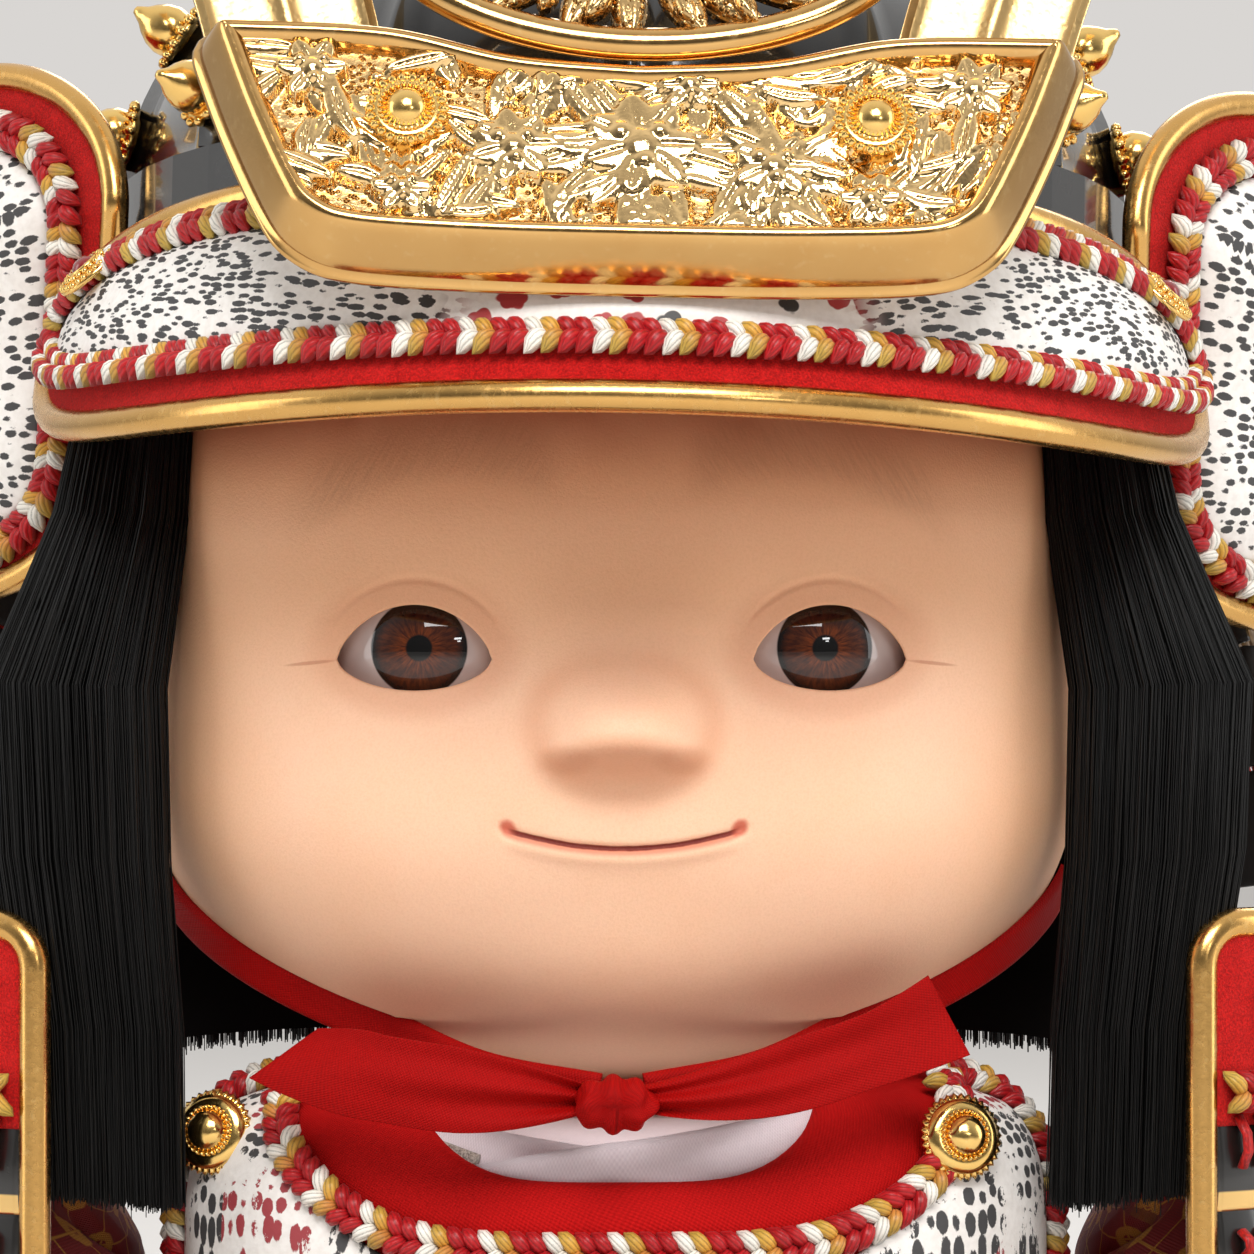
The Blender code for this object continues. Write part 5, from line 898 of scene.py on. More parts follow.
red_lacing.lay("neck_guard_lacing_red", red_silk, slot="neck_guard")
white_lacing.lay("neck_guard_lacing_white", white_silk, slot="neck_guard")

# Visor. A stiff peak covered in red felt, edged by a gilt tube. A flat silk braid runs round a field of
# printed white leather, and a beaded rivet sits at each end.
VISOR_SPAN, RIM_TUBE = math.radians(80), 0.0014
BRAID_WIDTH, BRAID_HEIGHT, BRAID_PITCH = 0.0034, 0.0021, 0.00134


def twice(measure):
    """The measure of both faces of a slab."""
    return np.concatenate([measure, measure])


def visor_spot(turn, level, offset=0.0):
    turn, level, offset = np.broadcast_arrays(turn, level, offset)
    c = np.cos(turn) ** 2
    radius = 0.050 + 0.0042 * c + level * (0.0025 + 0.0042 * c) + 0.0015 * (1 - level ** 2)
    way = unit(np.stack([0.72 * np.sin(turn), -0.72 * np.cos(turn), 0.69 + 0 * turn], -1))
    return put(polar(turn, radius, -0.0112 - 0.0105 * level) + way * offset[..., None], HELMET)


def visor_taper(turn, span):
    return np.sqrt(np.maximum(1 - (np.abs(turn) / span) ** 4, 0))


def felt(name, colour, deep, nap=0.00020):
    """Pressed wool felt: short tangled fibres, quite matt."""
    wool = Finish(name, colour, Roughness=0.9, Sheen_Weight=0.05, Specular_IOR_Level=0.15)
    hairs = wool.noise(nap, detail=4, rough=0.75)
    patch = wool.noise(0.0016, detail=2)
    tone = wool.mix(hairs.rise(0.35, 0.68), deep, colour)
    wool.show("Base Color",
              wool.mix(patch.rise(0.4, 0.8) * 0.25, tone, tuple(min(c * 1.2 + 0.012, 1) for c in colour)))
    return wool.relief(hairs, 0.00016)


red_felt = felt("red_felt", paint(214, 24, 20), paint(146, 8, 8))
turn = np.sin(np.linspace(-math.pi / 2, math.pi / 2, 150))[None, :] * VISOR_SPAN * 0.9995
share = np.linspace(-1, 1, 18)[:, None]
taper = visor_taper(turn, VISOR_SPAN)
points, faces = slab(visor_spot(turn, share * taper), visor_spot(turn, share * taper, -0.0011))
lay("visor_felt", points, faces, red_felt, ("visor",))


def visor_loop(span, low, high, count):
    """The turns and levels once round a strip of the visor, evenly spread."""
    turn = np.sin(np.linspace(-math.pi / 2, math.pi / 2, 400)) * span
    taper = visor_taper(turn, span)
    middle, half = (low + high) / 2, (high - low) / 2
    pairs = np.concatenate([np.stack([turn, middle + half * taper], 1),
                            np.stack([turn, middle - half * taper], 1)[::-1][1:-1]])
    spots = visor_spot(pairs[:, 0], pairs[:, 1])
    closed = np.concatenate([spots, spots[:1]])
    gone = distances(closed)
    wanted = np.linspace(0, gone[-1], count, endpoint=False)
    pairs = np.concatenate([pairs, pairs[:1]])
    return np.interp(wanted, gone, pairs[:, 0]), np.interp(wanted, gone, pairs[:, 1]), gone[-1]


turns, levels, _ = visor_loop(VISOR_SPAN, -1, 1, 360)
rim_gold = gilt("rim_gilt", (0.70, 0.41, 0.13), 0.20, 0.0008, 0.00002)
points, faces = run(visor_spot(turns, levels, -0.0004),
                    visor_spot(turns, levels, 0.01) - visor_spot(turns, levels),
                    rod(RIM_TUBE, 16), True)
lay("visor_rim_gilt", points, faces, rim_gold, ("visor_rim",))

BRAID_RED, BRAID_WHITE, BRAID_GOLD = paint(176, 16, 24), paint(240, 236, 226), paint(222, 156, 58)
BRAID_OLIVE, BRAID_ORANGE = paint(186, 158, 70), paint(206, 122, 60)
BRAID_ORDER = (BRAID_RED, BRAID_RED, BRAID_WHITE, BRAID_GOLD)
braid_silk = Finish("braid_silk", BRAID_RED, Roughness=0.40, Sheen_Weight=0.05, Specular_IOR_Level=0.4)
dye = braid_silk.node("Attribute", {"attribute_name": "tint"}, output=0)
u, v = braid_silk.cloth_axes()
thread = (u * 2 * math.pi).sine() * 0.5 + 0.5
thread = thread * 0.8 + braid_silk.noise(0.00012, detail=2) * 0.4
braid_silk.show("Base Color",
                braid_silk.mix(thread.rise(0.05, 0.55), braid_silk.mix(0.55, dye, (0, 0, 0)), dye))
braid_silk.relief(thread, 0.00006, 1.0)


def lobe(length, width, height, rings=6, sides=8):
    """One fat loop of silk, a long bean with its thread lines measured round it."""
    share = np.linspace(0, 1, rings)
    swellings = np.maximum(1 - np.abs(2 * share - 1) ** 2.6, 0.002) ** 0.5
    turn = circle(sides)
    dip = -height * 0.42 * (2 * share - 1) ** 2
    points = np.stack([np.repeat(((share - 0.5) * length)[:, None], sides, 1),
                       swellings[:, None] * np.cos(turn)[None] * width / 2,
                       swellings[:, None] * np.sin(turn)[None] * height / 2 + dip[:, None]], -1)
    measure = np.stack([np.repeat((turn / (2 * math.pi) * 9)[None], rings, 0),
                        np.repeat(share[:, None], sides, 1)], -1)
    return points.reshape(-1, 3), capped(rings, sides), measure.reshape(-1, 2)


def braid(heap, path, ups, closed=False, width=BRAID_WIDTH, height=BRAID_HEIGHT, order=BRAID_ORDER, first=0):
    """A flat braid along a line: two rows of lobes that lean in to the middle, like arrow heads."""
    points, faces, measure = lobe(width * 0.84, BRAID_PITCH * 1.06, height * 0.86)
    along, aside, up = frames_along(path, ups, closed)
    lean = math.radians(46)
    sway = np.random.default_rng(11 + first)
    for k in range(len(path)):
        for side in (-1, 1):
            ahead = math.cos(lean) * along[k] - side * math.sin(lean) * aside[k]
            across = math.sin(lean) * along[k] * side + math.cos(lean) * aside[k]
            axis = np.stack([ahead, across, up[k]], 1)
            middle = path[k] + aside[k] * side * width * 0.235 + up[k] * height * 0.5
            middle = middle + along[k] * (0.18 if side > 0 else -0.18) * BRAID_PITCH
            spots = points * sway.uniform(0.95, 1.05, 3) @ axis.T + middle
            tone = np.array(order[(k + first) % len(order)])
            if 0.2 < tone[1] < 0.6:
                share = measure[:, 1:2]
                far_tone = np.array(BRAID_ORANGE if side > 0 else BRAID_GOLD)
                tone = np.array(BRAID_OLIVE) * (1 - share) + far_tone * share
            heap.add(spots, [np.asarray(f) for f in faces], tone * sway.uniform(0.88, 1.08), measure)


braid_span = VISOR_SPAN - 0.00415 / 0.050
_, _, length = visor_loop(braid_span, -0.683, 0.602, 10)
turns, levels, _ = visor_loop(braid_span, -0.683, 0.602, int(length / BRAID_PITCH / 4) * 4)
visor_braid = Heap()
braid(visor_braid, visor_spot(turns, levels, 0.0001),
      visor_spot(turns, levels, 0.01) - visor_spot(turns, levels), True)
visor_braid.lay("visor_braid_silk", braid_silk, ("visor_braid",))

leather = Finish("printed_leather", paint(236, 233, 228), Roughness=0.62)
u, v = leather.cloth_axes()
flow = leather.noise(1.0, leather.at(u * 0.55, v * 0.9, 3.0), detail=1) - 0.5
flow_more = leather.noise(1.0, leather.at(u * 0.55 + 9.0, v * 0.9, 7.0), detail=1) - 0.5
rough_edge = leather.noise(0.030, leather.at(u, v), detail=3, rough=0.7) - 0.5
dash_place = leather.at(u / 0.170 + flow * 2.4, v / 0.056 + flow_more * 4.2 + abs(u) * 2.6)
dash = leather.cells(1.0, dash_place, 0.75) + rough_edge * 0.30
dash = dash.fall(0.43, 0.49)
blot_place = leather.at(u / 0.30 + 0.3, v / 0.30 + 0.15)
blot = leather.cells(1.0, blot_place, 0.55) + (leather.cells(0.11, leather.at(u, v), 0.8) - 0.45) * 0.20
blot = blot.fall(0.40, 0.44)
dyed = leather.cells(1.0, blot_place, 0.55, output=1)
which = leather.axes(dyed)[0]
middle = abs(u - 0.20).fall(1.35, 1.75)
ink = leather.mix((which + (v * 0.2)).rise(0.40, 0.44), paint(24, 24, 28), paint(166, 14, 24))
ink = leather.mix(middle, paint(24, 24, 28), ink)
marks = dash * (1 - middle) + (blot * middle) * (which.rise(0.10, 0.12))
hide = leather.noise(0.0007, detail=3)
ground = leather.mix(hide.rise(0.3, 0.8) * 0.35, paint(240, 237, 233), paint(205, 198, 190))
leather.show("Base Color", leather.mix(marks * 0.96, ground, ink))
leather.show("Roughness", 0.66 - marks * 0.12)
leather.relief(hide + marks * 0.5, 0.00007, 0.7)

leather_span = braid_span - BRAID_WIDTH * 0.42 / 0.050
turn = np.sin(np.linspace(-math.pi / 2, math.pi / 2, 130))[None, :] * leather_span * 0.999
taper = visor_taper(turn, leather_span)
share = np.linspace(-1, 1, 16)[:, None]
level = -0.0405 + share * 0.56 * taper
lift = 0.0004 + 0.0009 * (1 - share ** 4) * taper
top, under = visor_spot(turn, level, lift), visor_spot(turn, level, 0.0001)
points, faces = slab(top, under)
measure = measured(turn * 5.3, share * 0.62 * taper)
lay("visor_leather_print", points, faces, leather, ("visor_leather",), cut=twice(measure))

ruby = Finish("rivet_red", paint(120, 10, 12), Roughness=0.25, Coat_Weight=1.0, Coat_Roughness=0.04)
ruby.show("Base Color", ruby.mix(ruby.noise(0.0008), paint(150, 16, 14), paint(84, 6, 8)))
rivets, gems = Heap(), Heap()
for side in (-1, 1):
    turn_at = side * VISOR_SPAN * 0.80
    level_at = -0.0405 - 0.52 * float(visor_taper(turn_at, leather_span))
    foot = visor_spot(turn_at, level_at, 0.0016)
    way = visor_spot(turn_at, level_at, 0.01) - visor_spot(turn_at, level_at)
    place = stand(foot, way)
    disc = turned([(0, 0), (.0030, 0), (.0031, .0003), (.0026, .0006), (.0016, .0008), (0, .0008)], 36)
    rivets.set_in(disc, place)
    beads(rivets, place, 0.00275, 0.00034, 26, 0.0005)
    beads(rivets, place, 0.00195, 0.00034, 18, 0.0008)
    cup = ring(0.00135, 0.00022, 28, 8, 0.0010)
    rivets.set_in(cup, place)
    dome = turned([(0, .0006), (.00125, .0006), (.0011, .0012), (.0006, .0016), (0, .0017)], 24)
    gems.set_in(dome, place)
rivets.lay("visor_rivets", bright_gold, slot="visor_braid")
gems.lay("visor_rivet_centres", ruby, slot="visor_braid")

# Front plate. One thick gilt casting: a smooth raised border and a wide bevelled wall round a field of
# pressed leaves, buds and blossoms on stippled ground, held by two studs with beaded washers.
PLATE_LEAN, PLATE_FORWARD, PLATE_DROP = math.radians(-21), 0.0634, 0.0098
PLATE = HELMET @ Matrix.Translation((0, -PLATE_FORWARD, -PLATE_DROP)) @ Matrix.Rotation(PLATE_LEAN, 4, "X")
PLATE_HALF, PLATE_BASE, RELIEF_FLOOR = 0.0350, 0.0283, 0.0013
foot_line = smooth([(0, 0), (PLATE_BASE * .45, .0001), (PLATE_BASE * .82, .0007), (PLATE_BASE * .95, .0022),
                    (PLATE_BASE * 1.02, .0048), (PLATE_HALF * .92, .0125), (PLATE_HALF, .0205)], 240)
top_line = smooth([(PLATE_HALF, .0205), (PLATE_HALF * .60, .0201), (PLATE_HALF * .30, .0177), (0, .0169)],
                  120)


def mirrored(right):
    return np.concatenate([right, right[::-1][1:-1] * [-1, 1]])


plate_edge = even(mirrored(np.concatenate([foot_line, top_line[1:]])), 520, True)
for _ in range(10):
    plate_edge = (np.roll(plate_edge, 1, 0) + 2 * plate_edge + np.roll(plate_edge, -1, 0)) / 4
edge_out = np.roll(plate_edge, -1, 0) - np.roll(plate_edge, 1, 0)
edge_out = unit(np.stack([edge_out[:, 1], -edge_out[:, 0]], 1))


def on_plate(flat, depth):
    """Points of the plate's own plane, depth behind its face."""
    flat = np.asarray(flat)
    return put(np.stack([flat[..., 0], np.broadcast_to(depth, flat[..., 0].shape), flat[..., 1]], -1), PLATE)


mirror_gold = gilt("casting_gilt", (0.68, 0.41, 0.15), 0.10, 0.0009, 0.00001)
border = Heap()
steps = [(-.0021, .0014), (-.0020, .0006), (-.0017, .0001), (-.0012, -.0004), (-.0008, -.0005),
         (-.0003, -.0002),
         (0, .0003), (.0002, .0007), (.0007, .0020), (.0012, .0034), (.0015, .0043), (.0015, .0045),
         (.0020, .0047),
         (.0022, .0050), (.0020, .0055), (.0012, .0057)]
rows = np.stack([on_plate(plate_edge + edge_out * away, depth) for away, depth in steps])
border.add(rows.reshape(-1, 3), [net(len(steps), len(plate_edge), True),
                                 np.arange(len(plate_edge))[None] + (len(steps) - 1) * len(plate_edge)])
border.lay("front_plate_border", mirror_gold, ("front_plate",))


def leaf_shape(along, across, length, width):
    """Height from 0 to 1 of a lens-shaped leaf with a rib, and 0 outside it."""
    share = along / length
    half = width / 2 * np.maximum(np.sin(np.clip(share, 0, 1) * math.pi), 0) ** 0.6
    inside = (share > 0) & (share < 1) & (np.abs(across) < half)
    body = np.sqrt(np.maximum(1 - (across / np.maximum(half, 1e-9)) ** 2, 0))
    body = 0.35 + 0.65 * body - 0.35 * np.exp(-(across / (width * 0.07)) ** 2)
    return np.where(inside, np.maximum(body, 0.05), 0)


u = np.sin(np.linspace(-1.35, 1.35, 360)) / math.sin(1.35) * (PLATE_HALF - 0.0012)
low = np.interp(np.abs(u), foot_line[:, 0], foot_line[:, 1])
high = np.interp(np.abs(u), top_line[::-1, 0], top_line[::-1, 1])
share = np.linspace(0.0, 1.0, 104)[:, None]
field_u = u[None] + 0 * share
field_v = low[None] + 0.0009 + (high - low - 0.0018)[None] * share
standing, dotted = np.zeros_like(field_u), np.ones_like(field_u)
pattern = np.random.default_rng(23)
BLOSSOMS = [(0.0, 0.0092, 0.0032), (-0.0103, 0.0088, 0.0024), (0.0108, 0.0074, 0.0023),
            (-0.0268, 0.0158, 0.0020),
            (0.0272, 0.0152, 0.0021), (-0.0192, 0.0046, 0.0017), (0.0186, 0.0044, 0.0018),
            (0.0040, 0.0150, 0.0017)]


def press(shape, rise, base=0.0):
    """Presses one shape into the field where it stands above what is there."""
    global standing, dotted
    height = np.where(shape > 0, base + rise * shape, 0)
    dotted = np.where(height > standing, 0.0, dotted)
    standing = np.maximum(standing, height)


for _ in range(210):
    cu, cv = pattern.uniform(-0.034, 0.034), pattern.uniform(0.001, 0.019)
    near = min(BLOSSOMS, key=lambda b: (b[0] - cu) ** 2 + (b[1] - cv) ** 2)
    way = math.atan2(cv - near[1], cu - near[0]) + pattern.uniform(-0.65, 0.65)
    length, width = pattern.uniform(0.0038, 0.0072), pattern.uniform(0.0017, 0.0029)
    du, dv = field_u - cu + math.cos(way) * length * 0.3, field_v - cv + math.sin(way) * length * 0.3
    along, across = du * math.cos(way) + dv * math.sin(way), -du * math.sin(way) + dv * math.cos(way)
    bend = pattern.uniform(-0.25, 0.25) * np.sin(np.clip(along / length, 0, 1) * math.pi) * width
    press(leaf_shape(along, across + bend, length, width), pattern.uniform(0.0007, 0.0012),
          pattern.uniform(0.0001, 0.0007))
for cu, cv, size in BLOSSOMS:
    petals = 7 if size > 0.002 else 6
    for k in range(petals):
        way = 2 * math.pi * k / petals + pattern.uniform(-0.1, 0.1)
        du, dv = field_u - cu - math.cos(way) * size * 0.25, field_v - cv - math.sin(way) * size * 0.25
        along, across = du * math.cos(way) + dv * math.sin(way), -du * math.sin(way) + dv * math.cos(way)
        shape = leaf_shape(along, across, size * 1.25, size * 1.0)
        press(shape, 0.0007, 0.0010)
    for ox, oz, part in ((0, 0, 0.55), (-0.5, 0.35, 0.36), (0.48, 0.38, 0.33), (0.1, -0.48, 0.34)):
        away = np.hypot(field_u - cu - ox * size, field_v - cv - oz * size) / (size * part)
        dome = np.sqrt(np.maximum(1 - away ** 2, 0))
        press(dome, 0.0010, 0.0010)
for _ in range(60):
    cu, cv, size = pattern.uniform(-0.033, 0.033), pattern.uniform(0.001, 0.019), pattern.uniform(0.0004, 0.0008)
    away = np.hypot(field_u - cu, field_v - cv) / size
    press(np.sqrt(np.maximum(1 - away ** 2, 0)), size * 0.9, 0.0004)
standing = standing * np.clip(share / 0.05, 0, 1) * np.clip((1 - share) / 0.05, 0, 1)
relief = on_plate(np.stack([field_u, field_v], -1), RELIEF_FLOOR - standing)
pressed = gilt("pressed_gilt", (0.86, 0.59, 0.27), 0.11, 0.0007, 0.00001)
ground_mask = pressed.axes(pressed.node("Attribute", {"attribute_name": "tint"}, output=0))[0]
points_of = pressed.cells(0.00060, feature="F1", spread=0.8).fall(0.08, 0.48)
wave = pressed.noise(0.0008, detail=2)
hollow = ground_mask * (0.45 + points_of * 0.55)
pressed.show("Base Color", pressed.mix(hollow * 0.85, (0.86, 0.59, 0.27), (0.30, 0.16, 0.05)))
pressed.show("Roughness", 0.12 + hollow * 0.25)
pressed.relief(points_of * ground_mask + wave * 0.25, 0.00030, 0.95)
tint = np.repeat(dotted.reshape(-1, 1), 3, 1)
rows, columns = relief.shape[:2]
lay("front_plate_relief", relief.reshape(-1, 3), net(rows, columns), pressed, tint=tint, slot="front_plate")
plate_studs = Heap()
for side in (-1, 1):
    place = PLATE @ Matrix.Translation((side * 0.0190, -0.0002,
                                        0.0115)) @ Matrix.Rotation(math.radians(90), 4, "X")
    disc = turned([(0, -.001), (.0028, -.001), (.0031, .0002), (.0031, .0007), (.0024, .0010),
                   (.0021, .0009), (.0017, .0010),
                   (.0016, .0014), (.0012, .0019), (.0006, .0022), (0, .0023)], 48)
    plate_studs.set_in(disc, place)
    beads(plate_studs, place, 0.00295, 0.00042, 22, 0.0007, 1.25)
    beads(plate_studs, place, 0.00215, 0.00024, 26, 0.0011)
plate_studs.lay("front_plate_studs", bright_gold, slot="front_plate")

# Crest and horns. An openwork gilt medallion of leaves and a blossom inside an oval tube stands on the
# plate; two flat sheet-metal horns spread behind it, each with a stamped border and middle rib.
CREST_HALF, CREST_UP, CREST_TUBE, CREST_MIDDLE = 0.0215, 0.0120, 0.0014, 0.0308
turn = circle(140)
oval = np.stack([CREST_HALF * np.cos(turn), CREST_MIDDLE + CREST_UP * np.sin(turn)], 1)
facing = on_plate([[0, 0]], -1)[0] - on_plate([[0, 0]], 0)[0]
points, faces = run(on_plate(oval, 0.0), facing, rod(CREST_TUBE, 18), True)
lay("crest_ring", points, faces, mirror_gold, ("front_crest",))
openwork = Heap()


def cast_leaf(heap, root, way, length, width, depth, place, rise=0.0011):
    """A domed leaf in the plate's plane, closed at the back."""
    share = np.linspace(0, 1, 15)[:, None]
    across = np.linspace(-1, 1, 11)[None, :]
    half = width / 2 * np.sin(np.clip(share, 0.02, 0.98) * math.pi) ** 0.7
    flat = np.stack(np.broadcast_arrays(share * length, across * half), -1)
    turn_to = np.array([[math.cos(way), math.sin(way)], [-math.sin(way), math.cos(way)]])
    flat = flat @ turn_to + np.asarray(root)
    body = (1 - across ** 2) ** 0.6 - 0.35 * np.exp(-(across / 0.14) ** 2)
    lift = rise * body * np.sin(np.clip(share, 0.05, 0.95) * math.pi) ** 0.5 + 0.0005 * share
    outer = put(np.stack([flat[..., 0], depth - lift, flat[..., 1]], -1), place)
    inner = put(np.stack([flat[..., 0], depth + 0.0006 + 0 * lift, flat[..., 1]], -1), place)
    points, faces = slab(outer, inner)
    heap.add(points, faces)


for k in range(22):
    way = 2 * math.pi * k / 22 + pattern.uniform(-0.07, 0.07)
    reach = pattern.uniform(0.30, 0.42)
    root = (CREST_HALF * reach * math.cos(way), CREST_MIDDLE + CREST_UP * reach * math.sin(way))
    tip = (CREST_HALF * 0.97 * math.cos(way + 0.12), CREST_MIDDLE + CREST_UP * 0.97 * math.sin(way + 0.12))
    cast_leaf(openwork, root, math.atan2(tip[1] - root[1], tip[0] - root[0]), math.dist(root, tip),
              pattern.uniform(0.0024, 0.0034), pattern.uniform(-0.0004, 0.0008), PLATE)
for k in range(16):
    way = 2 * math.pi * (k + 0.5) / 16
    root = (CREST_HALF * 0.60 * math.cos(way), CREST_MIDDLE + CREST_UP * 0.60 * math.sin(way))
    cast_leaf(openwork, root, way + pattern.uniform(-0.9, 0.9), pattern.uniform(0.0034, 0.0050), 0.0019,
              -0.0006, PLATE)
for layer, (count, length, width, up) in enumerate(((9, 0.0058, 0.0034, -0.0004),
                                                    (7, 0.0040, 0.0026, -0.0013))):
    for k in range(count):
        cast_leaf(openwork, (0, CREST_MIDDLE), 2 * math.pi * (k + layer * 0.5) / count, length, width, up,
                  PLATE)
boss = PLATE @ Matrix.Translation((0, -0.0014, CREST_MIDDLE)) @ Matrix.Rotation(math.radians(90), 4, "X")
dome = turned([(0, -.001), (.0019, -.001), (.0019, .0002), (.0015, .0009), (.0008, .0013), (0, .0014)], 28)
openwork.set_in(dome, boss)
beads(openwork, boss, 0.0021, 0.00034, 18, 0.0003)
openwork.lay("crest_openwork", pressed, slot="front_crest")

HORN_LENGTH = 0.100
HORN = HELMET @ Matrix.Translation((0, -PLATE_FORWARD + 0.0096,
                                    -PLATE_DROP)) @ Matrix.Rotation(math.radians(-12), 4, "X")
HORN_ROWS = ((.12, .0205, .0345), (.20, .0215, .0362), (.30, .0245, .0395), (.42, .0300, .0445),
             (.56, .0375, .0520),
             (.70, .0435, .0600), (.84, .0455, .0665), (.93, .0445, .0690), (1.0, .0435, .0702))
brushed = Finish("horn_gilt", (0.60, 0.41, 0.17), Metallic=1.0, Roughness=0.34)
x, y, z = brushed.axes()
rub = brushed.noise(0.0007, brushed.at(x, y, z * 0.06), detail=3, rough=0.7)
stipple = brushed.cells(0.0007, spread=1.0).fall(0.1, 0.5)
brushed.show("Base Color", brushed.mix(rub.rise(0.3, 0.75) * 0.4, (0.62, 0.42, 0.18), (0.46, 0.29, 0.11)))
brushed.show("Roughness", 0.27 + rub * 0.16)
brushed.relief(rub * 0.4 + stipple * 0.6, 0.00004, 0.7)
spread_rows = smooth(HORN_ROWS, 110)
for side, word in SIDES:
    share, inner_x, outer_x = spread_rows.T
    across = np.concatenate([[0, .006, .05, .065], np.linspace(.10, .44, 8), [.47, .5, .53],
                             np.linspace(.56, .90, 8), [.935, .95, .994, 1]])
    flat_x = inner_x[:, None] + (outer_x - inner_x)[:, None] * across[None]
    notch = 0.0100 * np.maximum(1 - np.abs(across - 0.5) / 0.5, 0)[None] * np.clip((share - 0.86) / 0.14, 0,
                                                                                   1)[:, None]
    flat_z = share[:, None] * HORN_LENGTH - notch
    edge = np.minimum(across, 1 - across)[None] * (outer_x - inner_x)[:, None]
    lift = 0.0004 * np.clip(1 - np.abs(edge - 0.0007) / 0.0006, 0, 1)
    lift = lift + 0.0005 * np.exp(-((across - 0.5) / 0.045) ** 2)[None]
    lift = np.where(across[None] * (1 - across[None]) == 0, 0, lift)
    front = put(np.stack([side * flat_x, -lift, flat_z], -1), HORN)
    back = put(np.stack([side * flat_x, 0.0012 - lift * 0.5, flat_z], -1), HORN)
    points, faces = slab(front, back)
    horn = lay("horn_sheet_" + word, points, faces, brushed, ("horn_" + word,))
    horn.data.set_sharp_from_angle(angle=math.radians(50))

# Turnbacks. The ends of the top lame curl forward beside the visor: red felt on a board with a gilt
# edge, a silk braid inside it and a stuffed pad of printed leather in the middle.
TURN_TOP, TURN_TOP_R, TURN_LOW, TURN_LOW_R = (0.0599, 0.0015), 0.0143, (0.0585, -0.0185), 0.0120
TURN_BOARD, TURN_RIM, TURN_PAD = 0.0011, 0.0013, 0.0030
BOARD_POINTS, BOARD_ROWS, PAD_POINTS = 160, 26, 150


def dish(rows, columns):
    """The faces of a domed face of closing rows and one flat ring behind it."""
    first = np.arange(columns)
    behind = first + rows * columns
    wall = np.stack([first, np.roll(first, -1), np.roll(behind, -1), behind], 1)
    return [net(rows, columns, True), first[None] + (rows - 1) * columns, wall[:, ::-1], behind[None, ::-1]]


def egg(shrink, count, drop=0.0):
    """The turnback's outline as (out, up), shrunk all round."""
    (x1, z1), (x2, z2) = TURN_TOP, TURN_LOW
    r1, r2 = TURN_TOP_R - shrink, TURN_LOW_R - shrink
    away = math.atan2(z1 - z2, x1 - x2)
    lean = math.acos((r1 - r2) / math.hypot(x1 - x2, z1 - z2))
    a = away - (math.pi - lean) + np.linspace(0, 2 * (math.pi - lean), 90)
    b = away + (math.pi - lean) + np.linspace(0, 2 * lean, 40)
    pairs = np.concatenate([np.stack([x1 + r1 * np.cos(a), z1 + r1 * np.sin(a)], 1),
                            np.stack([x2 + r2 * np.cos(b), z2 + r2 * np.sin(b)], 1)])
    return even(pairs, count, True) - [0, drop]


def turnback_spot(side, pairs, offset=0.0):
    """The curled board of one side at (out, up), offset towards the front."""
    pairs = np.asarray(pairs)
    out, up = pairs[..., 0], pairs[..., 1]
    near = TURN_TOP[0] - TURN_TOP_R

    def curl(out, up):
        depth = -0.0151 + 1.05 * (out - near) + 9 * np.maximum(out - near - 0.012, 0) ** 2
        depth = depth + 0.0056 * np.sin(np.clip((TURN_TOP[1] - up) / 0.0190, 0, 1) * math.pi / 2)
        return np.stack([side * out, depth, up], -1)

    spot = curl(out, up)
    way = unit(np.cross(curl(out + 1e-5, up) - spot, curl(out, up + 1e-5) - spot)) * side
    return put(spot + way * np.asarray(offset)[..., None], HELMET)


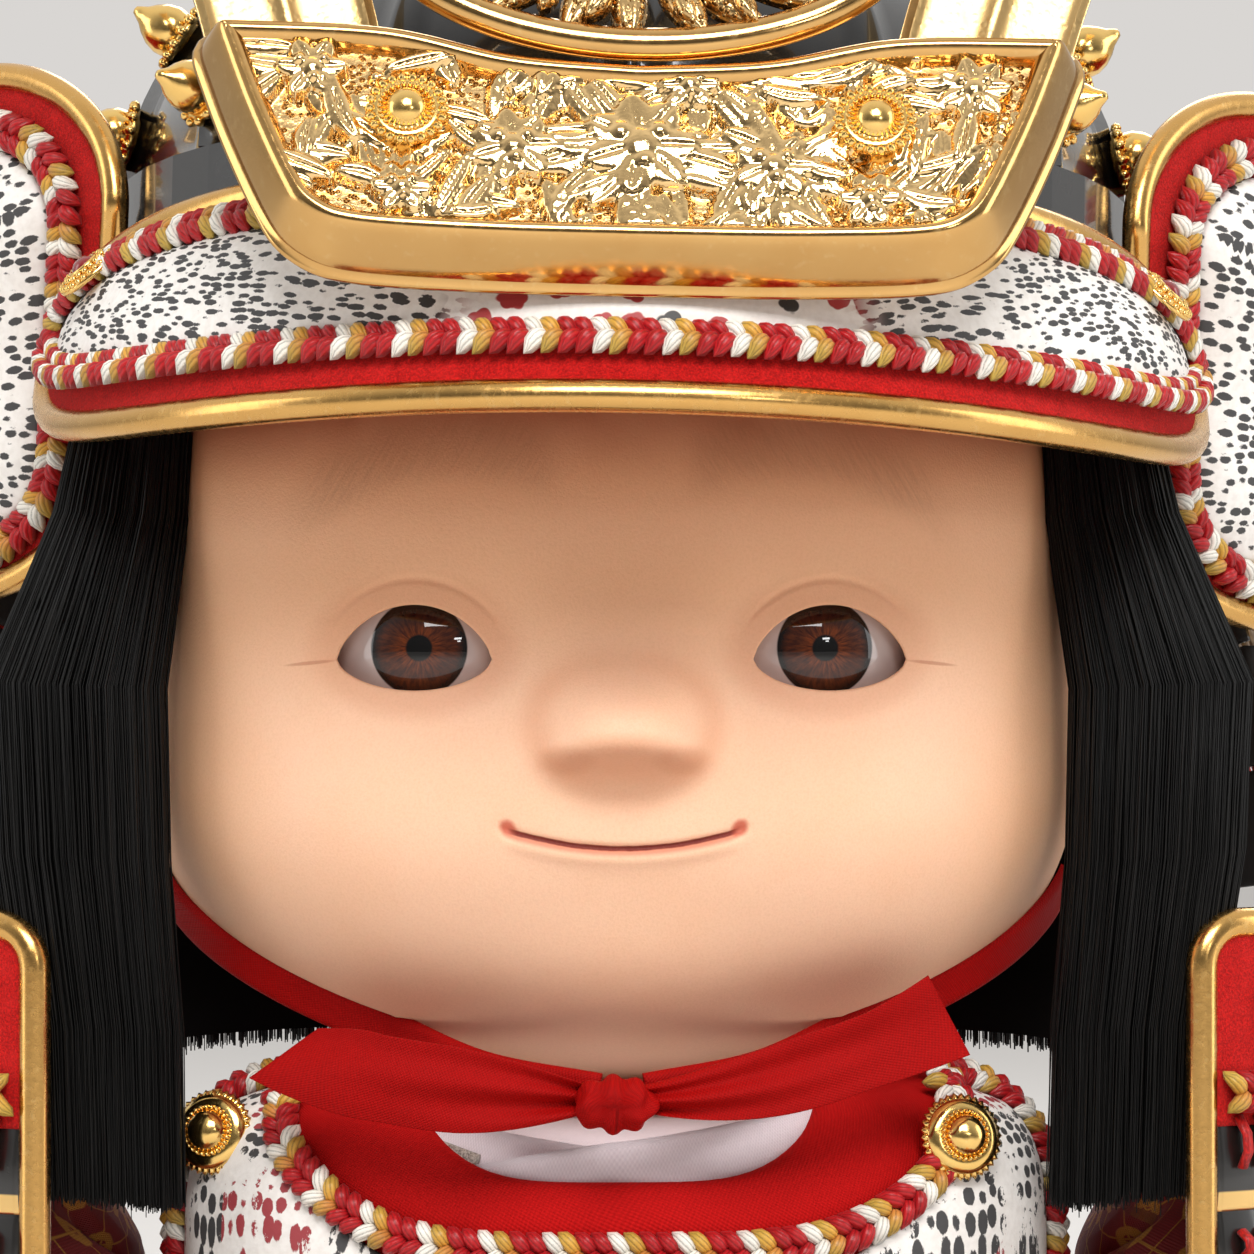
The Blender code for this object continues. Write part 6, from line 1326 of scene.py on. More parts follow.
for side, word in SIDES:
    outline = egg(0.0, BOARD_POINTS)
    middle = np.array([(TURN_TOP[0] * 0.6 + TURN_LOW[0] * 0.4), (TURN_TOP[1] * 0.6 + TURN_LOW[1] * 0.4)])
    scales = np.linspace(1, 0.02, BOARD_ROWS)
    disc = np.stack([middle + (outline - middle) * s for s in scales])
    points = np.concatenate([turnback_spot(side, disc, 0 * disc[..., 0]).reshape(-1, 3),
                             turnback_spot(side, disc[0], -TURN_BOARD + 0 * disc[0][..., 0])])
    lay("turnback_felt_" + word, points, dish(BOARD_ROWS, BOARD_POINTS), red_felt, ("turnback_" + word,))
    loop = egg(0.0, 220)
    path = turnback_spot(side, loop, -0.0004 + 0 * loop[:, 0])
    ups = turnback_spot(side, loop, 0.01 + 0 * loop[:, 0]) - path
    points, faces = run(path, ups, rod(TURN_RIM, 14, 0.95), True)
    lay("turnback_edge_" + word, points, faces, rim_gold, slot="turnback_" + word)
    inset = 0.0013 + BRAID_WIDTH / 2 + 0.0008
    loop = egg(inset, 400, 0.0010)
    around = turnback_spot(side, loop, 0 * loop[:, 0])
    length = np.linalg.norm(np.roll(around, -1, 0) - around, axis=1).sum()
    loop = egg(inset, int(length / BRAID_PITCH / 4) * 4, 0.0010)
    if side < 0:
        loop = loop[::-1]
    path = turnback_spot(side, loop, 0.0001 + 0 * loop[:, 0])
    ups = turnback_spot(side, loop, 0.01 + 0 * loop[:, 0]) - path
    silk_loop = Heap()
    braid(silk_loop, path, ups, True, first=2)
    silk_loop.lay("turnback_braid_silk_" + word, braid_silk, ("turnback_braid_" + word,))
    field = egg(inset + BRAID_WIDTH / 2 + 0.0001, PAD_POINTS, 0.0010)
    middle = field.mean(0)
    scales = np.concatenate([[1.0, 0.985, 0.96], np.linspace(0.92, 0.02, 24)])
    disc = np.stack([middle + (field - middle) * s for s in scales])
    lift = 0.0006 + TURN_PAD * (1 - scales ** 3.2) ** 0.8
    face = turnback_spot(side, disc, lift[:, None] + 0 * disc[..., 0])
    points = np.concatenate([face.reshape(-1, 3), turnback_spot(side, disc[0], 0.0002 + 0 * disc[0][..., 0])])
    measure = np.concatenate([disc.reshape(-1, 2), disc[0]]) * 100
    if side > 0:
        spotted = Finish("spotted_leather", paint(236, 233, 228), Roughness=0.62)
        u, v = spotted.cloth_axes()
        wander = spotted.noise(1.0, spotted.at(u * 1.2, v * 1.2), detail=2) - 0.5
        edge = spotted.noise(0.03, spotted.at(u, v), detail=3, rough=0.7) - 0.5
        dots = spotted.cells(1.0, spotted.at(u / 0.108 + wander * 2, v / 0.088 - wander * 1.6),
                             0.6) + edge * 0.3
        dots = dots.fall(0.40, 0.47)
        hide = spotted.noise(0.0007, detail=3)
        ground = spotted.mix(hide.rise(0.3, 0.8) * 0.35, paint(240, 237, 233), paint(205, 198, 190))
        spotted.show("Base Color", spotted.mix(dots * 0.95, ground, paint(26, 26, 30)))
        spotted.relief(hide + dots * 0.4, 0.00007, 0.7)
    pad_piece = lay("turnback_pad_" + word, points, dish(len(scales), PAD_POINTS), spotted,
                    ("turnback_leather_" + word,), cut=measure)

# Clothes at the neck. A white cotton under-robe crosses at the throat with a grey silk cord beside it,
# under a red robe whose collar stands behind the armour.
def torso(turn, level, off=0.0):
    """The body's surface: level 0 at the waist, 1 at the shoulders, 2 at the neck."""
    turn, level, off = np.broadcast_arrays(*(np.asarray(v, float) for v in (turn, level, off)))
    ease = np.sin(np.clip(level, 0, 1) * math.pi / 2)
    psi = np.clip(level - 1, 0, 1) * math.pi / 2
    shrink = np.sqrt(np.maximum(np.cos(psi), 0))
    z = np.where(level <= 1, 0.042 + 0.038 * level, 0.080 + (0.0195 + off) * np.sqrt(np.sin(psi)))
    width, depth = (0.0330 + 0.0065 * ease + off) * shrink, (0.0250 + 0.0035 * ease + off) * shrink
    return np.stack([width * swell(np.sin(turn), 2 / 2.3), -depth * swell(np.cos(turn), 2 / 2.3), z], -1)


def woven(name, colour, deep, pitch=0.00030, depth=0.00006, rough=0.72, twill=1.0):
    """Cloth whose threads show: two crossing sets of ribs over the cloth's own measure."""
    cloth = Finish(name, colour, Roughness=rough, Specular_IOR_Level=0.10)
    u, v = cloth.cloth_axes()
    step = 2 * math.pi / (pitch * 100)
    warp, weft = ((u + v * 0.5 * twill) * step).sine(), ((v - u * 0.2 * twill) * step).sine()
    fuzz = cloth.noise(0.0005, detail=3)
    ribs = (warp * weft) * 0.5 + 0.5
    cloud = cloth.noise(0.008, detail=3)
    cloth.show("Base Color", cloth.mix(ribs * 0.45 + fuzz * 0.25 + cloud * 0.25, colour, deep))
    return cloth.relief(ribs + fuzz * 0.6, depth, 0.8)


def garment(name, finish, low_off, high_off, bottom, top, stands_for, around=120, rows=9, edge=0.0004):
    """A closed layer round the body from level bottom to level top(turn)."""
    turn = (circle(around) - math.pi)[None, :]
    share = np.linspace(0, 1, rows)[:, None]
    level = bottom + (top(turn) - bottom) * share
    roll = edge * np.sin(share * math.pi) ** 0.3
    outer = torso(turn, level, high_off - edge + roll)
    inner = torso(turn, level, low_off + 0 * share)
    wall = np.concatenate([outer, inner[::-1]])
    faces = net(2 * rows, around, True)
    ring_a, ring_b = np.arange(around), np.arange(around) + (2 * rows - 1) * around
    closing = np.stack([ring_b, np.roll(ring_b, -1), np.roll(ring_a, -1), ring_a], 1)
    measure = np.stack(np.broadcast_arrays(turn * 3.6, level * 3.6 + 0 * turn), -1)
    measure = np.concatenate([measure, measure[::-1]]).reshape(-1, 2)
    return lay(name, wall.reshape(-1, 3), [faces, closing], finish, stands_for, cut=measure)


def turned_in(turn):
    """The angle from the front, from 0 to pi, on either side."""
    return np.abs((np.asarray(turn) + math.pi) % (2 * math.pi) - math.pi)


cotton = woven("white_cotton", paint(240, 230, 234), paint(208, 194, 202), 0.00034, 0.00004, 0.8, 0.0)
garment("white_kimono_layer", cotton, -0.0051, -0.0041, 1.0,
        lambda t: 1.80 + 0.13 * np.sin(turned_in(t) / 2) ** 2,
        ("white_kimono",))
FOLD_STEPS = 46
for order, side in enumerate((-1, 1)):
    along = np.linspace(0, 1, FOLD_STEPS)
    x = side * (0.0195 - 0.0290 * along)
    level_at = 1.46 - 0.36 * along ** 0.8
    rows = []
    for lift, share in ((0.0001, -1), (0.0012, -0.97), (0.0016, -0.8), (0.0014, 0), (0.0016, 0.8),
                        (0.0019, 0.93),
                        (0.0014, 1.0), (0.0001, 1.0)):
        level_row = level_at + share * 0.15
        turn_row = np.arcsin(np.clip(np.abs(x) / 0.0335, 0, 0.98)) * np.sign(x)
        rows.append(torso(turn_row, level_row, -0.0038 + lift + 0.0012 * order))
    rows = np.stack(rows)
    count = len(rows)
    first = np.arange(count)[None] * FOLD_STEPS
    low, high = np.arange(FOLD_STEPS - 1), np.arange(FOLD_STEPS - 1) + (count - 1) * FOLD_STEPS
    faces = [net(count, FOLD_STEPS), first, (first + FOLD_STEPS - 1)[:, ::-1],
             np.stack([high, high + 1, low + 1, low], 1)]
    measure = np.stack(np.broadcast_arrays(along[None] * 4, np.linspace(0, 1, count)[:, None]), -1)
    lay("collar_fold_" + ("right", "left")[order], rows.reshape(-1, 3), faces, cotton, cut=measure,
        slot="white_kimono")
along = np.linspace(0, 1, 60)
path = torso(-0.66 + 0.36 * along, 1.47 - 0.20 * along, -0.0018)
ups = torso(-0.66 + 0.36 * along, 1.47 - 0.20 * along, 0.009) - path
cord_grey = silk("grey_silk", paint(196, 188, 178), paint(120, 112, 106), 0.4, 0.00018)
points, faces = run(path, ups, rod(0.0009, 14, 0.7))
lay("collar_cord", points, faces, cord_grey, slot="white_kimono")
crimson = woven("crimson_silk", paint(190, 20, 18), paint(120, 6, 8), 0.00030, 0.00006, 0.55)
garment("red_robe_layer", crimson, -0.0032, -0.0022, 0.80,
        lambda t: 1.06 + 0.74 * np.sin(turned_in(t) / 2) ** 2,
        ("red_robe",))

# Breast armour. Stiff board under plain red cloth, cut low at the throat and rising to the shoulders.
red_cloth = woven("red_cloth", paint(206, 20, 20), paint(150, 9, 10), 0.00040, 0.00009, 0.8)


def chest_edge(turn):
    return 1.70 - 0.52 * np.exp(-(turned_in(turn) / 0.50) ** 4)


garment("chest_cloth", red_cloth, -0.0015, 0.0003, 0.90, chest_edge, ("chest_plate",), 200, 14, 0.0009)


def braid_level(turn):
    return 1.025 + 0.53 * (np.abs(turn) / 0.98) ** 4.2


def chest_frame(turns, levels, lift):
    path = torso(turns, levels, lift)
    return path, torso(turns, levels, lift + 0.01) - path


outer_levels = np.linspace(0.93, 1.40, 30)
arc = np.linspace(0, math.pi, 24)
loop_turns = np.concatenate([np.full(30, -1.30), -1.14 - 0.16 * np.cos(arc), np.linspace(-0.97, 0.97, 160),
                             1.14 - 0.16 * np.cos(arc), np.full(30, 1.30)])
loop_levels = np.concatenate([outer_levels, 1.42 + 0.15 * np.sin(arc),
                              braid_level(np.linspace(-0.97, 0.97, 160)),
                              1.42 + 0.15 * np.sin(arc), outer_levels[::-1]])
knots = np.stack([loop_turns, loop_levels], 1)
for _ in range(4):
    knots[1:-1] = (knots[:-2] + 2 * knots[1:-1] + knots[2:]) / 4
path, ups = chest_frame(knots[:, 0], knots[:, 1], 0.0005)
length = np.linalg.norm(np.diff(path, axis=0), axis=1).sum()
spots = even(np.concatenate([path, ups], 1), int(length / BRAID_PITCH))
chest_braid = Heap()
braid(chest_braid, spots[:, :3], spots[:, 3:], False, first=1)
chest_braid.lay("chest_braid_silk", braid_silk, ("chest_braid",))

BUTTON_LEVEL = 1.255
blotted = Finish("dotted_leather", paint(236, 233, 228), Roughness=0.62)
u, v = blotted.cloth_axes()
edge = blotted.noise(0.035, blotted.at(u, v), detail=3, rough=0.7) - 0.5
cluster = blotted.cells(1.0, blotted.at(u / 0.62 + 0.35, v / 0.60 + 0.1), 0.55)
hue = blotted.axes(blotted.cells(1.0, blotted.at(u / 0.62 + 0.35, v / 0.60 + 0.1), 0.55, output=1))[0]
dots = (blotted.cells(1.0, blotted.at(u / 0.150, v / 0.150), 0.42) + edge * 0.20).fall(0.42, 0.47)
dots = dots * (cluster + edge * 0.5).fall(0.56, 0.60)
hide = blotted.noise(0.0007, detail=3)
ground = blotted.mix(hide.rise(0.3, 0.8) * 0.35, paint(238, 234, 230), paint(204, 197, 190))
dark = blotted.mix(hue.rise(0.56, 0.58), paint(28, 28, 33), paint(150, 16, 34))
blotted.show("Base Color", blotted.mix(dots * 0.95, ground, dark))
blotted.relief(hide + dots * 0.5, 0.00008, 0.7)
for side, word in SIDES:
    along = np.linspace(0, 1, 60)[:, None]
    share = np.linspace(0, 1, 40)[None, :]
    near_turn = 0.06 + 0.92 * along + 0.075 * along ** 3
    near_level = braid_level(0.06 + 0.92 * along) - 0.03
    far_turn = np.minimum(0.06 + 1.9 * along, 1.24)
    far_level = 0.93 + 0.46 * np.clip((along - 0.55) / 0.45, 0, 1) ** 1.2
    turn_at = near_turn + (far_turn - near_turn) * share
    level_at = near_level + (far_level - near_level) * share
    puff = 0.0007 * (1 - np.abs(2 * share - 1) ** 4) * (1 - np.abs(2 * along - 1) ** 8)
    outer = torso(turn_at, level_at, 0.0009 + puff)
    inner = torso(turn_at, level_at, 0.0004)
    mirror = np.array([side, 1, 1])
    points, faces = slab(outer * mirror, inner * mirror)
    measure = np.stack([turn_at * 3.4, level_at * 3.4 + 1.7 * side], -1).reshape(-1, 2)
    lay("chest_print_" + word, points, faces, blotted, ("chest_leather_" + word,), cut=twice(measure))
    button_turn = math.radians(46 if side > 0 else 62)
    foot = torso(button_turn, BUTTON_LEVEL, 0.0016) * mirror
    way = (torso(button_turn, BUTTON_LEVEL, 0.011) - torso(button_turn, BUTTON_LEVEL, 0.0010)) * mirror
    way = way / np.linalg.norm(way) + np.array([0, -1.3, -0.1])
    place = stand(foot, way)
    button = Heap()
    body = turned([(0, 0), (.0031, 0), (.0033, .0004), (.0034, .0009), (.0033, .0015), (.0028, .0019),
                   (.0021, .0021),
                   (.0019, .0020), (.00185, .0023), (.0015, .0030), (.0009, .0034), (0, .0035)], 60)
    button.set_in(body, place)
    beads(button, place, 0.0031, 0.00042, 34, 0.0010, 1.9)
    beads(button, place, 0.0021, 0.00024, 26, 0.0022)
    button.lay("button_gilt_" + word, bright_gold, ("chest_button_" + word,))

# Chin cord and bow. A flat woven red ribbon runs from the helmet along the jaw and is tied in a flat bow
# under the chin. The end at the doll's right is cut to a point and the other one is cut square.
ribbon = woven("red_ribbon", paint(182, 8, 6), paint(120, 3, 3), 0.00036, 0.00007, 0.62)
KNOT = np.array([-0.0007, -0.0336, 0.0974])


def strip(name, path, ups, half, thick, finish, stands_for):
    """A flat ribbon along a line, with rounded selvedges."""
    across = np.concatenate([[-1, -.97], np.linspace(-0.9, 0.9, 15), [.97, 1]])
    rise = thick * (1 - np.abs(across) ** 8)
    along, aside, up = frames_along(path, ups)
    low = path[:, None] + aside[:, None] * across[None, :, None] * half
    points, faces = slab(low + up[:, None] * rise[None, :, None], low)
    steps = distances(path)
    measure = measured(steps[:, None] * 100, across[None] * half * 100)
    return lay(name, points, faces, finish, stands_for, cut=twice(measure))


for side, word in SIDES:
    psi = np.radians(np.linspace(-20, -53, 40))
    turn_at = np.radians(np.linspace(86, 42, 40))
    z = CHEEK_Z - CHIN_DROP * np.sin(-psi) ** (2 / 2.15)
    jaw = head_points(turn_at, z, 0.0009)
    away = head_points(turn_at, z, 0.0060) - jaw
    end = KNOT + [0.0026, 0.0012, 0.0006]
    lead = smooth([jaw[-1], jaw[-1] * 0.55 + end * 0.45 + [0, -0.0012, -0.0010], end], 24)[1:]
    path = np.concatenate([jaw, lead])
    ups = np.concatenate([away, np.tile(away[-1], (len(lead), 1)) * np.linspace(1, 0.3, len(lead))[:, None]
                          + np.array([0, -0.005, 0]) * np.linspace(0, 1, len(lead))[:, None]])
    path = path * [side, 1, 1]
    ups = ups * [side, 1, 1]
    strip("chin_ribbon_" + word, path, ups, 0.0018, 0.0006, ribbon, ("chin_cord_" + word,))


def tail(side, word):
    """One end of the bow: two layers of ribbon that spread and rise from the knot."""
    along = np.linspace(0, 1, 50)[:, None]
    across = np.concatenate([[-1, -.97], np.linspace(-0.90, 0.90, 19), [.97, 1]])[None, :]
    if side > 0:
        half = 0.0011 + 0.0020 * np.sin(np.minimum(1.7 * along, 1) * math.pi / 2) + 0.0004 * along
        rise = 0.0003 + 0.0068 * along ** 1.65
        x = 0.0022 + 0.0268 * along + across * -0.0019 * np.clip((along - 0.72) / 0.28, 0, 1)
    else:
        half = 0.0012 + 0.0026 * np.sin(np.minimum(1.9 * along, 1) * math.pi / 2)
        half = half - 0.0016 * np.clip((along - 0.72) / 0.28, 0, 1) ** 1.6
        rise = 0.0003 + 0.0024 * along ** 1.2 + 0.0012 * along ** 4
        x = 0.0022 + 0.0262 * along - across * 0.0030 * np.clip((along - 0.66) / 0.34, 0, 1)
    fold = 0.00055 * np.cos(across * 7.0 + side) * (1 - along) ** 1.3
    fold = fold + 0.00035 * np.sin(across * 3.1 + along * 4 + side)
    body = 0.0006 * np.sin(along * 9 + side * 2) * along * (1 - along)
    y = -0.0030 * np.sin(math.pi * along) + 0.0046 * along ** 2 - across * 0.0011 * along - fold - body
    layers = []
    for deep, shrink, drop in ((0.0, 1.0, 0.0), (0.0011, 0.93, -0.0004)):
        z = rise + across * half * shrink + drop * along
        face = np.stack(np.broadcast_arrays(side * (x - 0.0012 * (1 - shrink) * 8 * along), y + deep, z),
                        -1) + KNOT
        back = face + [0, 0.0005, 0]
        layers.append(slab(face, back))
    heap = Heap()
    measure = measured(along * 2.9, across * half * 100)
    for points, faces in layers:
        heap.add(points, faces, cut=twice(measure))
    heap.lay("bow_tail_" + word, ribbon, ("bow_loop_" + word,))


points, faces = ball(48, 72)
turn = np.arctan2(points[:, 0], points[:, 2])
crumple = 1 + 0.06 * np.sin(turn * 5 + points[:, 1] * 5) * np.abs(points[:, 0]) ** 0.5
crumple = crumple + 0.05 * np.sin(points[:, 0] * 11 + 2)
waist = 1 - 0.10 * np.exp(-((points[:, 0] - 0.25) / 0.16) ** 2)
waist = waist - 0.08 * np.exp(-((points[:, 0] + 0.4) / 0.14) ** 2)
shape = points * [0.0036, 0.0025, 0.0025] * (crumple * waist)[:, None]
measure = np.stack([points[:, 0] * 0.42, turn * 0.30], 1)
lay("bow_knot_wrap", shape + KNOT + [0, -0.0009, -0.0001], faces, ribbon, ("bow_knot",), cut=measure)
for side, word in SIDES:
    tail(side, word)

# Shoulder guards. A felted board with a gilt tube all round, a braid under two beaded rosettes, and
# below it four lacquered lames with gilt edges hung on red silk lacing.
GUARD_TOP_Z, GUARD_HALF, GUARD_HEIGHT, GUARD_BULGE, GUARD_THICK = 0.1120, 0.0170, 0.0490, 0.0035, 0.0016
TOP_BOARD, HUNG_LAMES, GUARD_YAW = GUARD_HEIGHT * 0.36, 4, math.radians(50)
for side, word in SIDES:
    out_way = np.array([side * math.cos(GUARD_YAW), math.sin(GUARD_YAW), 0])
    back_way = np.array([-side * math.sin(GUARD_YAW), math.cos(GUARD_YAW), 0])

    def board_spot(across, down, offset=0.0, side=side, out_way=out_way, back_way=back_way):
        across, down, offset = np.broadcast_arrays(across, down, offset)
        depth = -GUARD_BULGE * (1 - (across / GUARD_HALF) ** 2) - offset
        middle = np.array([side * 0.0624, -0.0110, GUARD_TOP_Z])
        return middle + across[..., None] * out_way + depth[..., None] * back_way - down[..., None] * np.array([0, 0, 1])

    across = np.sin(np.linspace(-math.pi / 2, math.pi / 2, 60))[None, :] * GUARD_HALF
    corner = 0.0035
    start = corner - np.sqrt(np.maximum(corner ** 2
                                        - np.maximum(np.abs(across) - GUARD_HALF + corner, 0) ** 2, 0))
    down = start + (TOP_BOARD - start) * np.linspace(0, 1, 24)[:, None]
    points, faces = slab(board_spot(across, down, 0.0), board_spot(across, down, -GUARD_THICK))
    lay("guard_board_" + word, points, faces, red_felt, ("shoulder_guard_" + word,))
    bend = np.linspace(0, math.pi / 2, 8)
    edge_line = np.concatenate([
        np.stack([np.linspace(-GUARD_HALF + corner, GUARD_HALF - corner, 30), np.zeros(30)], 1),
        np.stack([GUARD_HALF - corner + corner * np.sin(bend), corner - corner * np.cos(bend)], 1),
        np.stack([np.full(30, GUARD_HALF), np.linspace(corner, GUARD_HEIGHT - 0.002, 30)], 1),
        np.stack([np.linspace(GUARD_HALF, -GUARD_HALF, 40), np.full(40, GUARD_HEIGHT)], 1),
        np.stack([np.full(30, -GUARD_HALF), np.linspace(GUARD_HEIGHT - 0.002, corner, 30)], 1),
        np.stack([-GUARD_HALF + corner - corner * np.cos(bend), corner - corner * np.sin(bend)], 1)])
    edge_line = even(edge_line, 220, True)
    path = board_spot(edge_line[:, 0], edge_line[:, 1], -GUARD_THICK / 2)
    ups = board_spot(edge_line[:, 0], edge_line[:, 1], 0.01) - path
    points, faces = run(path, ups, rod(0.0014, 14), True)
    lay("guard_edge_" + word, points, faces, rim_gold, slot="shoulder_guard_" + word)
    count = int(2 * (GUARD_HALF - 0.0022) / BRAID_PITCH)
    row = np.linspace(-GUARD_HALF + 0.0022, GUARD_HALF - 0.0022, count)
    path = board_spot(row, TOP_BOARD - 0.0030, 0.0001)
    ups = board_spot(row, TOP_BOARD - 0.0030, 0.01) - path
    hem = Heap()
    braid(hem, path, ups, False, first=3)
    hem.lay("guard_braid_" + word, braid_silk, slot="shoulder_guard_" + word)
    rosettes, rose_gems = Heap(), Heap()
    for at in (-0.0085, 0.0085):
        foot = board_spot(at, 0.0068, 0.0)
        place = stand(foot, board_spot(at, 0.0068, 0.01) - foot)
        disc = turned([(0, 0), (.0033, 0), (.0034, .0004), (.0028, .0007), (.0016, .0009), (0, .0009)], 40)
        rosettes.set_in(disc, place)
        beads(rosettes, place, 0.0030, 0.00042, 24, 0.0006)
        beads(rosettes, place, 0.0020, 0.00036, 16, 0.0009)
        dome = turned([(0, .0006), (.0012, .0006), (.0011, .0012), (.0006, .0017), (0, .0018)], 24)
        rose_gems.set_in(dome, place)
    rosettes.lay("guard_rosettes_" + word, bright_gold, slot="shoulder_guard_" + word)
    rose_gems.lay("guard_rosette_centres_" + word, ruby, slot="shoulder_guard_" + word)
    lames, lacing = Heap(), Heap()
    pitch = (GUARD_HEIGHT - TOP_BOARD) / HUNG_LAMES
    for k in range(HUNG_LAMES):
        def lame_spot(across, drop, offset, k=k):
            return board_spot(across, TOP_BOARD + k * pitch - 0.0012 + drop,
                              offset - 0.0009 + 0.0002 * (k % 2) + drop * 0.05)
        curved_plate(lames, lame_spot, (-GUARD_HALF + 0.0008, GUARD_HALF - 0.0008), pitch + 0.0008, 0.0009)
        row = np.linspace(-GUARD_HALF + 0.0030, GUARD_HALF - 0.0030, 15)
        top, low = lame_spot(row, 0.0004 if k == 0 else 0.0026, 0.0010), lame_spot(row, pitch * 0.62, 0.0012)
        cord_row(lacing, top, low, unit(lame_spot(row, 0.003, 0.011) - lame_spot(row, 0.003, 0.001)), 0.0014)
    lames.lay("guard_lames_" + word, lame_coat, slot="shoulder_guard_" + word)
    lacing.lay("guard_lacing_" + word, red_silk, slot="shoulder_guard_" + word)

# Sleeves and hands. Stuffed sleeves of dark red brocade, creased at the elbow and gathered at the wrist;
# closed hands carved and painted like the face.
brocade = Finish("brocade", paint(120, 16, 18), Roughness=0.6, Sheen_Weight=0.08)
u, v = brocade.cloth_axes()
thread = ((u * 2 * math.pi / 0.032).sine() * (v * 2 * math.pi / 0.032).sine()) * 0.5 + 0.5
lattice = abs((u * math.pi / 0.62 + v * math.pi / 0.62).sine()).fall(0.05, 0.11)
lattice = lattice.larger(abs((u * math.pi / 0.62 - v * math.pi / 0.62).sine()).fall(0.05, 0.11))
ragged = (brocade.noise(1.0, brocade.at(u * 9, v * 9), detail=2) - 0.5) * 0.12
flower = brocade.cells(1.0, brocade.at(u / 0.62, v / 0.62), 0.0) + ragged
flower = flower.fall(0.22, 0.26) * flower.rise(0.06, 0.09)
gold_thread = lattice.larger(flower) * (0.6 + thread * 0.4)
cloth_tone = brocade.mix(thread * 0.6, paint(132, 18, 20), paint(74, 8, 12))
brocade.show("Base Color", brocade.mix(gold_thread, cloth_tone, paint(196, 144, 62)))
brocade.show("Metallic", gold_thread * 0.6)
brocade.relief(thread + gold_thread * 0.7, 0.00007, 0.8)


def tube(name, centres, radii, finish, stands_for=(), floor=None, crease=None, rings=76, sides=52, slot=None):
    """A stuffed limb over round sections, creased where asked and flat on the floor."""
    knots = smooth(np.concatenate([np.asarray(centres, float), np.asarray(radii, float)[:, None]], 1), rings)
    path, size = knots[:, :3], knots[:, 3]
    along, _, _ = frames_along(path, np.tile([0, 0, 1.0], (rings, 1)))
    aside = unit(np.cross(along, [0, 0, 1.0]))
    up = np.cross(aside, along)
    turn = circle(sides)
    share = np.linspace(0, 1, rings)
    bulge = 0 * share[:, None] + 0 * turn[None]
    if crease is not None:
        bulge = crease(share[:, None], turn[None])
    close_end = np.minimum(1, np.sqrt(np.minimum(share, 1 - share) / 0.035 + 0.12))
    radius = size[:, None] * close_end[:, None] * (1 + bulge)
    way = np.cos(turn)[None, :, None] * aside[:, None] + np.sin(turn)[None, :, None] * up[:, None]
    points = path[:, None] + radius[..., None] * way
    if floor is not None:
        points[..., 2] = np.maximum(points[..., 2], floor)
    steps = np.linalg.norm(np.diff(points, axis=0), axis=2)
    steps = np.concatenate([np.zeros((1, sides)), np.cumsum(steps, 0)])
    steps = (steps + steps.mean(1)[:, None]) / 2
    measure = measured(steps * 100, turn[None] * size.mean() * 100)
    return lay(name, points.reshape(-1, 3), capped(rings, sides), finish, stands_for, cut=measure, slot=slot)


def sleeve_crease(share, turn):
    near = np.exp(-((share - 0.62) / 0.16) ** 2)
    folds = 1 - 2 * np.abs(np.sin(share * 24 + 0.9 * np.sin(turn * 2) + turn * 0.5))
    folds = 0.11 * near * folds * (0.55 + 0.45 * np.cos(turn))
    gather = 0.09 * np.exp(-((share - 1) / 0.18) ** 2) * np.sin(turn * 13 + share * 5)
    return folds + gather + 0.035 * np.sin(share * 17 + turn * 2) + 0.02 * np.sin(share * 9 - turn * 3)


def leg_crease(share, turn):
    knee = np.exp(-((share - 0.45) / 0.22) ** 2)
    folds = 1 - 2 * np.abs(np.sin(share * 19 + 0.9 * np.sin(turn) + turn * 0.5))
    folds = 0.085 * knee * folds * (0.55 + 0.45 * np.sin(turn))
    gather = 0.06 * np.exp(-((share - 1) / 0.13) ** 2) * np.sin(turn * 12 + 1)
    return folds + gather + 0.035 * np.sin(share * 13 + turn * 3)


for side, word in SIDES:
    shoulder, elbow = np.array([side * 0.0500, 0.0020, 0.0820]), np.array([side * 0.0600, -0.0050, 0.0495])
    wrist = np.array([side * 0.0460, -0.0420, 0.0430])
    centres = [shoulder + [-side * 0.0042, 0, 0.0040], shoulder, shoulder * 0.45 + elbow * 0.55, elbow,
               elbow * 0.6 + wrist * 0.4, wrist]
    sleeve = tube("sleeve_cloth_" + word, centres, [0.0070, 0.0110, 0.0112, 0.0113, 0.0108, 0.0086], brocade,
                  ("sleeve_" + word,), crease=sleeve_crease)
    forward = unit((wrist - (elbow * 0.6 + wrist * 0.4))[None])[0]
    begin = wrist + forward * 0.0006
    centres = [begin + forward * d for d in (0.0, 0.0040, 0.0090, 0.0135, 0.0158)]

    def knuckles(share, turn):
        grooves = 0.10 * np.exp(-((share - 0.78) / 0.26) ** 2) * -np.abs(np.sin(turn * 2.0 + 0.4)) ** 6
        return grooves + 0.03 * np.cos(turn * 2)
    tube("hand_skin_" + word, centres, [0.0055, 0.0073, 0.0084, 0.0072, 0.0046], flesh, ("hand_" + word,),
         crease=knuckles, rings=36, sides=46)

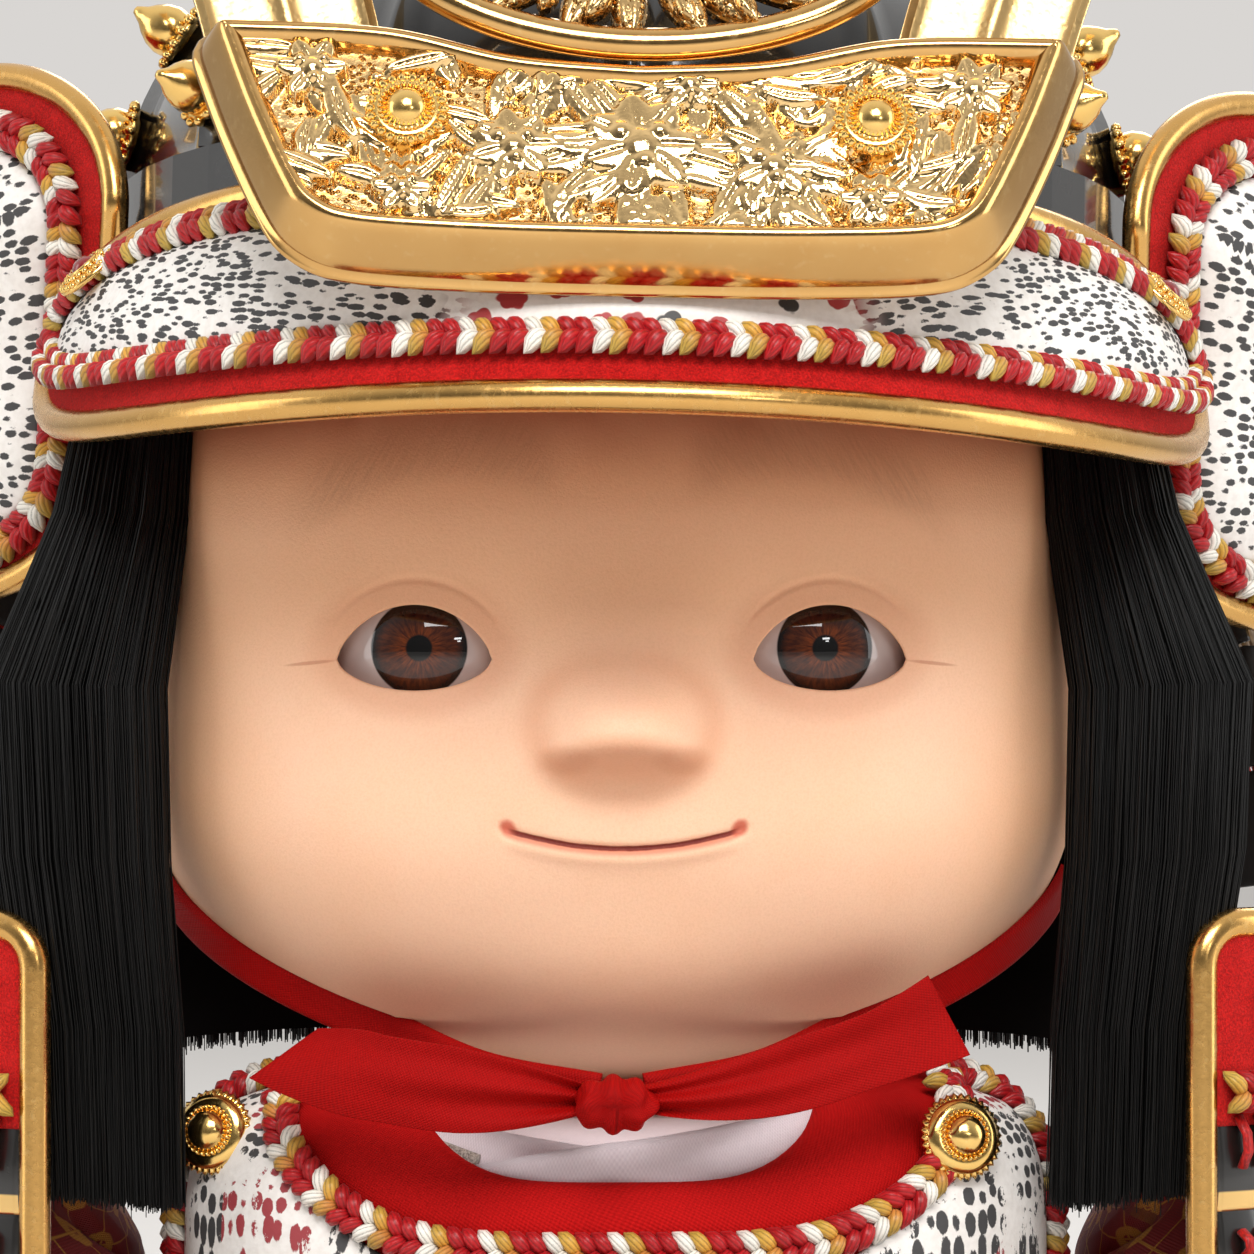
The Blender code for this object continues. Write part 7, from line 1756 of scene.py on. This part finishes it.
# Lower armour. Four lacquered lames laced in red round the body, a white sash, and four short skirt
# panels of three lames each, over the trousers.
waist_lames, waist_lacing = Heap(), Heap()
for k in range(4):
    def waist_spot(turn, drop, offset, k=k):
        level = 0.885 - k * 0.205 - drop / 0.038
        return torso(turn, level, -0.0007 + 0.0004 * k + offset + drop * 0.05)
    curved_plate(waist_lames, waist_spot, (0.0, 2 * math.pi), 0.0086, 0.0009)
    row = circle(76)
    if k < 3:
        top, low = waist_spot(row, 0.0036, 0.0009), waist_spot(row, 0.0106, 0.0013)
        cord_row(waist_lacing, top, low, unit(waist_spot(row, 0.004, 0.011) - waist_spot(row, 0.004, 0.001)),
                 0.0015)
waist_lames.lay("cuirass_lames", lame_coat, ("cuirass",))
waist_lacing.lay("cuirass_lacing", red_silk, slot="cuirass")
turn = circle(180)
path = torso(turn, 0.15, 0.0034)
path[:, 2] = 0.0446
points, faces = run(path, np.tile([0, 0, 1.0], (180, 1)), rod(0.0026, 18, 1.0), True,
                    1 + 0.05 * np.sin(turn * 37) + 0.04 * np.sin(turn * 11))
measure = measured(turn[:, None] * 3.6, np.linspace(0, 1.6, 18)[None])
lay("sash_cloth", points, faces, cotton, ("waist_sash",), cut=measure)
for word, first, last in (("front", -34, 34), ("left", 38, 142), ("back", 146, 214), ("right", 218, 322)):
    panel_lames, panel_lacing = Heap(), Heap()
    for k in range(3):
        def skirt_spot(turn, drop, offset, k=k):
            share = k / 3 + drop / 0.0080
            spot = torso(turn, 0.0, 0.0007 + 0.0110 * share + offset + 0.0007 * k)
            spot[..., 2] = 0.0417 - 0.0080 * share + 0.0007 * k
            return spot
        curved_plate(panel_lames, skirt_spot, np.radians((first, last)), 0.00275, 0.0010)
        if k:
            row = np.radians(np.arange(first + 3, last - 2, 5.6))
            cord_row(panel_lacing, skirt_spot(row, -0.0012, 0.0009), skirt_spot(row, 0.0014, 0.0010),
                     unit(skirt_spot(row, 0, 0.011) - skirt_spot(row, 0, 0.001)), 0.0015)
    panel_lames.lay("skirt_lames_" + word, lame_coat, ("skirt_" + word,))
    panel_lacing.lay("skirt_lacing_" + word, red_silk, slot="skirt_" + word)

# Legs, boots and base. Padded brocade trousers over crossed legs, low boots of short dark fur, and a thin
# wooden board underneath. The parts that the armour hides are plain wood.
FLOOR, SEAT_ROWS, SEAT_SIDES = 0.0033, 30, 96
turn = circle(SEAT_SIDES)
share = np.linspace(0, 1, SEAT_ROWS)[:, None]
grow = -0.0020 * (2 * np.abs(share - 0.45)) ** 3
seat = np.stack(np.broadcast_arrays((0.0338 + grow) * np.cos(turn)[None],
                                    (0.0268 + grow) * np.sin(turn)[None],
                                    FLOOR + share * 0.0336), -1)
measure = measured(turn[None] * 3.1, share * 3.4)
seat_cloth = lay("trouser_seat_cloth", seat.reshape(-1, 3),
                 capped(SEAT_ROWS, SEAT_SIDES), brocade, ("trouser_seat",), cut=measure)
fur = Finish("boot_fur", paint(48, 30, 20), Roughness=0.7, Sheen_Weight=0.15)
fur.show("Base Color",
         fur.mix(fur.noise(0.0022, detail=3).rise(0.3, 0.7), paint(34, 20, 13), paint(76, 50, 32)))
for side, word in SIDES:
    knee = np.array([side * 0.0600, -0.0270, FLOOR + 0.0165 * 0.86])
    ankle = np.array([side * 0.0270, -0.0520, FLOOR + 0.0110 * 0.86])
    hip = np.array([side * 0.0200, -0.0020, FLOOR + 0.0150 * 0.80])
    centres = [hip, (hip + knee) / 2, knee + [-side * 0.006, 0.002, 0], knee + [side * 0.003, -0.006, 0],
               knee * 0.65 + ankle * 0.35 + [0, -0.004, 0], knee * 0.25 + ankle * 0.75, ankle]
    leg = tube("trouser_cloth_" + word, centres, [0.0120, 0.0150, 0.0165, 0.0155, 0.0145, 0.0126, 0.0104],
               brocade,
               ("trouser_leg_" + word,), FLOOR, leg_crease, 80, 54)
    toe = np.array([side * 0.0041, ankle[1] - 0.0075, FLOOR + 0.0095 * 0.80])
    along = unit((ankle - centres[-2])[None])[0]
    heel, bend = ankle + along * 0.0006, ankle + along * 0.0050
    spots = [heel, bend, bend * 0.6 + toe * 0.4, bend * 0.2 + toe * 0.8, toe + [side * 0.0016, 0, 0]]
    core = tube("boot_core_" + word, spots, [0.0080, 0.0095, 0.0091, 0.0077, 0.0046], fur, ("boot_" + word,),
                FLOOR, None, 50, 48)
    mesh = core.data
    places, normals = np.empty(len(mesh.vertices) * 3), np.empty(len(mesh.vertices) * 3)
    mesh.vertices.foreach_get("co", places)
    mesh.vertices.foreach_get("normal", normals)
    places, normals = places.reshape(-1, 3), normals.reshape(-1, 3)
    picked = chance.integers(0, len(places), 1400)
    picked = picked[(places[picked, 2] > FLOOR + 0.0004) & (np.abs(places[picked, 0]) > 0.0012)]
    root = places[picked] + chance.normal(0, 0.00018, (len(picked), 3))
    lean_way = normals[picked] * 0.55 + np.array([0, 0, -0.55]) + chance.normal(0, 0.28, (len(picked), 3))
    lean_way = unit(lean_way) * chance.uniform(0.0010, 0.0019, (len(picked), 1))
    share = np.linspace(0, 1, 3)[None, :, None]
    hairs = root[:, None] - normals[picked][:, None] * 0.0003 + lean_way[:, None] * share
    hairs = hairs + np.array([0, 0, -0.0005]) * share ** 2
    hairs[..., 2] = np.maximum(hairs[..., 2], FLOOR)
    hairs[..., 0] = side * np.maximum(hairs[..., 0] * side, 0.0004)
    points, faces = fibres(hairs, 0.00013, chance)
    lay("boot_pile_" + word, points, faces, fur, slot="boot_" + word)
wood = Finish("pale_wood", paint(202, 164, 116), Roughness=0.5)
x, y, z = wood.axes()
grain = wood.noise(0.0022, wood.at(x * 0.08, y, z), detail=4, rough=0.6)
wood.show("Base Color", wood.mix(grain.rise(0.3, 0.7), paint(214, 178, 130), paint(172, 128, 82)))
wood.relief(grain, 0.00005, 0.5)
wear("base_board", wood)
wear("torso_core", wood)

# Back knot. A twisted red silk cord is tied in three ears round a covered ball and hangs on the back
# plate; its two ends finish in fringed tassels.
turn = circle(300)
reach = 0.0052 + 0.0082 * np.abs(np.sin(1.5 * turn)) ** 0.7
centre = np.array([0, float(torso(math.pi, 1.0, 0.0)[1]) + 0.0027, 0.076])
path = centre + np.stack([reach * np.sin(turn), 0.0004 * np.sin(turn * 6), reach * np.cos(turn)], 1)
for _ in range(6):
    path = (np.roll(path, 1, 0) + 2 * path + np.roll(path, -1, 0)) / 4
ply = circle(300) * 30
points, faces = run(path, np.tile([0, 1.0, 0], (300, 1)), rod(0.0018, 14), True, 1 + 0.06 * np.sin(ply))
lay("back_knot_cord", points, faces, red_silk, ("back_knot",))
tassels = Heap()
points, faces = ball(20, 28)
tassels.add(points * [0.0036, 0.0024, 0.0034] + centre, faces)
for side in (-1, 1):
    foot = centre + [side * 0.0060, 0, -0.0095]
    rings = turned([(0, 0), (.0016, 0), (.0019, -.0010), (.0021, -.0030), (.0024, -.0034), (.0024, -.0048),
                    (.0021, -.0052), (.0025, -.0090), (.0029, -.0150), (.0030, -.0160), (0, -.0161)][::-1], 36)
    tassels.add(rings[0] + foot, rings[1])
    picks = circle(30)
    for a in picks:
        fringe = ((.0021, -.0050), (.0026, -.0095), (.0031, -.0164))
        strand = np.array([[math.cos(a) * r, math.sin(a) * r, h] for r, h in fringe])
        bar = run(smooth(strand + foot, 5), [math.cos(a), math.sin(a), 0.0], rod(0.00022, 5))
        tassels.add(bar[0], bar[1])
tassels.lay("back_knot_tassels", red_silk, slot="back_knot")

# Studio floor. A plain pale floor under the base board for the shadow. It is part of the studio and not
# of the doll.
floor = Finish("studio_floor", WALL_GREY, Roughness=0.8)
floor.show("Base Color", floor.mix(floor.noise(0.05, detail=2) * 0.04, WALL_GREY, (0.62, 0.60, 0.58)))
mesh = bpy.data.meshes.new("floor")
mesh.from_pydata([(-4, -4, -0.0002), (4, -4, -0.0002), (4, 4, -0.0002), (-4, 4, -0.0002)], [], [(0, 1, 2, 3)])
mesh.materials.append(floor.material)
ground = bpy.data.objects.new("floor", mesh)
scene.collection.objects.link(ground)
